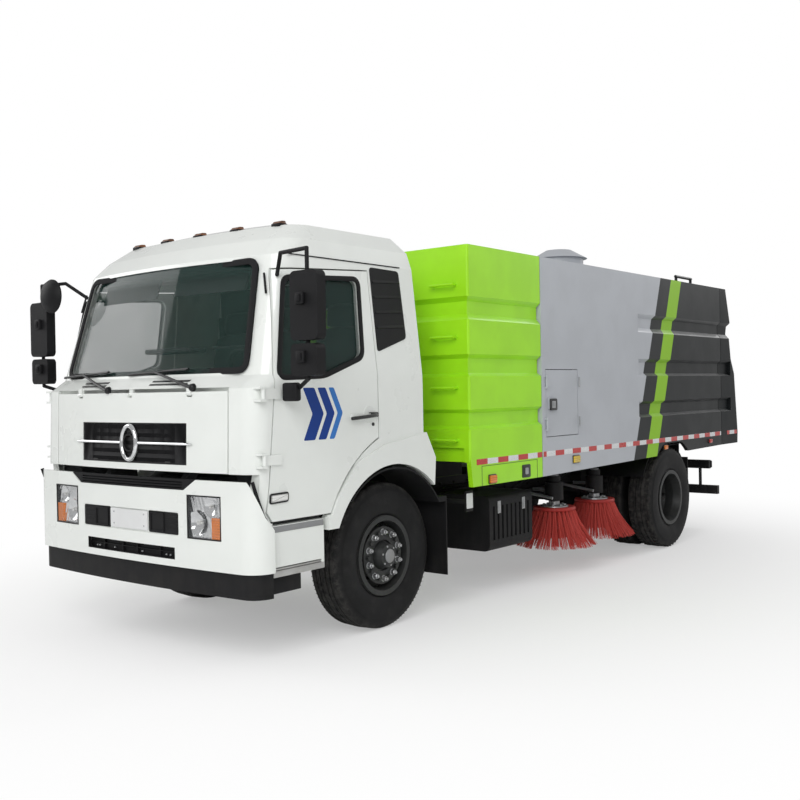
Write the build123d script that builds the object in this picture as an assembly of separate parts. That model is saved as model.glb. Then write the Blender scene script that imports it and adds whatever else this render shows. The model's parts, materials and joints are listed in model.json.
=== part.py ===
from build123d import *
import math
import os

# Street sweeper truck, millimetres. Front faces -Y, vehicle's left is +X, +Z up.
# The ground is Z = 0 and the origin lies on it, under the middle of the overall box.
# Lengths along the truck that end in _Y are measured from the front axle line.

# Overall layout
WHEELBASE = 4500.0
FRONT_OVERHANG = 1430.0
REAR_REACH = 6400.0
FRONT_AXLE_AT = (FRONT_OVERHANG - REAR_REACH) / 2
WHEEL_CENTRE_Z = 525.0

# Running clearances
SEAT_GAP = 0.3
PANEL_GAP = 10.0
BEARING_GAP = 0.5

# Tyres and wheels
TYRE_R = 525.0
TYRE_W = 278.0
TYRE_SHOULDER = 32.0
BEAD_R = 262.0
RIM_LIP_R = 286.0
RIM_W = 216.0
RIM_WALL = 12.0
FRONT_WHEEL_X = 923.0
REAR_OUTER_X = 1104.0
TWIN_SPACING = 320.0
STUD_COUNT = 10
STUD_PCD = 335.0
STUD_R = 17.0
STUD_LENGTH = 34.0
HAND_HOLE_COUNT = 8
HAND_HOLE_R = 22.0
HAND_HOLE_PCD = 420.0
HUB_CAP_R = 92.0
FRONT_HUB_REACH = 118.0
DRUM_R = 205.0
BORE_R = 60.0

# Knuckles and steering
KINGPIN_X = 735.0
KINGPIN_R = 28.0
KINGPIN_HEIGHT = 190.0
SPINDLE_R = 45.0
TRACK_ARM = 190.0
TRACK_ARM_WIDTH = 60.0
TRACK_ROD_R = 18.0
TRACK_ROD_DROP = 75.0

# Ladder frame
RAIL_OUT_X = 430.0
RAIL_HEIGHT = 230.0
RAIL_FLANGE = 80.0
RAIL_WALL = 10.0
RAIL_TOP_Z = 940.0
RAIL_FRONT_Y = -1180.0
RAIL_REAR_Y = 6080.0
CROSS_MEMBER_Y = (-1100.0, 700.0, 1350.0, 2150.0, 2900.0, 5200.0, 6000.0)
CROSS_MEMBER_LENGTH = 90.0
CROSS_MEMBER_HEIGHT = 120.0

# Springs
SPRING_WIDTH = 80.0
LEAF_COUNT = 5
LEAF_THICK = 15.0
SPRING_HALF = 700.0
SPRING_STEP = 105.0
FRONT_SPRING_X = 390.0
REAR_SPRING_X = 515.0
SPRING_DROP = 70.0
HANGER_LENGTH = 110.0

# Axles
BEAM_WIDTH = 90.0
BEAM_HEIGHT = 90.0
BEAM_DROP = 75.0
BEAM_KICK_X = 540.0
BEAM_EYE_FLAT = 60.0
REAR_TUBE_R = 72.0
BANJO_R = 205.0
BANJO_DEPTH = 190.0
SHAFT_R = 50.0
SHAFT_FRONT_Y = 760.0
REAR_HUB_R = 150.0

# Engine block
ENGINE_WIDTH = 640.0
ENGINE_FRONT_Y = -900.0
ENGINE_REAR_Y = 640.0
ENGINE_BOTTOM_Z = 560.0
ENGINE_TOP_Z = 1120.0
ENGINE_FOOT_Y = (-700.0, 500.0)
ENGINE_FOOT_LENGTH = 120.0
ENGINE_FOOT_HEIGHT = 45.0

# Boxes between the axles
SIDE_BOX_IN_X = 620.0
SIDE_BOX_OUT_X = 1150.0
SIDE_BOX_FRONT_Y = 1200.0
SIDE_BOX_REAR_Y = 1850.0
SIDE_BOX_BOTTOM_Z = 390.0
SIDE_BOX_TOP_Z = 840.0
SIDE_BOX_CORNER = 55.0
FLUTE_COUNT = 9
FLUTE_WIDTH = 26.0
FLUTE_DEPTH = 12.0
TANK_R = 235.0
TANK_STRAP = 40.0
TANK_CAP_R = 45.0

# Front mudguards
GUARD_R = 625.0
GUARD_WALL = 12.0
GUARD_IN_X = 770.0
GUARD_OUT_X = 1150.0
GUARD_START_Z = 960.0
FLAP_FRONT_Y = 612.0
FLAP_BOTTOM_Z = 300.0
FLAP_TOP_Z = 900.0

# Rear mudguards
REAR_GUARD_R = 575.0
REAR_GUARD_OUT_X = 1170.0
REAR_GUARD_IN_X = 640.0
REAR_FLAP_Y = 590.0
REAR_FLAP_BOTTOM_Z = 640.0

# Bumper
BUMPER_HALF = 1200.0
BUMPER_WALL = 22.0
BUMPER_CORNER = 150.0
BUMPER_BOW = 45.0
BUMPER_BOTTOM_Z = 600.0
BUMPER_TOP_Z = 1165.0
BUMPER_REAR_Y = -1222.0
LAMP_IN_X = 600.0
LAMP_OUT_X = 906.0
LAMP_BOTTOM_Z = 790.0
LAMP_TOP_Z = 1070.0
LAMP_DEPTH = 90.0
PLATE_HALF = 520.0
PLATE_BOTTOM_Z = 800.0
PLATE_TOP_Z = 950.0
SLOT_HALF = 480.0
SLOT_BOTTOM_Z = 645.0
SLOT_TOP_Z = 722.0
DAM_BOTTOM_Z = 445.0
DAM_INSET = 28.0
GRILLE_TOP_HALF = 700.0
GRILLE_LOW_HALF = 570.0
GRILLE_LOW_Z = 1095.0
GRILLE_SLAT_COUNT = 3
TOW_PIN_X = 380.0
TOW_BORE_R = 22.0

# Body and hopper
BODY_HALF = 1250.0
BODY_FRONT_Y = 807.0
BODY_SEAM_Y = 1878.0
BODY_TOP_Z = 2820.0
SKIRT_BOTTOM_Z = 950.0
SKIRT_REAR_Z = 1005.0
SKIRT_WALL = 40.0
BODY_FLOOR_Z = 1100.0
BODY_WALL = 55.0
GATE_FRONT_Y = 5900.0
REAR_PROFILE = ((6065.0, 2820.0), (6190.0, 2440.0), (6150.0, 2300.0), (6210.0, 2000.0),
                (6310.0, 1830.0), (6350.0, 1520.0), (6400.0, 1140.0), (6390.0, 1005.0))
GROOVE_DEPTH = 38.0
GROOVES = ((2424.0, 2386.0, 2288.0, 2241.0), (1977.0, 1944.0, 1832.0, 1804.0), (1550.0, 1520.0, 1419.0, 1390.0))
PLAIN_END_Y = 3740.0
REAR_ARCH_R = 610.0
REAR_ARCH_SHIFT = 40.0
TIP_PIVOT_Y = 6050.0
TIP_PIVOT_Z = 962.0
TIP_LUG_X = 280.0
TIP_LUG_WIDTH = 55.0
TIP_PIN_R = 25.0
GATE_PIN_Z = 2848.0
GATE_PIN_R = 14.0
GATE_HINGE_X = (-900.0, -300.0, 300.0, 900.0)
GATE_HINGE_LENGTH = 120.0
DOME_X = 500.0
DOME_Y = 3500.0
DOME_R = 290.0
DOME_TOP_Z = 3100.0
LOOP_X = 1000.0
LOOP_Y = (5250.0, 5650.0)
LOOP_TOP_Z = 2930.0
LOOP_R = 16.0
LEDGE_Z = 1251.0
BODY_FRONT_BOTTOM_Z = 1141.0
RUNG_Z = (2515.0, 2110.0, 1717.0, 1310.0)
RUNG_IN_X = 920.0
RUNG_OUT_X = 1145.0
RUNG_R = 11.0
RUNG_REACH = 50.0
DOOR_FRONT_Y = 1940.0
DOOR_REAR_Y = 2500.0
DOOR_BOTTOM_Z = 1280.0
DOOR_TOP_Z = 1865.0
DOOR_THICK = 40.0
DOOR_GAP = 6.0
HINGE_R = 10.0
HATCH_PIN_R = 5.0
HATCH_HINGE_INSET = 110.0
HATCH_HINGE_HALF = 40.0

# Lift cylinders
LIFT_X = 250.0
LIFT_FOOT_Y = 3000.0
LIFT_FOOT_Z = 800.0
LIFT_EYE_Y = 4550.0
LIFT_EYE_Z = 1030.0
LIFT_BARREL_R = 48.0
LIFT_ROD_R = 28.0
LIFT_PIN_R = 20.0
LIFT_BARREL_LENGTH = 1250.0
LIFT_EYE_R = 42.0
LIFT_CHEEK = 48.0
LIFT_CHEEK_IN = 34.0
LIFT_MOUTH = 25.0
LIFT_MOUTH_PATH = ((0.0, 0.0), (-28.0, 24.0), (-52.0, 47.0), (-90.0, 90.0))

# Sweeping gear
BRUSH_X = 930.0
BRUSH_Y = (2600.0, 3380.0)
BRUSH_RING_Z = 625.0
BRUSH_RING_R = 195.0
BRUSH_TIP_R = 372.0
BRUSH_TIP_Z = 250.0
BRUSH_SHAFT_R = 22.0
ARM_PIVOT_X = 500.0
ARM_PIVOT_Y = 2150.0
ARM_Z = 700.0
ARM_TUBE = 70.0
ARM_PIN_R = 25.0
NOZZLE_FRONT_Y = 5260.0
NOZZLE_REAR_Y = 5700.0
NOZZLE_HALF = 560.0
NOZZLE_Z = 60.0
NOZZLE_HEIGHT = 190.0
PIPE_R = 110.0

# Rear bars
UPPER_BAR_HALF = 1000.0
UPPER_BAR_Y = 6150.0
UPPER_BAR_Z = (700.0, 800.0)
UNDERRUN_HALF = 1100.0
UNDERRUN_Z = (400.0, 500.0)
BAR_DEPTH = 60.0

# Subframe
SUBFRAME_TOP_Z = 1000.0

# Cab: height, half width, front at the middle, front bow, corner radius, per section
CAB_WALL = 50.0
CAB_REAR_Y = 350.0
CAB_BELT_HALF = 1150.0
CAB_SECTIONS = ((885.0, 1150.0, -1330.0, 50.0, 120.0), (1205.0, 1150.0, -1408.0, 60.0, 130.0),
                (1740.0, 1150.0, -1396.0, 62.0, 140.0), (1822.0, 1148.0, -1290.0, 72.0, 150.0),
                (2600.0, 1062.0, -1103.0, 88.0, 160.0), (2720.0, 1030.0, -970.0, 80.0, 155.0),
                (2835.0, 930.0, -800.0, 60.0, 150.0), (2880.0, 640.0, -640.0, 40.0, 140.0))
CAB_ROOF_REAR = ((2600.0, 350.0), (2720.0, 335.0), (2835.0, 270.0), (2880.0, 120.0))
ROOF_SEAM_Z = 2600.0
FLOOR_BOTTOM_Z = 1216.0
FLOOR_THICK = 26.0
TILT_PIVOT_Y = -1340.0
TILT_PIVOT_Z = 1060.0
TILT_PIN_R = 22.0
TILT_EYE_R = 30.0
TILT_NECK = 235.0
TILT_LUG_X = 390.0
TILT_LUG_WIDTH = 60.0
PANEL_BOTTOM_Z = 1206.0
PANEL_TOP_Z = 1722.0
PANEL_HALF = 940.0
PANEL_THICK = 36.0
PANEL_PIVOT_Y = -1372.0
PANEL_PIVOT_Z = 1712.0
PANEL_PIN_R = 9.0
PANEL_HINGE_X = (-600.0, 0.0, 600.0)
PANEL_LUG_HALF = 20.0
PANEL_LUG_R = 14.0
COWL_BOTTOM_Z = 1746.0
UPPER_GRILLE_HALF = 573.0
UPPER_GRILLE_LOW_Z = 1252.0
UPPER_GRILLE_TOP_Z = 1522.0
UPPER_GRILLE_SLATS = 4
BADGE_RING_R = 62.0
BADGE_RING_WALL = 12.0
FIREWALL_Y = -1285.0
FIREWALL_THICK = 24.0
SCREEN_LOW_Z = 1838.0
SCREEN_TOP_Z = 2575.0
SCREEN_LOW_HALF = 985.0
SCREEN_TOP_HALF = 905.0
SCREEN_RADIUS = 90.0
GLASS_INSET = 12.0
GLASS_THICK = 6.0
DOOR_EDGE = ((-1200.0, 897.0), (-660.0, 897.0))
DOOR_LINE_FRONT = ((-1028.0, 2505.0), (-1152.0, 1800.0), (-1236.0, 965.0))
DOOR_PILLAR_X = ((1060.0, 880.0), (1060.0, 1822.0), (970.0, 2620.0))
DOOR_LINE_REAR = ((-155.0, 1374.0), (-155.0, 2555.0))
DOOR_ARC_MIDDLE = (-467.0, 1165.0)
WINDOW = ((-1105.0, 1805.0), (-700.0, 1815.0), (-300.0, 1945.0), (-268.0, 2480.0), (-985.0, 2440.0))
WINDOW_RADIUS = 60.0
CAB_ARCH_R = 660.0
DOOR_AXIS_X = 1162.0
DOOR_AXIS_Y = -1262.0
DOOR_PIN_R = 8.0
DOOR_BARREL_R = 14.0
DOOR_HINGE_Z = (1290.0, 1700.0)
DOOR_HINGE_HALF = 32.0
STEP_IN_X = 870.0
STEP_OUT_X = 1150.0
STEP_FRONT_Y = -1195.0
STEP_REAR_Y = -735.0
STEP_BOTTOM_Z = 560.0
STEP_TOP_Z = 880.0
STEP_WALL = 25.0
FLARE_OUT_X = 1165.0
FLARE_IN_X = 1100.0
BACK_WINDOW_HALF = 560.0
BACK_WINDOW_LOW_Z = 1850.0
BACK_WINDOW_TOP_Z = 2350.0
DASH_REAR_Y = -880.0
DASH_LOW_Z = 1560.0
DASH_TOP_Z = 1830.0
WHEEL_X = 560.0
WHEEL_Y = -760.0
WHEEL_Z = 1830.0
WHEEL_R = 215.0
WHEEL_RIM = 15.0
WHEEL_TILT = 35.0
SEAT_FRONT_Y = -520.0
SEAT_REAR_Y = 180.0
SEAT_BASE_Z = 1560.0
SEAT_BACK_TOP_Z = 2380.0
MIRROR_ARM_R = 13.0
MIRROR_OUT_X = 1560.0
MIRROR_IN_X = 1330.0
MIRROR_Y = -1150.0
MIRROR_DEPTH = 75.0


def ya(y_from_axle):
    """Y in the part's frame of a length measured from the front axle."""
    return FRONT_AXLE_AT + y_from_axle


def block(x0, x1, y0, y1, z0, z1):
    """Box between two corners, Y measured from the front axle."""
    size = Box(abs(x1 - x0), abs(y1 - y0), abs(z1 - z0))
    return Pos((x0 + x1) / 2, ya((y0 + y1) / 2), (z0 + z1) / 2) * size


def side_prism(points, x0, x1):
    """Prism of a side-view outline of (y from axle, z) points between two X."""
    outline = [(ya(y), z) for y, z in points]
    face = make_face(Polyline(*outline, close=True))
    solid = extrude(Plane.YZ * face, amount=x1 - x0, dir=(1, 0, 0))
    return Pos(x0, 0, 0) * solid


def front_prism(points, y0, y1):
    """Prism of a front-view outline of (x, z) points between two Y from the axle."""
    face = make_face(Polyline(*points, close=True))
    solid = extrude(Plane.XZ * face, amount=y1 - y0, dir=(0, 1, 0))
    return Pos(0, ya(y0), 0) * solid


def rod_x(radius, x0, x1, y, z):
    """Round bar along X."""
    bar = Rot(0, 90, 0) * Cylinder(radius, abs(x1 - x0))
    return Pos((x0 + x1) / 2, ya(y), z) * bar


def rod_y(radius, x, y0, y1, z):
    """Round bar along Y."""
    bar = Rot(90, 0, 0) * Cylinder(radius, abs(y1 - y0))
    return Pos(x, ya((y0 + y1) / 2), z) * bar


def rod_z(radius, x, y, z0, z1):
    """Round bar along Z."""
    return Pos(x, ya(y), (z0 + z1) / 2) * Cylinder(radius, abs(z1 - z0))


def tube_between(start, end, radius):
    """Round bar between two points in the part's frame."""
    a = Vector(*start)
    b = Vector(*end)
    middle = (a + b) * 0.5
    plane = Plane(origin=middle, z_dir=b - a)
    return plane * Cylinder(radius, (b - a).length)


def joined(pieces):
    """One solid of several pieces."""
    result = pieces[0]
    for piece in pieces[1:]:
        result = result + piece
    return result


def less(body, cuts):
    """Body with each cut taken away."""
    for cut in cuts:
        body = body - cut
    return body


def mirrored(solid):
    """The same piece for the vehicle's other side."""
    return mirror(solid, about=Plane.YZ)


def make_frame_rails():
    """Two channel rails with cross members between their webs."""
    bottom = RAIL_TOP_Z - RAIL_HEIGHT
    outer = block(RAIL_OUT_X - RAIL_FLANGE, RAIL_OUT_X, RAIL_FRONT_Y, RAIL_REAR_Y, bottom, RAIL_TOP_Z)
    hollow = block(RAIL_OUT_X - RAIL_FLANGE, RAIL_OUT_X - RAIL_WALL, RAIL_FRONT_Y, RAIL_REAR_Y,
                   bottom + RAIL_WALL, RAIL_TOP_Z - RAIL_WALL)
    rail = outer - hollow
    pieces = [rail, mirrored(rail)]
    web = RAIL_OUT_X - RAIL_WALL
    for y in CROSS_MEMBER_Y:
        half = CROSS_MEMBER_LENGTH / 2
        top = bottom + RAIL_WALL + CROSS_MEMBER_HEIGHT
        bar = block(-web, web, y - half, y + half, bottom + RAIL_WALL, top)
        inside = block(-web, web, y - half + RAIL_WALL, y + half, bottom + 2 * RAIL_WALL, top - RAIL_WALL)
        pieces.append(bar - inside)
    return joined(pieces)


def leaf_pack(x, axle_y, seat_z):
    """Leaf spring pack on its axle seat, with hangers up to the rail."""
    rail_bottom = RAIL_TOP_Z - RAIL_HEIGHT
    half = SPRING_WIDTH / 2
    pieces = []
    for number in range(LEAF_COUNT):
        reach = SPRING_HALF - number * SPRING_STEP
        low = seat_z + (LEAF_COUNT - 1 - number) * LEAF_THICK
        rise = SPRING_DROP * (reach / SPRING_HALF) ** 2
        bottom_arc = ThreePointArc((ya(axle_y) - reach, low + rise), (ya(axle_y), low),
                                   (ya(axle_y) + reach, low + rise))
        top_arc = ThreePointArc((ya(axle_y) - reach, low + rise + LEAF_THICK), (ya(axle_y), low + LEAF_THICK),
                                (ya(axle_y) + reach, low + rise + LEAF_THICK))
        ends = [Line(bottom_arc @ 0, top_arc @ 0), Line(bottom_arc @ 1, top_arc @ 1)]
        face = make_face([bottom_arc, top_arc] + ends)
        leaf = extrude(Plane.YZ * face, amount=SPRING_WIDTH, dir=(1, 0, 0))
        pieces.append(Pos(x - half, 0, 0) * leaf)
    clamp_top = seat_z + (LEAF_COUNT + 1) * LEAF_THICK
    pieces.append(block(x - half, x + half, axle_y - SPRING_WIDTH, axle_y + SPRING_WIDTH, seat_z, clamp_top))
    eye_z = seat_z + (LEAF_COUNT - 1) * LEAF_THICK + SPRING_DROP
    for end in (-1, 1):
        y = axle_y + end * (SPRING_HALF - HANGER_LENGTH / 2)
        hanger = block(x - half, x + half, y - HANGER_LENGTH / 2, y + HANGER_LENGTH / 2, eye_z, rail_bottom)
        pieces.append(hanger)
    return joined(pieces)


def make_front_axle():
    """Dropped beam with its two spring packs and the kingpin eyes."""
    z = WHEEL_CENTRE_Z
    half_h = BEAM_HEIGHT / 2
    eye_x = KINGPIN_X
    flat_x = eye_x - BEAM_EYE_FLAT
    points = [(-eye_x, z - half_h), (-flat_x, z - half_h), (-BEAM_KICK_X, z - half_h - BEAM_DROP),
              (BEAM_KICK_X, z - half_h - BEAM_DROP), (flat_x, z - half_h), (eye_x, z - half_h), (eye_x, z + half_h),
              (flat_x, z + half_h), (BEAM_KICK_X, z + half_h - BEAM_DROP), (-BEAM_KICK_X, z + half_h - BEAM_DROP),
              (-flat_x, z + half_h), (-eye_x, z + half_h)]
    beam = front_prism(points, -BEAM_WIDTH / 2, BEAM_WIDTH / 2)
    seat = z + half_h - BEAM_DROP
    pieces = [beam]
    for side in (-1, 1):
        eye = rod_z(BEAM_WIDTH / 2, side * eye_x, 0, z - half_h, z + half_h)
        pieces.append(eye)
        pieces.append(leaf_pack(side * FRONT_SPRING_X, 0.0, seat))
    axle = joined(pieces)
    for side in (-1, 1):
        axle = axle - rod_z(KINGPIN_R + BEARING_GAP, side * eye_x, 0, z - KINGPIN_HEIGHT, z + KINGPIN_HEIGHT)
    return axle


def make_rear_axle():
    """Banjo housing with spring packs and the propshaft from the gearbox."""
    z = WHEEL_CENTRE_Z
    inner_face = REAR_OUTER_X - TWIN_SPACING / 2
    tube = rod_x(REAR_TUBE_R, -inner_face, inner_face, WHEELBASE, z)
    banjo = rod_y(BANJO_R, 0, WHEELBASE - BANJO_DEPTH / 2, WHEELBASE + BANJO_DEPTH / 2, z)
    nose = Pos(0, ya(WHEELBASE - BANJO_DEPTH), z) * (Rot(-90, 0, 0) * Cone(SHAFT_R * 1.6, BANJO_R * 0.8, BANJO_DEPTH))
    shaft = tube_between((0, ya(SHAFT_FRONT_Y), z + 140), (0, ya(WHEELBASE - BANJO_DEPTH), z), SHAFT_R)
    yoke = rod_y(SHAFT_R * 1.7, 0, SHAFT_FRONT_Y, SHAFT_FRONT_Y + 60, z + 140)
    pieces = [tube, banjo, nose, shaft, yoke]
    for side in (-1, 1):
        pieces.append(leaf_pack(side * REAR_SPRING_X, WHEELBASE, z + REAR_TUBE_R - LEAF_THICK))
        bracket_in = side * RAIL_OUT_X
        for end in (-1, 1):
            y = WHEELBASE + end * (SPRING_HALF - HANGER_LENGTH / 2)
            half = HANGER_LENGTH / 2
            low = RAIL_TOP_Z - RAIL_HEIGHT
            plate = block(bracket_in, side * (REAR_SPRING_X + SPRING_WIDTH / 2), y - half, y + half,
                          low, low + RAIL_HEIGHT / 2)
            pieces.append(plate)
    return joined(pieces)


def make_engine_block():
    """Engine and gearbox as one plain block between the rails."""
    half = ENGINE_WIDTH / 2
    body = block(-half, half, ENGINE_FRONT_Y, ENGINE_REAR_Y, ENGINE_BOTTOM_Z, ENGINE_TOP_Z)
    beam_room = BEAM_WIDTH + 80.0
    beam_top = WHEEL_CENTRE_Z + BEAM_HEIGHT / 2 - BEAM_DROP
    relief = block(-half, half, -beam_room, beam_room, ENGINE_BOTTOM_Z, beam_top + 120.0)
    front_bar = block(-half, half, CROSS_MEMBER_Y[0] - 100, CROSS_MEMBER_Y[0] + 100, ENGINE_BOTTOM_Z, RAIL_TOP_Z)
    engine = less(body, [relief, front_bar])
    seat_z = RAIL_TOP_Z - RAIL_HEIGHT + RAIL_WALL
    reach = RAIL_OUT_X - RAIL_WALL - 10
    for y in ENGINE_FOOT_Y:
        half_foot = ENGINE_FOOT_LENGTH / 2
        engine = engine + block(-reach, reach, y - half_foot, y + half_foot, seat_z, seat_z + ENGINE_FOOT_HEIGHT)
    return engine


def make_knuckle():
    """Left steering knuckle: kingpin, spindle and track arm."""
    z = WHEEL_CENTRE_Z
    half = KINGPIN_HEIGHT / 2
    pin = rod_z(KINGPIN_R, KINGPIN_X, 0, z - half, z + half)
    fork_out = KINGPIN_X + BEAM_WIDTH / 2 + 8
    eye_half = BEAM_HEIGHT / 2 + SEAT_GAP
    top = rod_z(BEAM_WIDTH / 2, KINGPIN_X, 0, z + eye_half, z + half + 12)
    bottom = rod_z(BEAM_WIDTH / 2, KINGPIN_X, 0, z - half - 12, z - eye_half)
    back = block(fork_out - 2, FRONT_WHEEL_X - 100, -BEAM_WIDTH / 2, BEAM_WIDTH / 2, z - half - 12, z + half + 12)
    link_top = block(KINGPIN_X, fork_out, -BEAM_WIDTH / 2, BEAM_WIDTH / 2, z + eye_half, z + half + 12)
    link_low = block(KINGPIN_X, fork_out, -BEAM_WIDTH / 2, BEAM_WIDTH / 2, z - half - 12, z - eye_half)
    clear = rod_z(BEAM_WIDTH / 2 + 7, KINGPIN_X, 0, z - eye_half, z + eye_half)
    spindle = rod_x(SPINDLE_R, FRONT_WHEEL_X - 110, FRONT_WHEEL_X + FRONT_HUB_REACH, 0, z)
    arm_z = z - half - 12
    arm_half = TRACK_ARM_WIDTH / 2
    arm = block(KINGPIN_X - arm_half, KINGPIN_X + arm_half, 0, TRACK_ARM + 25, arm_z, arm_z + 28)
    knuckle = joined([top, bottom, back, link_top, link_low, arm]) - clear
    knuckle = joined([knuckle, pin, spindle])
    return knuckle - rod_z(TRACK_ROD_R / 2 + BEARING_GAP, KINGPIN_X, TRACK_ARM, arm_z - 30, arm_z + 60)


def track_eye():
    """Place of the left track rod eye in the part's frame."""
    return KINGPIN_X, ya(TRACK_ARM), WHEEL_CENTRE_Z - KINGPIN_HEIGHT / 2 - 12


def make_track_rod():
    """Rod that joins the two track arms behind the axle."""
    x, y, arm_z = track_eye()
    rod_level = arm_z - TRACK_ROD_R - 12
    bar = rod_x(TRACK_ROD_R, -x, x, TRACK_ARM, rod_level)
    pieces = [bar]
    for side in (-1, 1):
        pieces.append(rod_z(TRACK_ROD_R + 6, side * x, TRACK_ARM, rod_level - 24, arm_z - SEAT_GAP))
        pieces.append(rod_z(TRACK_ROD_R / 2, side * x, TRACK_ARM, arm_z - SEAT_GAP, arm_z + 26))
    return joined(pieces)


def lathe_x(points, x, y, z):
    """Ring turned about the wheel axis from (offset along X, radius) points."""
    face = make_face(Polyline(*points, close=True))
    turned = revolve(face, axis=Axis.X, revolution_arc=360)
    return Pos(x, ya(y), z) * turned


def tyre_at(x, y):
    """Tyre with rounded shoulders and a bead seat round the rim."""
    half = TYRE_W / 2
    rim_half = RIM_W / 2
    sag = TYRE_SHOULDER
    points = [(-rim_half + 1, BEAD_R), (rim_half - 1, BEAD_R), (rim_half + 11, RIM_LIP_R + 6), (half, (TYRE_R + BEAD_R) / 2),
              (half - 6, TYRE_R - sag * 1.6), (half - sag, TYRE_R - 6), (half - sag * 2, TYRE_R),
              (-half + sag * 2, TYRE_R), (-half + sag, TYRE_R - 6), (-half + 6, TYRE_R - sag * 1.6),
              (-half, (TYRE_R + BEAD_R) / 2), (-rim_half - 11, RIM_LIP_R + 6)]
    return lathe_x(points, x, y, WHEEL_CENTRE_Z)


def rim_barrel(x, y):
    """Rim barrel with turned lips at both beads."""
    half = RIM_W / 2 - SEAT_GAP
    wall = RIM_WALL
    outer = BEAD_R - SEAT_GAP
    points = [(-half - 12, RIM_LIP_R), (-half - 22, RIM_LIP_R), (-half - 22, outer - wall), (-half + 60, outer - 2.5 * wall),
              (half - 60, outer - 2.5 * wall), (half + 22, outer - wall), (half + 22, RIM_LIP_R), (half + 12, RIM_LIP_R),
              (half, outer), (half - 50, outer), (half - 70, outer - wall), (-half + 70, outer - wall),
              (-half + 50, outer), (-half, outer)]
    return lathe_x(points, x, y, WHEEL_CENTRE_Z)


def disc_cuts(x, y, reach):
    """Hand holes through a wheel disc."""
    cuts = []
    for place in PolarLocations(HAND_HOLE_PCD / 2, HAND_HOLE_COUNT):
        pos = place.position
        cuts.append(rod_x(HAND_HOLE_R, x - reach, x + reach, 0, 0).moved(Location((0, pos.X, pos.Y + WHEEL_CENTRE_Z)))
                    .moved(Location((0, ya(y) - ya(0), 0))))
    return cuts


def stud_ring(x, y, direction):
    """Wheel nuts on their pitch circle, standing along X."""
    nuts = []
    for number in range(STUD_COUNT):
        angle = 2 * math.pi * number / STUD_COUNT
        ny = STUD_PCD / 2 * math.cos(angle)
        nz = STUD_PCD / 2 * math.sin(angle)
        nut = Rot(0, 90, 0) * extrude(RegularPolygon(STUD_R, 6), amount=STUD_LENGTH / 2, both=True)
        nuts.append(Pos(x + direction * STUD_LENGTH / 2, ya(y) + ny, WHEEL_CENTRE_Z + nz) * nut)
    return nuts


def make_front_rim():
    """Left front wheel: barrel, bulged disc, nuts, drum and hub cap."""
    x = FRONT_WHEEL_X
    inner = BEAD_R - SEAT_GAP - 1.5 * RIM_WALL
    disc = [(20, inner), (34, inner), (96, 205), (96, 60), (82, 60), (82, 198)]
    hub = [(-60, SPINDLE_R + BEARING_GAP), (-60, DRUM_R), (40, DRUM_R), (50, 150), (82, 150),
           (96, HUB_CAP_R + 10), (132, HUB_CAP_R), (165, HUB_CAP_R - 12), (172, HUB_CAP_R - 30), (172, 2),
           (FRONT_HUB_REACH + 6, 2), (FRONT_HUB_REACH + 6, SPINDLE_R + BEARING_GAP)]
    disc_solid = lathe_x(disc, x, 0, WHEEL_CENTRE_Z)
    disc_solid = less(disc_solid, disc_cuts(x, 0, 120))
    hub_solid = lathe_x(hub, x, 0, WHEEL_CENTRE_Z)
    core = rod_x(6, x + FRONT_HUB_REACH + 8, x + 171, 0, WHEEL_CENTRE_Z)
    return joined([rim_barrel(x, 0), disc_solid, hub_solid, core] + stud_ring(x + 94, 0, 1))


def make_rear_rims():
    """Left twin rear wheels: two barrels on one hub, outer disc dished in."""
    outer_x = REAR_OUTER_X
    inner_x = REAR_OUTER_X - TWIN_SPACING
    middle = (outer_x + inner_x) / 2
    bore = REAR_TUBE_R + 3
    inner = BEAD_R - SEAT_GAP - 1.5 * RIM_WALL
    outer_disc = [(-20, inner), (-6, inner), (-(outer_x - middle) + 16, 192), (-(outer_x - middle) + 16, bore),
                  (-(outer_x - middle), bore), (-(outer_x - middle), 200)]
    inner_disc = [(20, inner), (6, inner), ((middle - inner_x) - 14, 198), ((middle - inner_x) - 14, bore),
                  ((middle - inner_x) + 2, bore), ((middle - inner_x) + 2, 205)]
    face = middle + 16
    hub = [(-40, REAR_TUBE_R + SEAT_GAP), (-40, 175), (4, 175), (14, REAR_HUB_R), (90, REAR_HUB_R - 20), (120, REAR_HUB_R - 40),
           (120, 20), (30, 20), (30, REAR_TUBE_R + SEAT_GAP)]
    pieces = [rim_barrel(outer_x, WHEELBASE), rim_barrel(inner_x, WHEELBASE)]
    pieces.append(less(lathe_x(outer_disc, outer_x, WHEELBASE, WHEEL_CENTRE_Z), disc_cuts(outer_x, WHEELBASE, 200)))
    pieces.append(less(lathe_x(inner_disc, inner_x, WHEELBASE, WHEEL_CENTRE_Z), disc_cuts(inner_x, WHEELBASE, 200)))
    pieces.append(lathe_x(hub, face, WHEELBASE, WHEEL_CENTRE_Z))
    pieces.append(rod_x(22, face + 31, face + 119, WHEELBASE, WHEEL_CENTRE_Z))
    return joined(pieces + stud_ring(face - 2, WHEELBASE, 1))


def make_rear_tyres():
    """Left twin rear tyres joined by the spacer band between their walls."""
    outer = tyre_at(REAR_OUTER_X, WHEELBASE)
    inner = tyre_at(REAR_OUTER_X - TWIN_SPACING, WHEELBASE)
    return Compound(children=[outer, inner])


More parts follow.
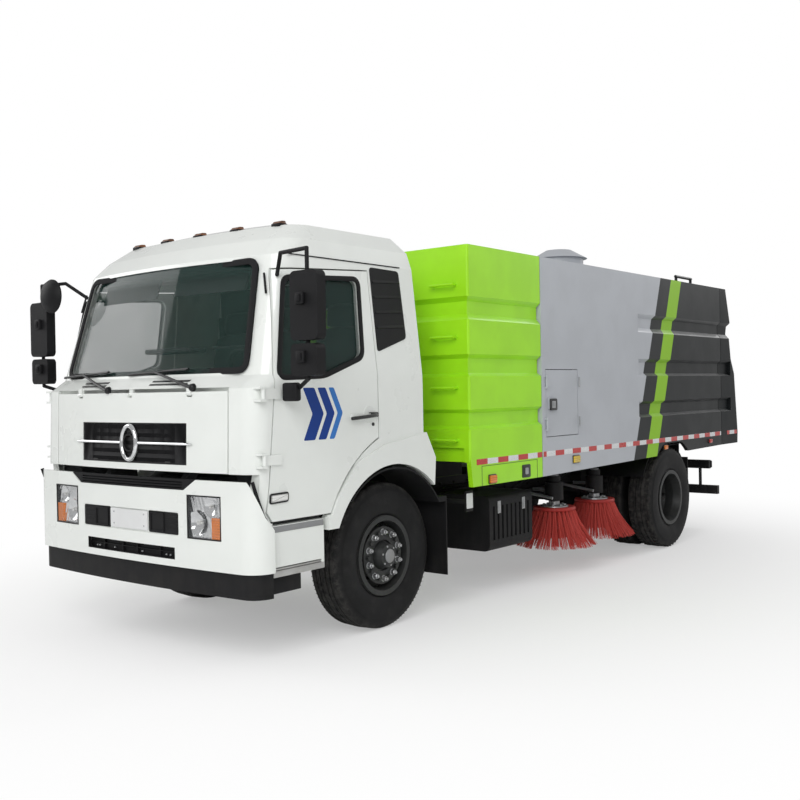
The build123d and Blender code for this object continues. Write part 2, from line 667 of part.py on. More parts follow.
def make_battery_box():
    """Left box with rounded upper edges and a fluted outer wall."""
    box = block(SIDE_BOX_IN_X, SIDE_BOX_OUT_X, SIDE_BOX_FRONT_Y, SIDE_BOX_REAR_Y, SIDE_BOX_BOTTOM_Z, SIDE_BOX_TOP_Z)
    along = box.edges().filter_by(Axis.Y).sort_by(Axis.X)[-2:]
    box = fillet(along, SIDE_BOX_CORNER)
    pitch = (SIDE_BOX_REAR_Y - SIDE_BOX_FRONT_Y) / (FLUTE_COUNT + 1)
    cuts = []
    for number in range(FLUTE_COUNT):
        y = SIDE_BOX_FRONT_Y + pitch * (number + 1)
        cuts.append(block(SIDE_BOX_OUT_X - FLUTE_DEPTH, SIDE_BOX_OUT_X + 5, y - FLUTE_WIDTH / 2, y + FLUTE_WIDTH / 2,
                          SIDE_BOX_BOTTOM_Z + SIDE_BOX_CORNER * 1.6, SIDE_BOX_TOP_Z - SIDE_BOX_CORNER * 1.6))
    box = less(box, cuts)
    rail_bottom = RAIL_TOP_Z - RAIL_HEIGHT
    for y in (SIDE_BOX_FRONT_Y + 120, SIDE_BOX_REAR_Y - 120):
        box = box + block(RAIL_OUT_X, SIDE_BOX_IN_X + 10, y - 30, y + 30, rail_bottom + 10, rail_bottom + 100)
    return box


def make_fuel_tank():
    """Right fuel tank, a drum along the truck in two straps on brackets."""
    x = -(SIDE_BOX_IN_X + SIDE_BOX_OUT_X) / 2
    z = SIDE_BOX_TOP_Z - TANK_R
    tank = rod_y(TANK_R, x, SIDE_BOX_FRONT_Y, SIDE_BOX_REAR_Y, z)
    pieces = [tank]
    rail_bottom = RAIL_TOP_Z - RAIL_HEIGHT
    for y in (SIDE_BOX_FRONT_Y + 120, SIDE_BOX_REAR_Y - 120):
        pieces.append(rod_y(TANK_R + 6, x, y - TANK_STRAP / 2, y + TANK_STRAP / 2, z))
        pieces.append(block(-RAIL_OUT_X, x, y - TANK_STRAP, y + TANK_STRAP, rail_bottom + 10, rail_bottom + 100))
    pieces.append(rod_x(TANK_CAP_R, x - TANK_R - 22, x, SIDE_BOX_FRONT_Y + 260, z + 90))
    return joined(pieces)


def make_mudguard():
    """Left front liner over the tyre with a flap behind, on a rail bracket."""
    z = WHEEL_CENTRE_Z
    width = GUARD_OUT_X - GUARD_IN_X
    ring = rod_x(GUARD_R + GUARD_WALL, GUARD_IN_X, GUARD_OUT_X, 0, z) - rod_x(GUARD_R, GUARD_IN_X - 5, GUARD_OUT_X + 5, 0, z)
    keep = block(GUARD_IN_X, GUARD_OUT_X, -GUARD_R - 50, 0, GUARD_START_Z, z + GUARD_R + 50)
    keep_rear = block(GUARD_IN_X, GUARD_OUT_X, 0, GUARD_R + 50, FLAP_TOP_Z - 40, z + GUARD_R + 50)
    arch = ring & (keep + keep_rear)
    flap = block(GUARD_IN_X, GUARD_OUT_X, FLAP_FRONT_Y, FLAP_FRONT_Y + GUARD_WALL, FLAP_BOTTOM_Z, FLAP_TOP_Z)
    angle = math.asin((FLAP_TOP_Z - 40 - z) / GUARD_R)
    edge_y = GUARD_R * math.cos(angle)
    bridge = block(GUARD_IN_X, GUARD_OUT_X, edge_y - 4, FLAP_FRONT_Y + GUARD_WALL, FLAP_TOP_Z - 40, FLAP_TOP_Z)
    bracket = block(RAIL_OUT_X, GUARD_IN_X + 20, FLAP_FRONT_Y, FLAP_FRONT_Y + 40, FLAP_TOP_Z - 90, FLAP_TOP_Z - 30)
    return joined([arch, flap, bridge, bracket])


def make_rear_guard():
    """Left guard over the twin tyres with its flap, on two rail brackets."""
    z = WHEEL_CENTRE_Z
    ring = rod_x(REAR_GUARD_R + GUARD_WALL, REAR_GUARD_IN_X, REAR_GUARD_OUT_X, WHEELBASE, z)
    ring = ring - rod_x(REAR_GUARD_R, REAR_GUARD_IN_X - 5, REAR_GUARD_OUT_X + 5, WHEELBASE, z)
    top_cut = z + REAR_GUARD_R - 130
    flat_top = block(REAR_GUARD_IN_X, REAR_GUARD_OUT_X, WHEELBASE - 700, WHEELBASE + 700, top_cut, z + 700)
    sides = ring - flat_top
    low = block(REAR_GUARD_IN_X, REAR_GUARD_OUT_X, WHEELBASE - 700, WHEELBASE + 700, z - 700, z + 250)
    sides = sides - low
    half = math.sqrt(REAR_GUARD_R ** 2 - (top_cut - z) ** 2)
    lid = block(REAR_GUARD_IN_X, REAR_GUARD_OUT_X, WHEELBASE - half, WHEELBASE + half, z + TYRE_R + 12, z + TYRE_R + 24)
    webs = []
    for end in (-1, 1):
        y = WHEELBASE + end * half
        webs.append(block(REAR_GUARD_IN_X, REAR_GUARD_OUT_X, y - 7, y + 7, top_cut - 12, z + TYRE_R + 24))
    flap_front = WHEELBASE + REAR_FLAP_Y
    flap = block(REAR_GUARD_IN_X, REAR_GUARD_OUT_X, flap_front, flap_front + GUARD_WALL, REAR_FLAP_BOTTOM_Z, z + 385)
    reach = math.sqrt(REAR_GUARD_R ** 2 - 250 ** 2)
    bridge = block(REAR_GUARD_IN_X, REAR_GUARD_OUT_X, WHEELBASE + reach - 6, flap_front + GUARD_WALL, z + 250, z + 262)
    bracket = block(RAIL_OUT_X, REAR_GUARD_IN_X + 20, flap_front, flap_front + 40, z + 325, z + 380)
    return joined([sides, lid, flap, bridge, bracket] + webs)


def bumper_plan(inset, z0, z1):
    """Bowed plan of the bumper with rounded corners, drawn between two heights."""
    half = BUMPER_HALF - inset
    front = -FRONT_OVERHANG + inset
    corner = BUMPER_CORNER - inset
    edge = front + BUMPER_BOW
    rear = BUMPER_REAR_Y + (1 if inset else 0)
    bow = ThreePointArc((-half + corner, ya(edge)), (0, ya(front)), (half - corner, ya(edge)))
    right = Line((half, ya(edge + corner)), (half, ya(rear)))
    back = Line((half, ya(rear)), (-half, ya(rear)))
    left = Line((-half, ya(rear)), (-half, ya(edge + corner)))
    shift = corner * (1 - math.sqrt(0.5))
    turn_r = ThreePointArc((half - corner, ya(edge)), (half - shift, ya(edge + shift)), (half, ya(edge + corner)))
    turn_l = ThreePointArc((-half, ya(edge + corner)), (-half + shift, ya(edge + shift)), (-half + corner, ya(edge)))
    face = make_face([bow, turn_r, right, back, left, turn_l])
    return Pos(0, 0, z0) * extrude(face, amount=z1 - z0, dir=(0, 0, 1))


def make_bumper():
    """Bumper shell with lamp pockets, plate recess, lower slot and air dam."""
    shell = bumper_plan(0, BUMPER_BOTTOM_Z, BUMPER_TOP_Z) - bumper_plan(BUMPER_WALL, BUMPER_BOTTOM_Z - 5, BUMPER_TOP_Z + 5)
    outline = [(-FRONT_OVERHANG - 20, BUMPER_BOTTOM_Z - 5), (BUMPER_REAR_Y, BUMPER_BOTTOM_Z - 5), (BUMPER_REAR_Y, 862.0),
               (-1233.0, 876.0), (-1289.0, 947.0), (-1330.0, 1050.0), (-1372.0, BUMPER_TOP_Z + 5),
               (-FRONT_OVERHANG - 20, BUMPER_TOP_Z + 5)]
    shell = shell & side_prism(outline, -BUMPER_HALF - 10, BUMPER_HALF + 10)
    front = -FRONT_OVERHANG - 10
    cuts = []
    for side in (-1, 1):
        cuts.append(block(side * LAMP_IN_X, side * LAMP_OUT_X, front, front + 160, LAMP_BOTTOM_Z, LAMP_TOP_Z))
    cuts.append(block(-SLOT_HALF, SLOT_HALF, front, front + 160, SLOT_BOTTOM_Z, SLOT_TOP_Z))
    cuts.append(front_prism([(-GRILLE_LOW_HALF, GRILLE_LOW_Z), (GRILLE_LOW_HALF, GRILLE_LOW_Z),
                             (GRILLE_TOP_HALF, BUMPER_TOP_Z + 10), (-GRILLE_TOP_HALF, BUMPER_TOP_Z + 10)], front, front + 160))
    cuts.append(block(-PLATE_HALF, PLATE_HALF, front, -FRONT_OVERHANG + 14, PLATE_BOTTOM_Z, PLATE_TOP_Z))
    shell = less(shell, cuts)
    dam = bumper_plan(DAM_INSET, DAM_BOTTOM_Z, BUMPER_BOTTOM_Z) - bumper_plan(DAM_INSET + BUMPER_WALL, DAM_BOTTOM_Z - 5, BUMPER_BOTTOM_Z + 5)
    dam = dam & block(-BUMPER_HALF, BUMPER_HALF, -FRONT_OVERHANG, -1280, DAM_BOTTOM_Z, BUMPER_BOTTOM_Z)
    lip = bumper_plan(0, BUMPER_BOTTOM_Z, BUMPER_BOTTOM_Z + 12) - bumper_plan(DAM_INSET + BUMPER_WALL, BUMPER_BOTTOM_Z - 5, BUMPER_BOTTOM_Z + 20)
    shelf = block(-PLATE_HALF, PLATE_HALF, -FRONT_OVERHANG + BUMPER_WALL - 6, RAIL_FRONT_Y - 60, 745, 770)
    pieces = [shell, dam, lip]
    for side in (-1, 1):
        arm_x = side * (RAIL_OUT_X - RAIL_FLANGE / 2)
        reach = -FRONT_OVERHANG + BUMPER_WALL / 2
        arm = block(arm_x - 30, arm_x + 30, reach, RAIL_FRONT_Y, 735, 795)
        arm = arm - rod_z(TOW_BORE_R, arm_x, -1300, 700, 830)
        pieces.append(arm)
    return joined(pieces)


def make_headlamp():
    """Left headlamp block that fills its pocket in the bumper."""
    box = block(LAMP_IN_X + 1, LAMP_OUT_X - 1, -FRONT_OVERHANG - 10, -FRONT_OVERHANG + LAMP_DEPTH + 40,
                LAMP_BOTTOM_Z + 1, LAMP_TOP_Z - 1)
    skin = bumper_plan(3, LAMP_BOTTOM_Z, LAMP_TOP_Z)
    back = bumper_plan(LAMP_DEPTH, LAMP_BOTTOM_Z - 5, LAMP_TOP_Z + 5)
    lamp = (box & skin) - back
    flange_box = block(LAMP_IN_X - 18, LAMP_OUT_X + 18, -FRONT_OVERHANG - 10, -FRONT_OVERHANG + LAMP_DEPTH + 80,
                       LAMP_BOTTOM_Z - 18, LAMP_TOP_Z + 18)
    rim = bumper_plan(BUMPER_WALL + SEAT_GAP, LAMP_BOTTOM_Z - 18, LAMP_TOP_Z + 18)
    flange = (flange_box & rim) - bumper_plan(BUMPER_WALL + 12, LAMP_BOTTOM_Z - 25, LAMP_TOP_Z + 25)
    return lamp + flange


def make_lower_grille():
    """Slatted grille between the bumper and the cab."""
    skin = bumper_plan(8, GRILLE_LOW_Z + 1, BUMPER_TOP_Z + 10) - bumper_plan(34, GRILLE_LOW_Z - 5, BUMPER_TOP_Z + 20)
    share = (BUMPER_TOP_Z - GRILLE_LOW_Z) / (BUMPER_TOP_Z + 10 - GRILLE_LOW_Z)
    top_half = GRILLE_LOW_HALF + (GRILLE_TOP_HALF - GRILLE_LOW_HALF) * share - 2
    outline = [(-GRILLE_LOW_HALF + 1, GRILLE_LOW_Z + 1), (GRILLE_LOW_HALF - 1, GRILLE_LOW_Z + 1),
               (top_half, BUMPER_TOP_Z), (-top_half, BUMPER_TOP_Z)]
    skin = skin & front_prism(outline, -FRONT_OVERHANG - 10, -1200)
    pitch = (BUMPER_TOP_Z - GRILLE_LOW_Z) / (GRILLE_SLAT_COUNT + 1)
    cuts = []
    for number in range(GRILLE_SLAT_COUNT):
        low = GRILLE_LOW_Z + pitch * (number + 0.5) + 2
        groove = bumper_plan(0, low, low + pitch * 0.5) - bumper_plan(24, low - 5, low + pitch)
        cuts.append(groove & block(-GRILLE_LOW_HALF + 20, GRILLE_LOW_HALF - 20, -1500, -1200, low - 1, low + pitch))
    skin = less(skin, cuts)
    lug = bumper_plan(BUMPER_WALL + SEAT_GAP, GRILLE_LOW_Z - 20, GRILLE_LOW_Z + 6) - bumper_plan(34, GRILLE_LOW_Z - 30, GRILLE_LOW_Z + 20)
    lug = lug & block(-GRILLE_LOW_HALF + 20, GRILLE_LOW_HALF - 20, -1500, -1200, GRILLE_LOW_Z - 20, GRILLE_LOW_Z + 6)
    return skin + lug


def groove_cutter(x_side, y0, y1):
    """Long grooves for one side wall between two Y."""
    cutters = []
    face = BODY_HALF
    for top, inner_top, inner_low, low in GROOVES:
        points = [(face + 1, top), (face + 1, low), (face - GROOVE_DEPTH, inner_low), (face - GROOVE_DEPTH, inner_top)]
        cut = front_prism(points, y0, y1)
        cutters.append(cut if x_side > 0 else mirrored(cut))
    return cutters


def front_grooves():
    """The same grooves carried round the front face of the green body."""
    cutters = []
    for top, inner_top, inner_low, low in GROOVES:
        face = BODY_FRONT_Y
        points = [(face - 1, top), (face - 1, low), (face + GROOVE_DEPTH, inner_low), (face + GROOVE_DEPTH, inner_top)]
        cutters.append(side_prism(points, -BODY_HALF - 5, BODY_HALF + 5))
    return cutters


def make_body_front():
    """Green body front with open-ended grooves, ledge, skirts and rungs."""
    main = block(-BODY_HALF, BODY_HALF, BODY_FRONT_Y, BODY_SEAM_Y - PANEL_GAP, BODY_FRONT_BOTTOM_Z, BODY_TOP_Z)
    top_edges = main.edges().filter_by(Axis.X).sort_by(Axis.Z)[-2:]
    upright = main.edges().filter_by(Axis.Z).sort_by(Axis.Y)[:2]
    main = fillet(upright, 18)
    cuts = front_grooves()
    for side in (-1, 1):
        cuts = cuts + groove_cutter(side, BODY_FRONT_Y - 5, BODY_SEAM_Y)
    cuts.append(block(-BODY_HALF + 60, BODY_HALF - 60, BODY_FRONT_Y - 5, BODY_FRONT_Y + 30, BODY_FRONT_BOTTOM_Z - 5, LEDGE_Z))
    main = less(main, cuts)
    pieces = [main]
    for side in (-1, 1):
        points = [(BODY_FRONT_Y + 2, BODY_FRONT_BOTTOM_Z + 20), (BODY_FRONT_Y + 30, SKIRT_BOTTOM_Z),
                  (BODY_SEAM_Y - PANEL_GAP, SKIRT_BOTTOM_Z), (BODY_SEAM_Y - PANEL_GAP, BODY_FRONT_BOTTOM_Z + 20)]
        skirt = side_prism(points, BODY_HALF - SKIRT_WALL, BODY_HALF)
        pieces.append(skirt if side > 0 else mirrored(skirt))
        for z in RUNG_Z:
            ends = (RUNG_IN_X, RUNG_OUT_X)
            stand = BODY_FRONT_Y - RUNG_REACH
            pieces.append(rod_x(RUNG_R, side * ends[0], side * ends[1], stand, z)) if side > 0 else None
            if side > 0:
                for x in (RUNG_IN_X + RUNG_R, RUNG_OUT_X - RUNG_R):
                    pieces.append(rod_y(RUNG_R, x, stand, BODY_FRONT_Y + GROOVE_DEPTH, z))
    for side in (-1, 1):
        inner = side * (RAIL_OUT_X - RAIL_FLANGE)
        pieces.append(block(inner, side * RAIL_OUT_X, BODY_FRONT_Y + 60, BODY_SEAM_Y - 40, RAIL_TOP_Z, BODY_FRONT_BOTTOM_Z))
    return joined(pieces)


def gate_outline(front_y, inset):
    """Side outline of the tailgate from its front face to the rear profile."""
    rear = [(y - inset, z) for y, z in REAR_PROFILE]
    return [(front_y, REAR_PROFILE[-1][1])] + [(front_y, BODY_TOP_Z)] + rear


def make_hopper():
    """Hollow hopper with grooved rear walls, wheel arches, dome and lug pair."""
    front = BODY_SEAM_Y
    rear = GATE_FRONT_Y - PANEL_GAP
    shell = block(-BODY_HALF, BODY_HALF, front, rear, BODY_FLOOR_Z, BODY_TOP_Z)
    room = block(-BODY_HALF + BODY_WALL, BODY_HALF - BODY_WALL, front + BODY_WALL, rear + 5,
                 BODY_FLOOR_Z + BODY_WALL, BODY_TOP_Z - BODY_WALL)
    cuts = [room]
    for side in (-1, 1):
        cuts = cuts + groove_cutter(side, PLAIN_END_Y, GATE_FRONT_Y)
    shell = less(shell, cuts)
    pieces = [shell]
    points = [(front, SKIRT_BOTTOM_Z), (rear, SKIRT_REAR_Z), (rear, BODY_FLOOR_Z + 10), (front, BODY_FLOOR_Z + 10)]
    arch_y = WHEELBASE + REAR_ARCH_SHIFT
    for side in (-1, 1):
        skirt = side_prism(points, BODY_HALF - SKIRT_WALL, BODY_HALF)
        skirt = skirt - rod_x(REAR_ARCH_R, BODY_HALF - SKIRT_WALL - 5, BODY_HALF + 5, arch_y, WHEEL_CENTRE_Z)
        pieces.append(skirt if side > 0 else mirrored(skirt))
    dome_rise = 90.0
    base_z = DOME_TOP_Z - dome_rise
    pieces.append(rod_z(DOME_R - 40, DOME_X, DOME_Y, BODY_TOP_Z, base_z))
    cap = Pos(DOME_X, ya(DOME_Y), base_z + dome_rise / 2) * Cone(DOME_R, DOME_R * 0.45, dome_rise)
    pieces.append(cap)
    hatch = make_side_hatch_hole()
    body = joined(pieces) - hatch
    lugs = []
    for side in (-1, 1):
        gate_room = REAR_PROFILE[-1][1] - PANEL_GAP
        plate = side_prism([(GATE_FRONT_Y - 250, BODY_FLOOR_Z + 10), (GATE_FRONT_Y - PANEL_GAP - 5, BODY_FLOOR_Z + 10),
                            (GATE_FRONT_Y - PANEL_GAP - 5, gate_room), (TIP_PIVOT_Y + 32, gate_room),
                            (TIP_PIVOT_Y + 36, TIP_PIVOT_Z - 30), (TIP_PIVOT_Y - 40, TIP_PIVOT_Z - 32),
                            (GATE_FRONT_Y - 250, BODY_FLOOR_Z - 70)],
                           TIP_LUG_X, TIP_LUG_X + TIP_LUG_WIDTH)
        plate = plate - rod_x(TIP_PIN_R + BEARING_GAP, TIP_LUG_X - 5, TIP_LUG_X + TIP_LUG_WIDTH + 5, TIP_PIVOT_Y, TIP_PIVOT_Z)
        lugs.append(plate if side > 0 else mirrored(plate))
        bearer = block(RAIL_OUT_X - RAIL_FLANGE, RAIL_OUT_X, front + 60, GATE_FRONT_Y - 450, SUBFRAME_TOP_Z + SEAT_GAP, BODY_FLOOR_Z + 5)
        lugs.append(bearer if side > 0 else mirrored(bearer))
        eye = block(side * LIFT_X - LIFT_CHEEK, side * LIFT_X + LIFT_CHEEK, LIFT_EYE_Y - 45, LIFT_EYE_Y + 45, LIFT_EYE_Z - 40, BODY_FLOOR_Z + 10)
        eye = eye - block(side * LIFT_X - LIFT_CHEEK_IN, side * LIFT_X + LIFT_CHEEK_IN, LIFT_EYE_Y - 60, LIFT_EYE_Y + 60, LIFT_EYE_Z - 60, BODY_FLOOR_Z - 1)
        eye = eye + rod_x(LIFT_PIN_R, side * LIFT_X - LIFT_CHEEK + 4, side * LIFT_X + LIFT_CHEEK - 4, LIFT_EYE_Y, LIFT_EYE_Z)
        lugs.append(eye)
    for x in GATE_HINGE_X:
        half = GATE_HINGE_LENGTH / 2
        lugs.append(rod_x(GATE_PIN_R + 10, x - half, x + half, GATE_FRONT_Y, GATE_PIN_Z) - rod_x(GATE_PIN_R + BEARING_GAP, x - half - 5, x + half + 5, GATE_FRONT_Y, GATE_PIN_Z))
        web = block(x - half, x + half, GATE_FRONT_Y - 90, GATE_FRONT_Y - GATE_PIN_R - 4, BODY_TOP_Z - 5, GATE_PIN_Z + 6)
        lugs.append(web)
    loops = []
    for side in (-1, 1):
        for y in LOOP_Y:
            loops.append(rod_z(LOOP_R, side * LOOP_X, y, BODY_TOP_Z - 5, LOOP_TOP_Z))
        loops.append(rod_y(LOOP_R, side * LOOP_X, LOOP_Y[0] - LOOP_R, LOOP_Y[1] + LOOP_R, LOOP_TOP_Z))
    return joined([body] + lugs + loops + make_hatch_sockets())


def make_side_hatch_hole():
    """Opening in the left wall for the access door."""
    gap = DOOR_GAP
    return block(BODY_HALF - BODY_WALL - 5, BODY_HALF + 5, DOOR_FRONT_Y, DOOR_REAR_Y, DOOR_BOTTOM_Z, DOOR_TOP_Z)


def hatch_hinge_levels():
    """Heights of the two hatch hinges."""
    return DOOR_BOTTOM_Z + HATCH_HINGE_INSET, DOOR_TOP_Z - HATCH_HINGE_INSET


def make_hatch_sockets():
    """Pins and end blocks on the wall that carry the hatch hinges."""
    pin_x = BODY_HALF + HINGE_R + 2
    pieces = []
    for z in hatch_hinge_levels():
        for end in (-1, 1):
            near = z + end * (HATCH_HINGE_HALF + SEAT_GAP)
            pieces.append(block(BODY_HALF - 4, pin_x + HINGE_R, DOOR_FRONT_Y - 16, DOOR_FRONT_Y - 0.5, near, near + end * 15))
            pieces.append(block(BODY_HALF + 2, pin_x + HINGE_R, DOOR_FRONT_Y - 16, DOOR_FRONT_Y + HINGE_R, near, near + end * 15))
        pieces.append(rod_z(HATCH_PIN_R, pin_x, DOOR_FRONT_Y, z - HATCH_HINGE_HALF - 8, z + HATCH_HINGE_HALF + 8))
    return pieces


def make_access_door():
    """Access door set flush in the hopper's left wall, on a front hinge pin."""
    gap = DOOR_GAP
    plate = block(BODY_HALF - DOOR_THICK, BODY_HALF - 1, DOOR_FRONT_Y + gap, DOOR_REAR_Y - gap, DOOR_BOTTOM_Z + gap, DOOR_TOP_Z - gap)
    pin_x = BODY_HALF + HINGE_R + 2
    pieces = [plate]
    for z in hatch_hinge_levels():
        barrel = rod_z(HINGE_R, pin_x, DOOR_FRONT_Y, z - HATCH_HINGE_HALF, z + HATCH_HINGE_HALF)
        leaf = block(BODY_HALF - 6, pin_x, DOOR_FRONT_Y, DOOR_FRONT_Y + gap + 60, z - HATCH_HINGE_HALF, z + HATCH_HINGE_HALF)
        leaf = leaf - block(BODY_HALF - 8, BODY_HALF + 1.5, DOOR_FRONT_Y - 1, DOOR_FRONT_Y + gap, z - 45, z + 45)
        hole = rod_z(HATCH_PIN_R + SEAT_GAP, pin_x, DOOR_FRONT_Y, z - 60, z + 60)
        pieces.append((barrel + leaf) - hole)
    latch = block(BODY_HALF - 6, BODY_HALF + 14, DOOR_FRONT_Y + 40, DOOR_FRONT_Y + 150, (DOOR_BOTTOM_Z + DOOR_TOP_Z) / 2 - 50,
                  (DOOR_BOTTOM_Z + DOOR_TOP_Z) / 2 + 50)
    pieces.append(latch)
    return joined(pieces)


def make_tailgate():
    """Hollow ribbed tailgate hung on pins at its top edge."""
    solid = side_prism(gate_outline(GATE_FRONT_Y, 0), -BODY_HALF, BODY_HALF)
    inner = [(GATE_FRONT_Y - 5, REAR_PROFILE[-1][1] + BODY_WALL), (GATE_FRONT_Y - 5, BODY_TOP_Z - BODY_WALL)]
    for y, z in REAR_PROFILE:
        inner.append((y - BODY_WALL, min(max(z, REAR_PROFILE[-1][1] + BODY_WALL), BODY_TOP_Z - BODY_WALL)))
    room = side_prism(inner, -BODY_HALF + BODY_WALL, BODY_HALF - BODY_WALL)
    gate = solid - room
    cuts = []
    for side in (-1, 1):
        cuts = cuts + groove_cutter(side, GATE_FRONT_Y - 5, 6190.0)
    gate = less(gate, cuts)
    pieces = [gate]
    for x in GATE_HINGE_X:
        half = GATE_HINGE_LENGTH
        pieces.append(rod_x(GATE_PIN_R, x - half, x + half, GATE_FRONT_Y, GATE_PIN_Z))
        for end in (-1, 1):
            near = x + end * (GATE_HINGE_LENGTH / 2 + 6)
            far = x + end * half
            ear = block(near, far, GATE_FRONT_Y - 20, GATE_FRONT_Y + 80, BODY_TOP_Z - 5, GATE_PIN_Z + 20)
            ear = ear - block(near - 60, far + 60, GATE_FRONT_Y - 25, GATE_FRONT_Y, BODY_TOP_Z - 10, BODY_TOP_Z + 8)
            pieces.append(ear)
    return joined(pieces)


def make_subframe():
    """Two stringers on the rails, with the tip pivot posts and cylinder feet."""
    pieces = []
    for side in (-1, 1):
        inner = side * (RAIL_OUT_X - RAIL_FLANGE)
        stringer = block(inner, side * RAIL_OUT_X, BODY_SEAM_Y + 30, GATE_FRONT_Y - 300, RAIL_TOP_Z, SUBFRAME_TOP_Z)
        pieces.append(stringer)
    return pieces


def make_tip_posts():
    """Posts at the rear of the rails with the pin that the hopper turns on."""
    pieces = []
    for side in (-1, 1):
        x_in = TIP_LUG_X + TIP_LUG_WIDTH + 6
        x_out = RAIL_OUT_X
        post = side_prism([(TIP_PIVOT_Y - 60, RAIL_TOP_Z), (RAIL_REAR_Y, RAIL_TOP_Z), (RAIL_REAR_Y, TIP_PIVOT_Z),
                           (TIP_PIVOT_Y + 12, TIP_PIVOT_Z + 30), (TIP_PIVOT_Y - 30, TIP_PIVOT_Z + 30), (TIP_PIVOT_Y - 60, TIP_PIVOT_Z)],
                          x_in, x_out)
        post = post + side_prism([(TIP_PIVOT_Y - 40, RAIL_TOP_Z - 60), (RAIL_REAR_Y, RAIL_TOP_Z - 60), (RAIL_REAR_Y, RAIL_TOP_Z),
                                  (TIP_PIVOT_Y - 40, RAIL_TOP_Z)], x_in, RAIL_OUT_X - RAIL_WALL)
        pin = rod_x(TIP_PIN_R, TIP_LUG_X - 10, x_in + 5, TIP_PIVOT_Y, TIP_PIVOT_Z)
        piece = post + pin
        pieces.append(piece if side > 0 else mirrored(piece))
    return pieces


def lift_direction():
    """Unit vector and length from a cylinder's foot to its rod eye at rest."""
    dy = LIFT_EYE_Y - LIFT_FOOT_Y
    dz = LIFT_EYE_Z - LIFT_FOOT_Z
    length = math.hypot(dy, dz)
    return dy / length, dz / length, length


def make_lift_barrel():
    """Left cylinder barrel with its foot eye."""
    uy, uz, length = lift_direction()
    foot = (LIFT_X, ya(LIFT_FOOT_Y), LIFT_FOOT_Z)
    neck_end = (LIFT_X, foot[1] + uy * 90, foot[2] + uz * 90)
    start = (LIFT_X, foot[1] + uy * 75, foot[2] + uz * 75)
    end = (LIFT_X, foot[1] + uy * LIFT_BARREL_LENGTH, foot[2] + uz * LIFT_BARREL_LENGTH)
    tube = tube_between(start, end, LIFT_BARREL_R) + tube_between(foot, neck_end, 26)
    bore_start = (LIFT_X, foot[1] + uy * 120, foot[2] + uz * 120)
    bore_end = (LIFT_X, foot[1] + uy * (LIFT_BARREL_LENGTH + 50), foot[2] + uz * (LIFT_BARREL_LENGTH + 50))
    bore = tube_between(bore_start, bore_end, LIFT_ROD_R + 1)
    eye = rod_x(LIFT_EYE_R, LIFT_X - 28, LIFT_X + 28, LIFT_FOOT_Y, LIFT_FOOT_Z)
    hole = rod_x(LIFT_PIN_R + BEARING_GAP, LIFT_X - 60, LIFT_X + 60, LIFT_FOOT_Y, LIFT_FOOT_Z)
    return (tube - bore) + eye - hole


def make_lift_rod():
    """Left cylinder rod with its open top eye."""
    uy, uz, length = lift_direction()
    foot = (LIFT_X, ya(LIFT_FOOT_Y), LIFT_FOOT_Z)
    start = (LIFT_X, foot[1] + uy * 140, foot[2] + uz * 140)
    end = (LIFT_X, foot[1] + uy * (length - 20), foot[2] + uz * (length - 20))
    bar = tube_between(start, end, LIFT_ROD_R)
    eye = rod_x(LIFT_EYE_R - 4, LIFT_X - 25, LIFT_X + 25, LIFT_EYE_Y, LIFT_EYE_Z)
    hole = rod_x(LIFT_PIN_R + 1.5, LIFT_X - 60, LIFT_X + 60, LIFT_EYE_Y, LIFT_EYE_Z)
    upper = []
    lower = []
    for along, over in LIFT_MOUTH_PATH:
        y = LIFT_EYE_Y + along * uy - over * uz
        z = LIFT_EYE_Z + along * uz + over * uy
        upper.append((y + LIFT_MOUTH * 0.65, z + LIFT_MOUTH * 0.76))
        lower.append((y - LIFT_MOUTH * 0.65, z - LIFT_MOUTH * 0.76))
    hole = hole + side_prism(upper + lower[::-1], LIFT_X - 60, LIFT_X + 60)
    return (bar + eye) - hole


def make_lift_feet():
    """Clevises on a cross member for the two cylinder feet."""
    pieces = []
    bottom = RAIL_TOP_Z - RAIL_HEIGHT + RAIL_WALL
    web = RAIL_OUT_X - RAIL_WALL
    pieces.append(block(-web, web, LIFT_FOOT_Y - 110, LIFT_FOOT_Y - 60, bottom, bottom + 150))
    for side in (-1, 1):
        for edge in (-1, 1):
            x0 = side * LIFT_X + edge * 30
            x1 = side * LIFT_X + edge * 44
            pieces.append(block(x0, x1, LIFT_FOOT_Y - 70, LIFT_FOOT_Y + 40, LIFT_FOOT_Z - 40, LIFT_FOOT_Z + 40))
        pieces.append(rod_x(LIFT_PIN_R, side * LIFT_X - 44, side * LIFT_X + 44, LIFT_FOOT_Y, LIFT_FOOT_Z))
    return pieces


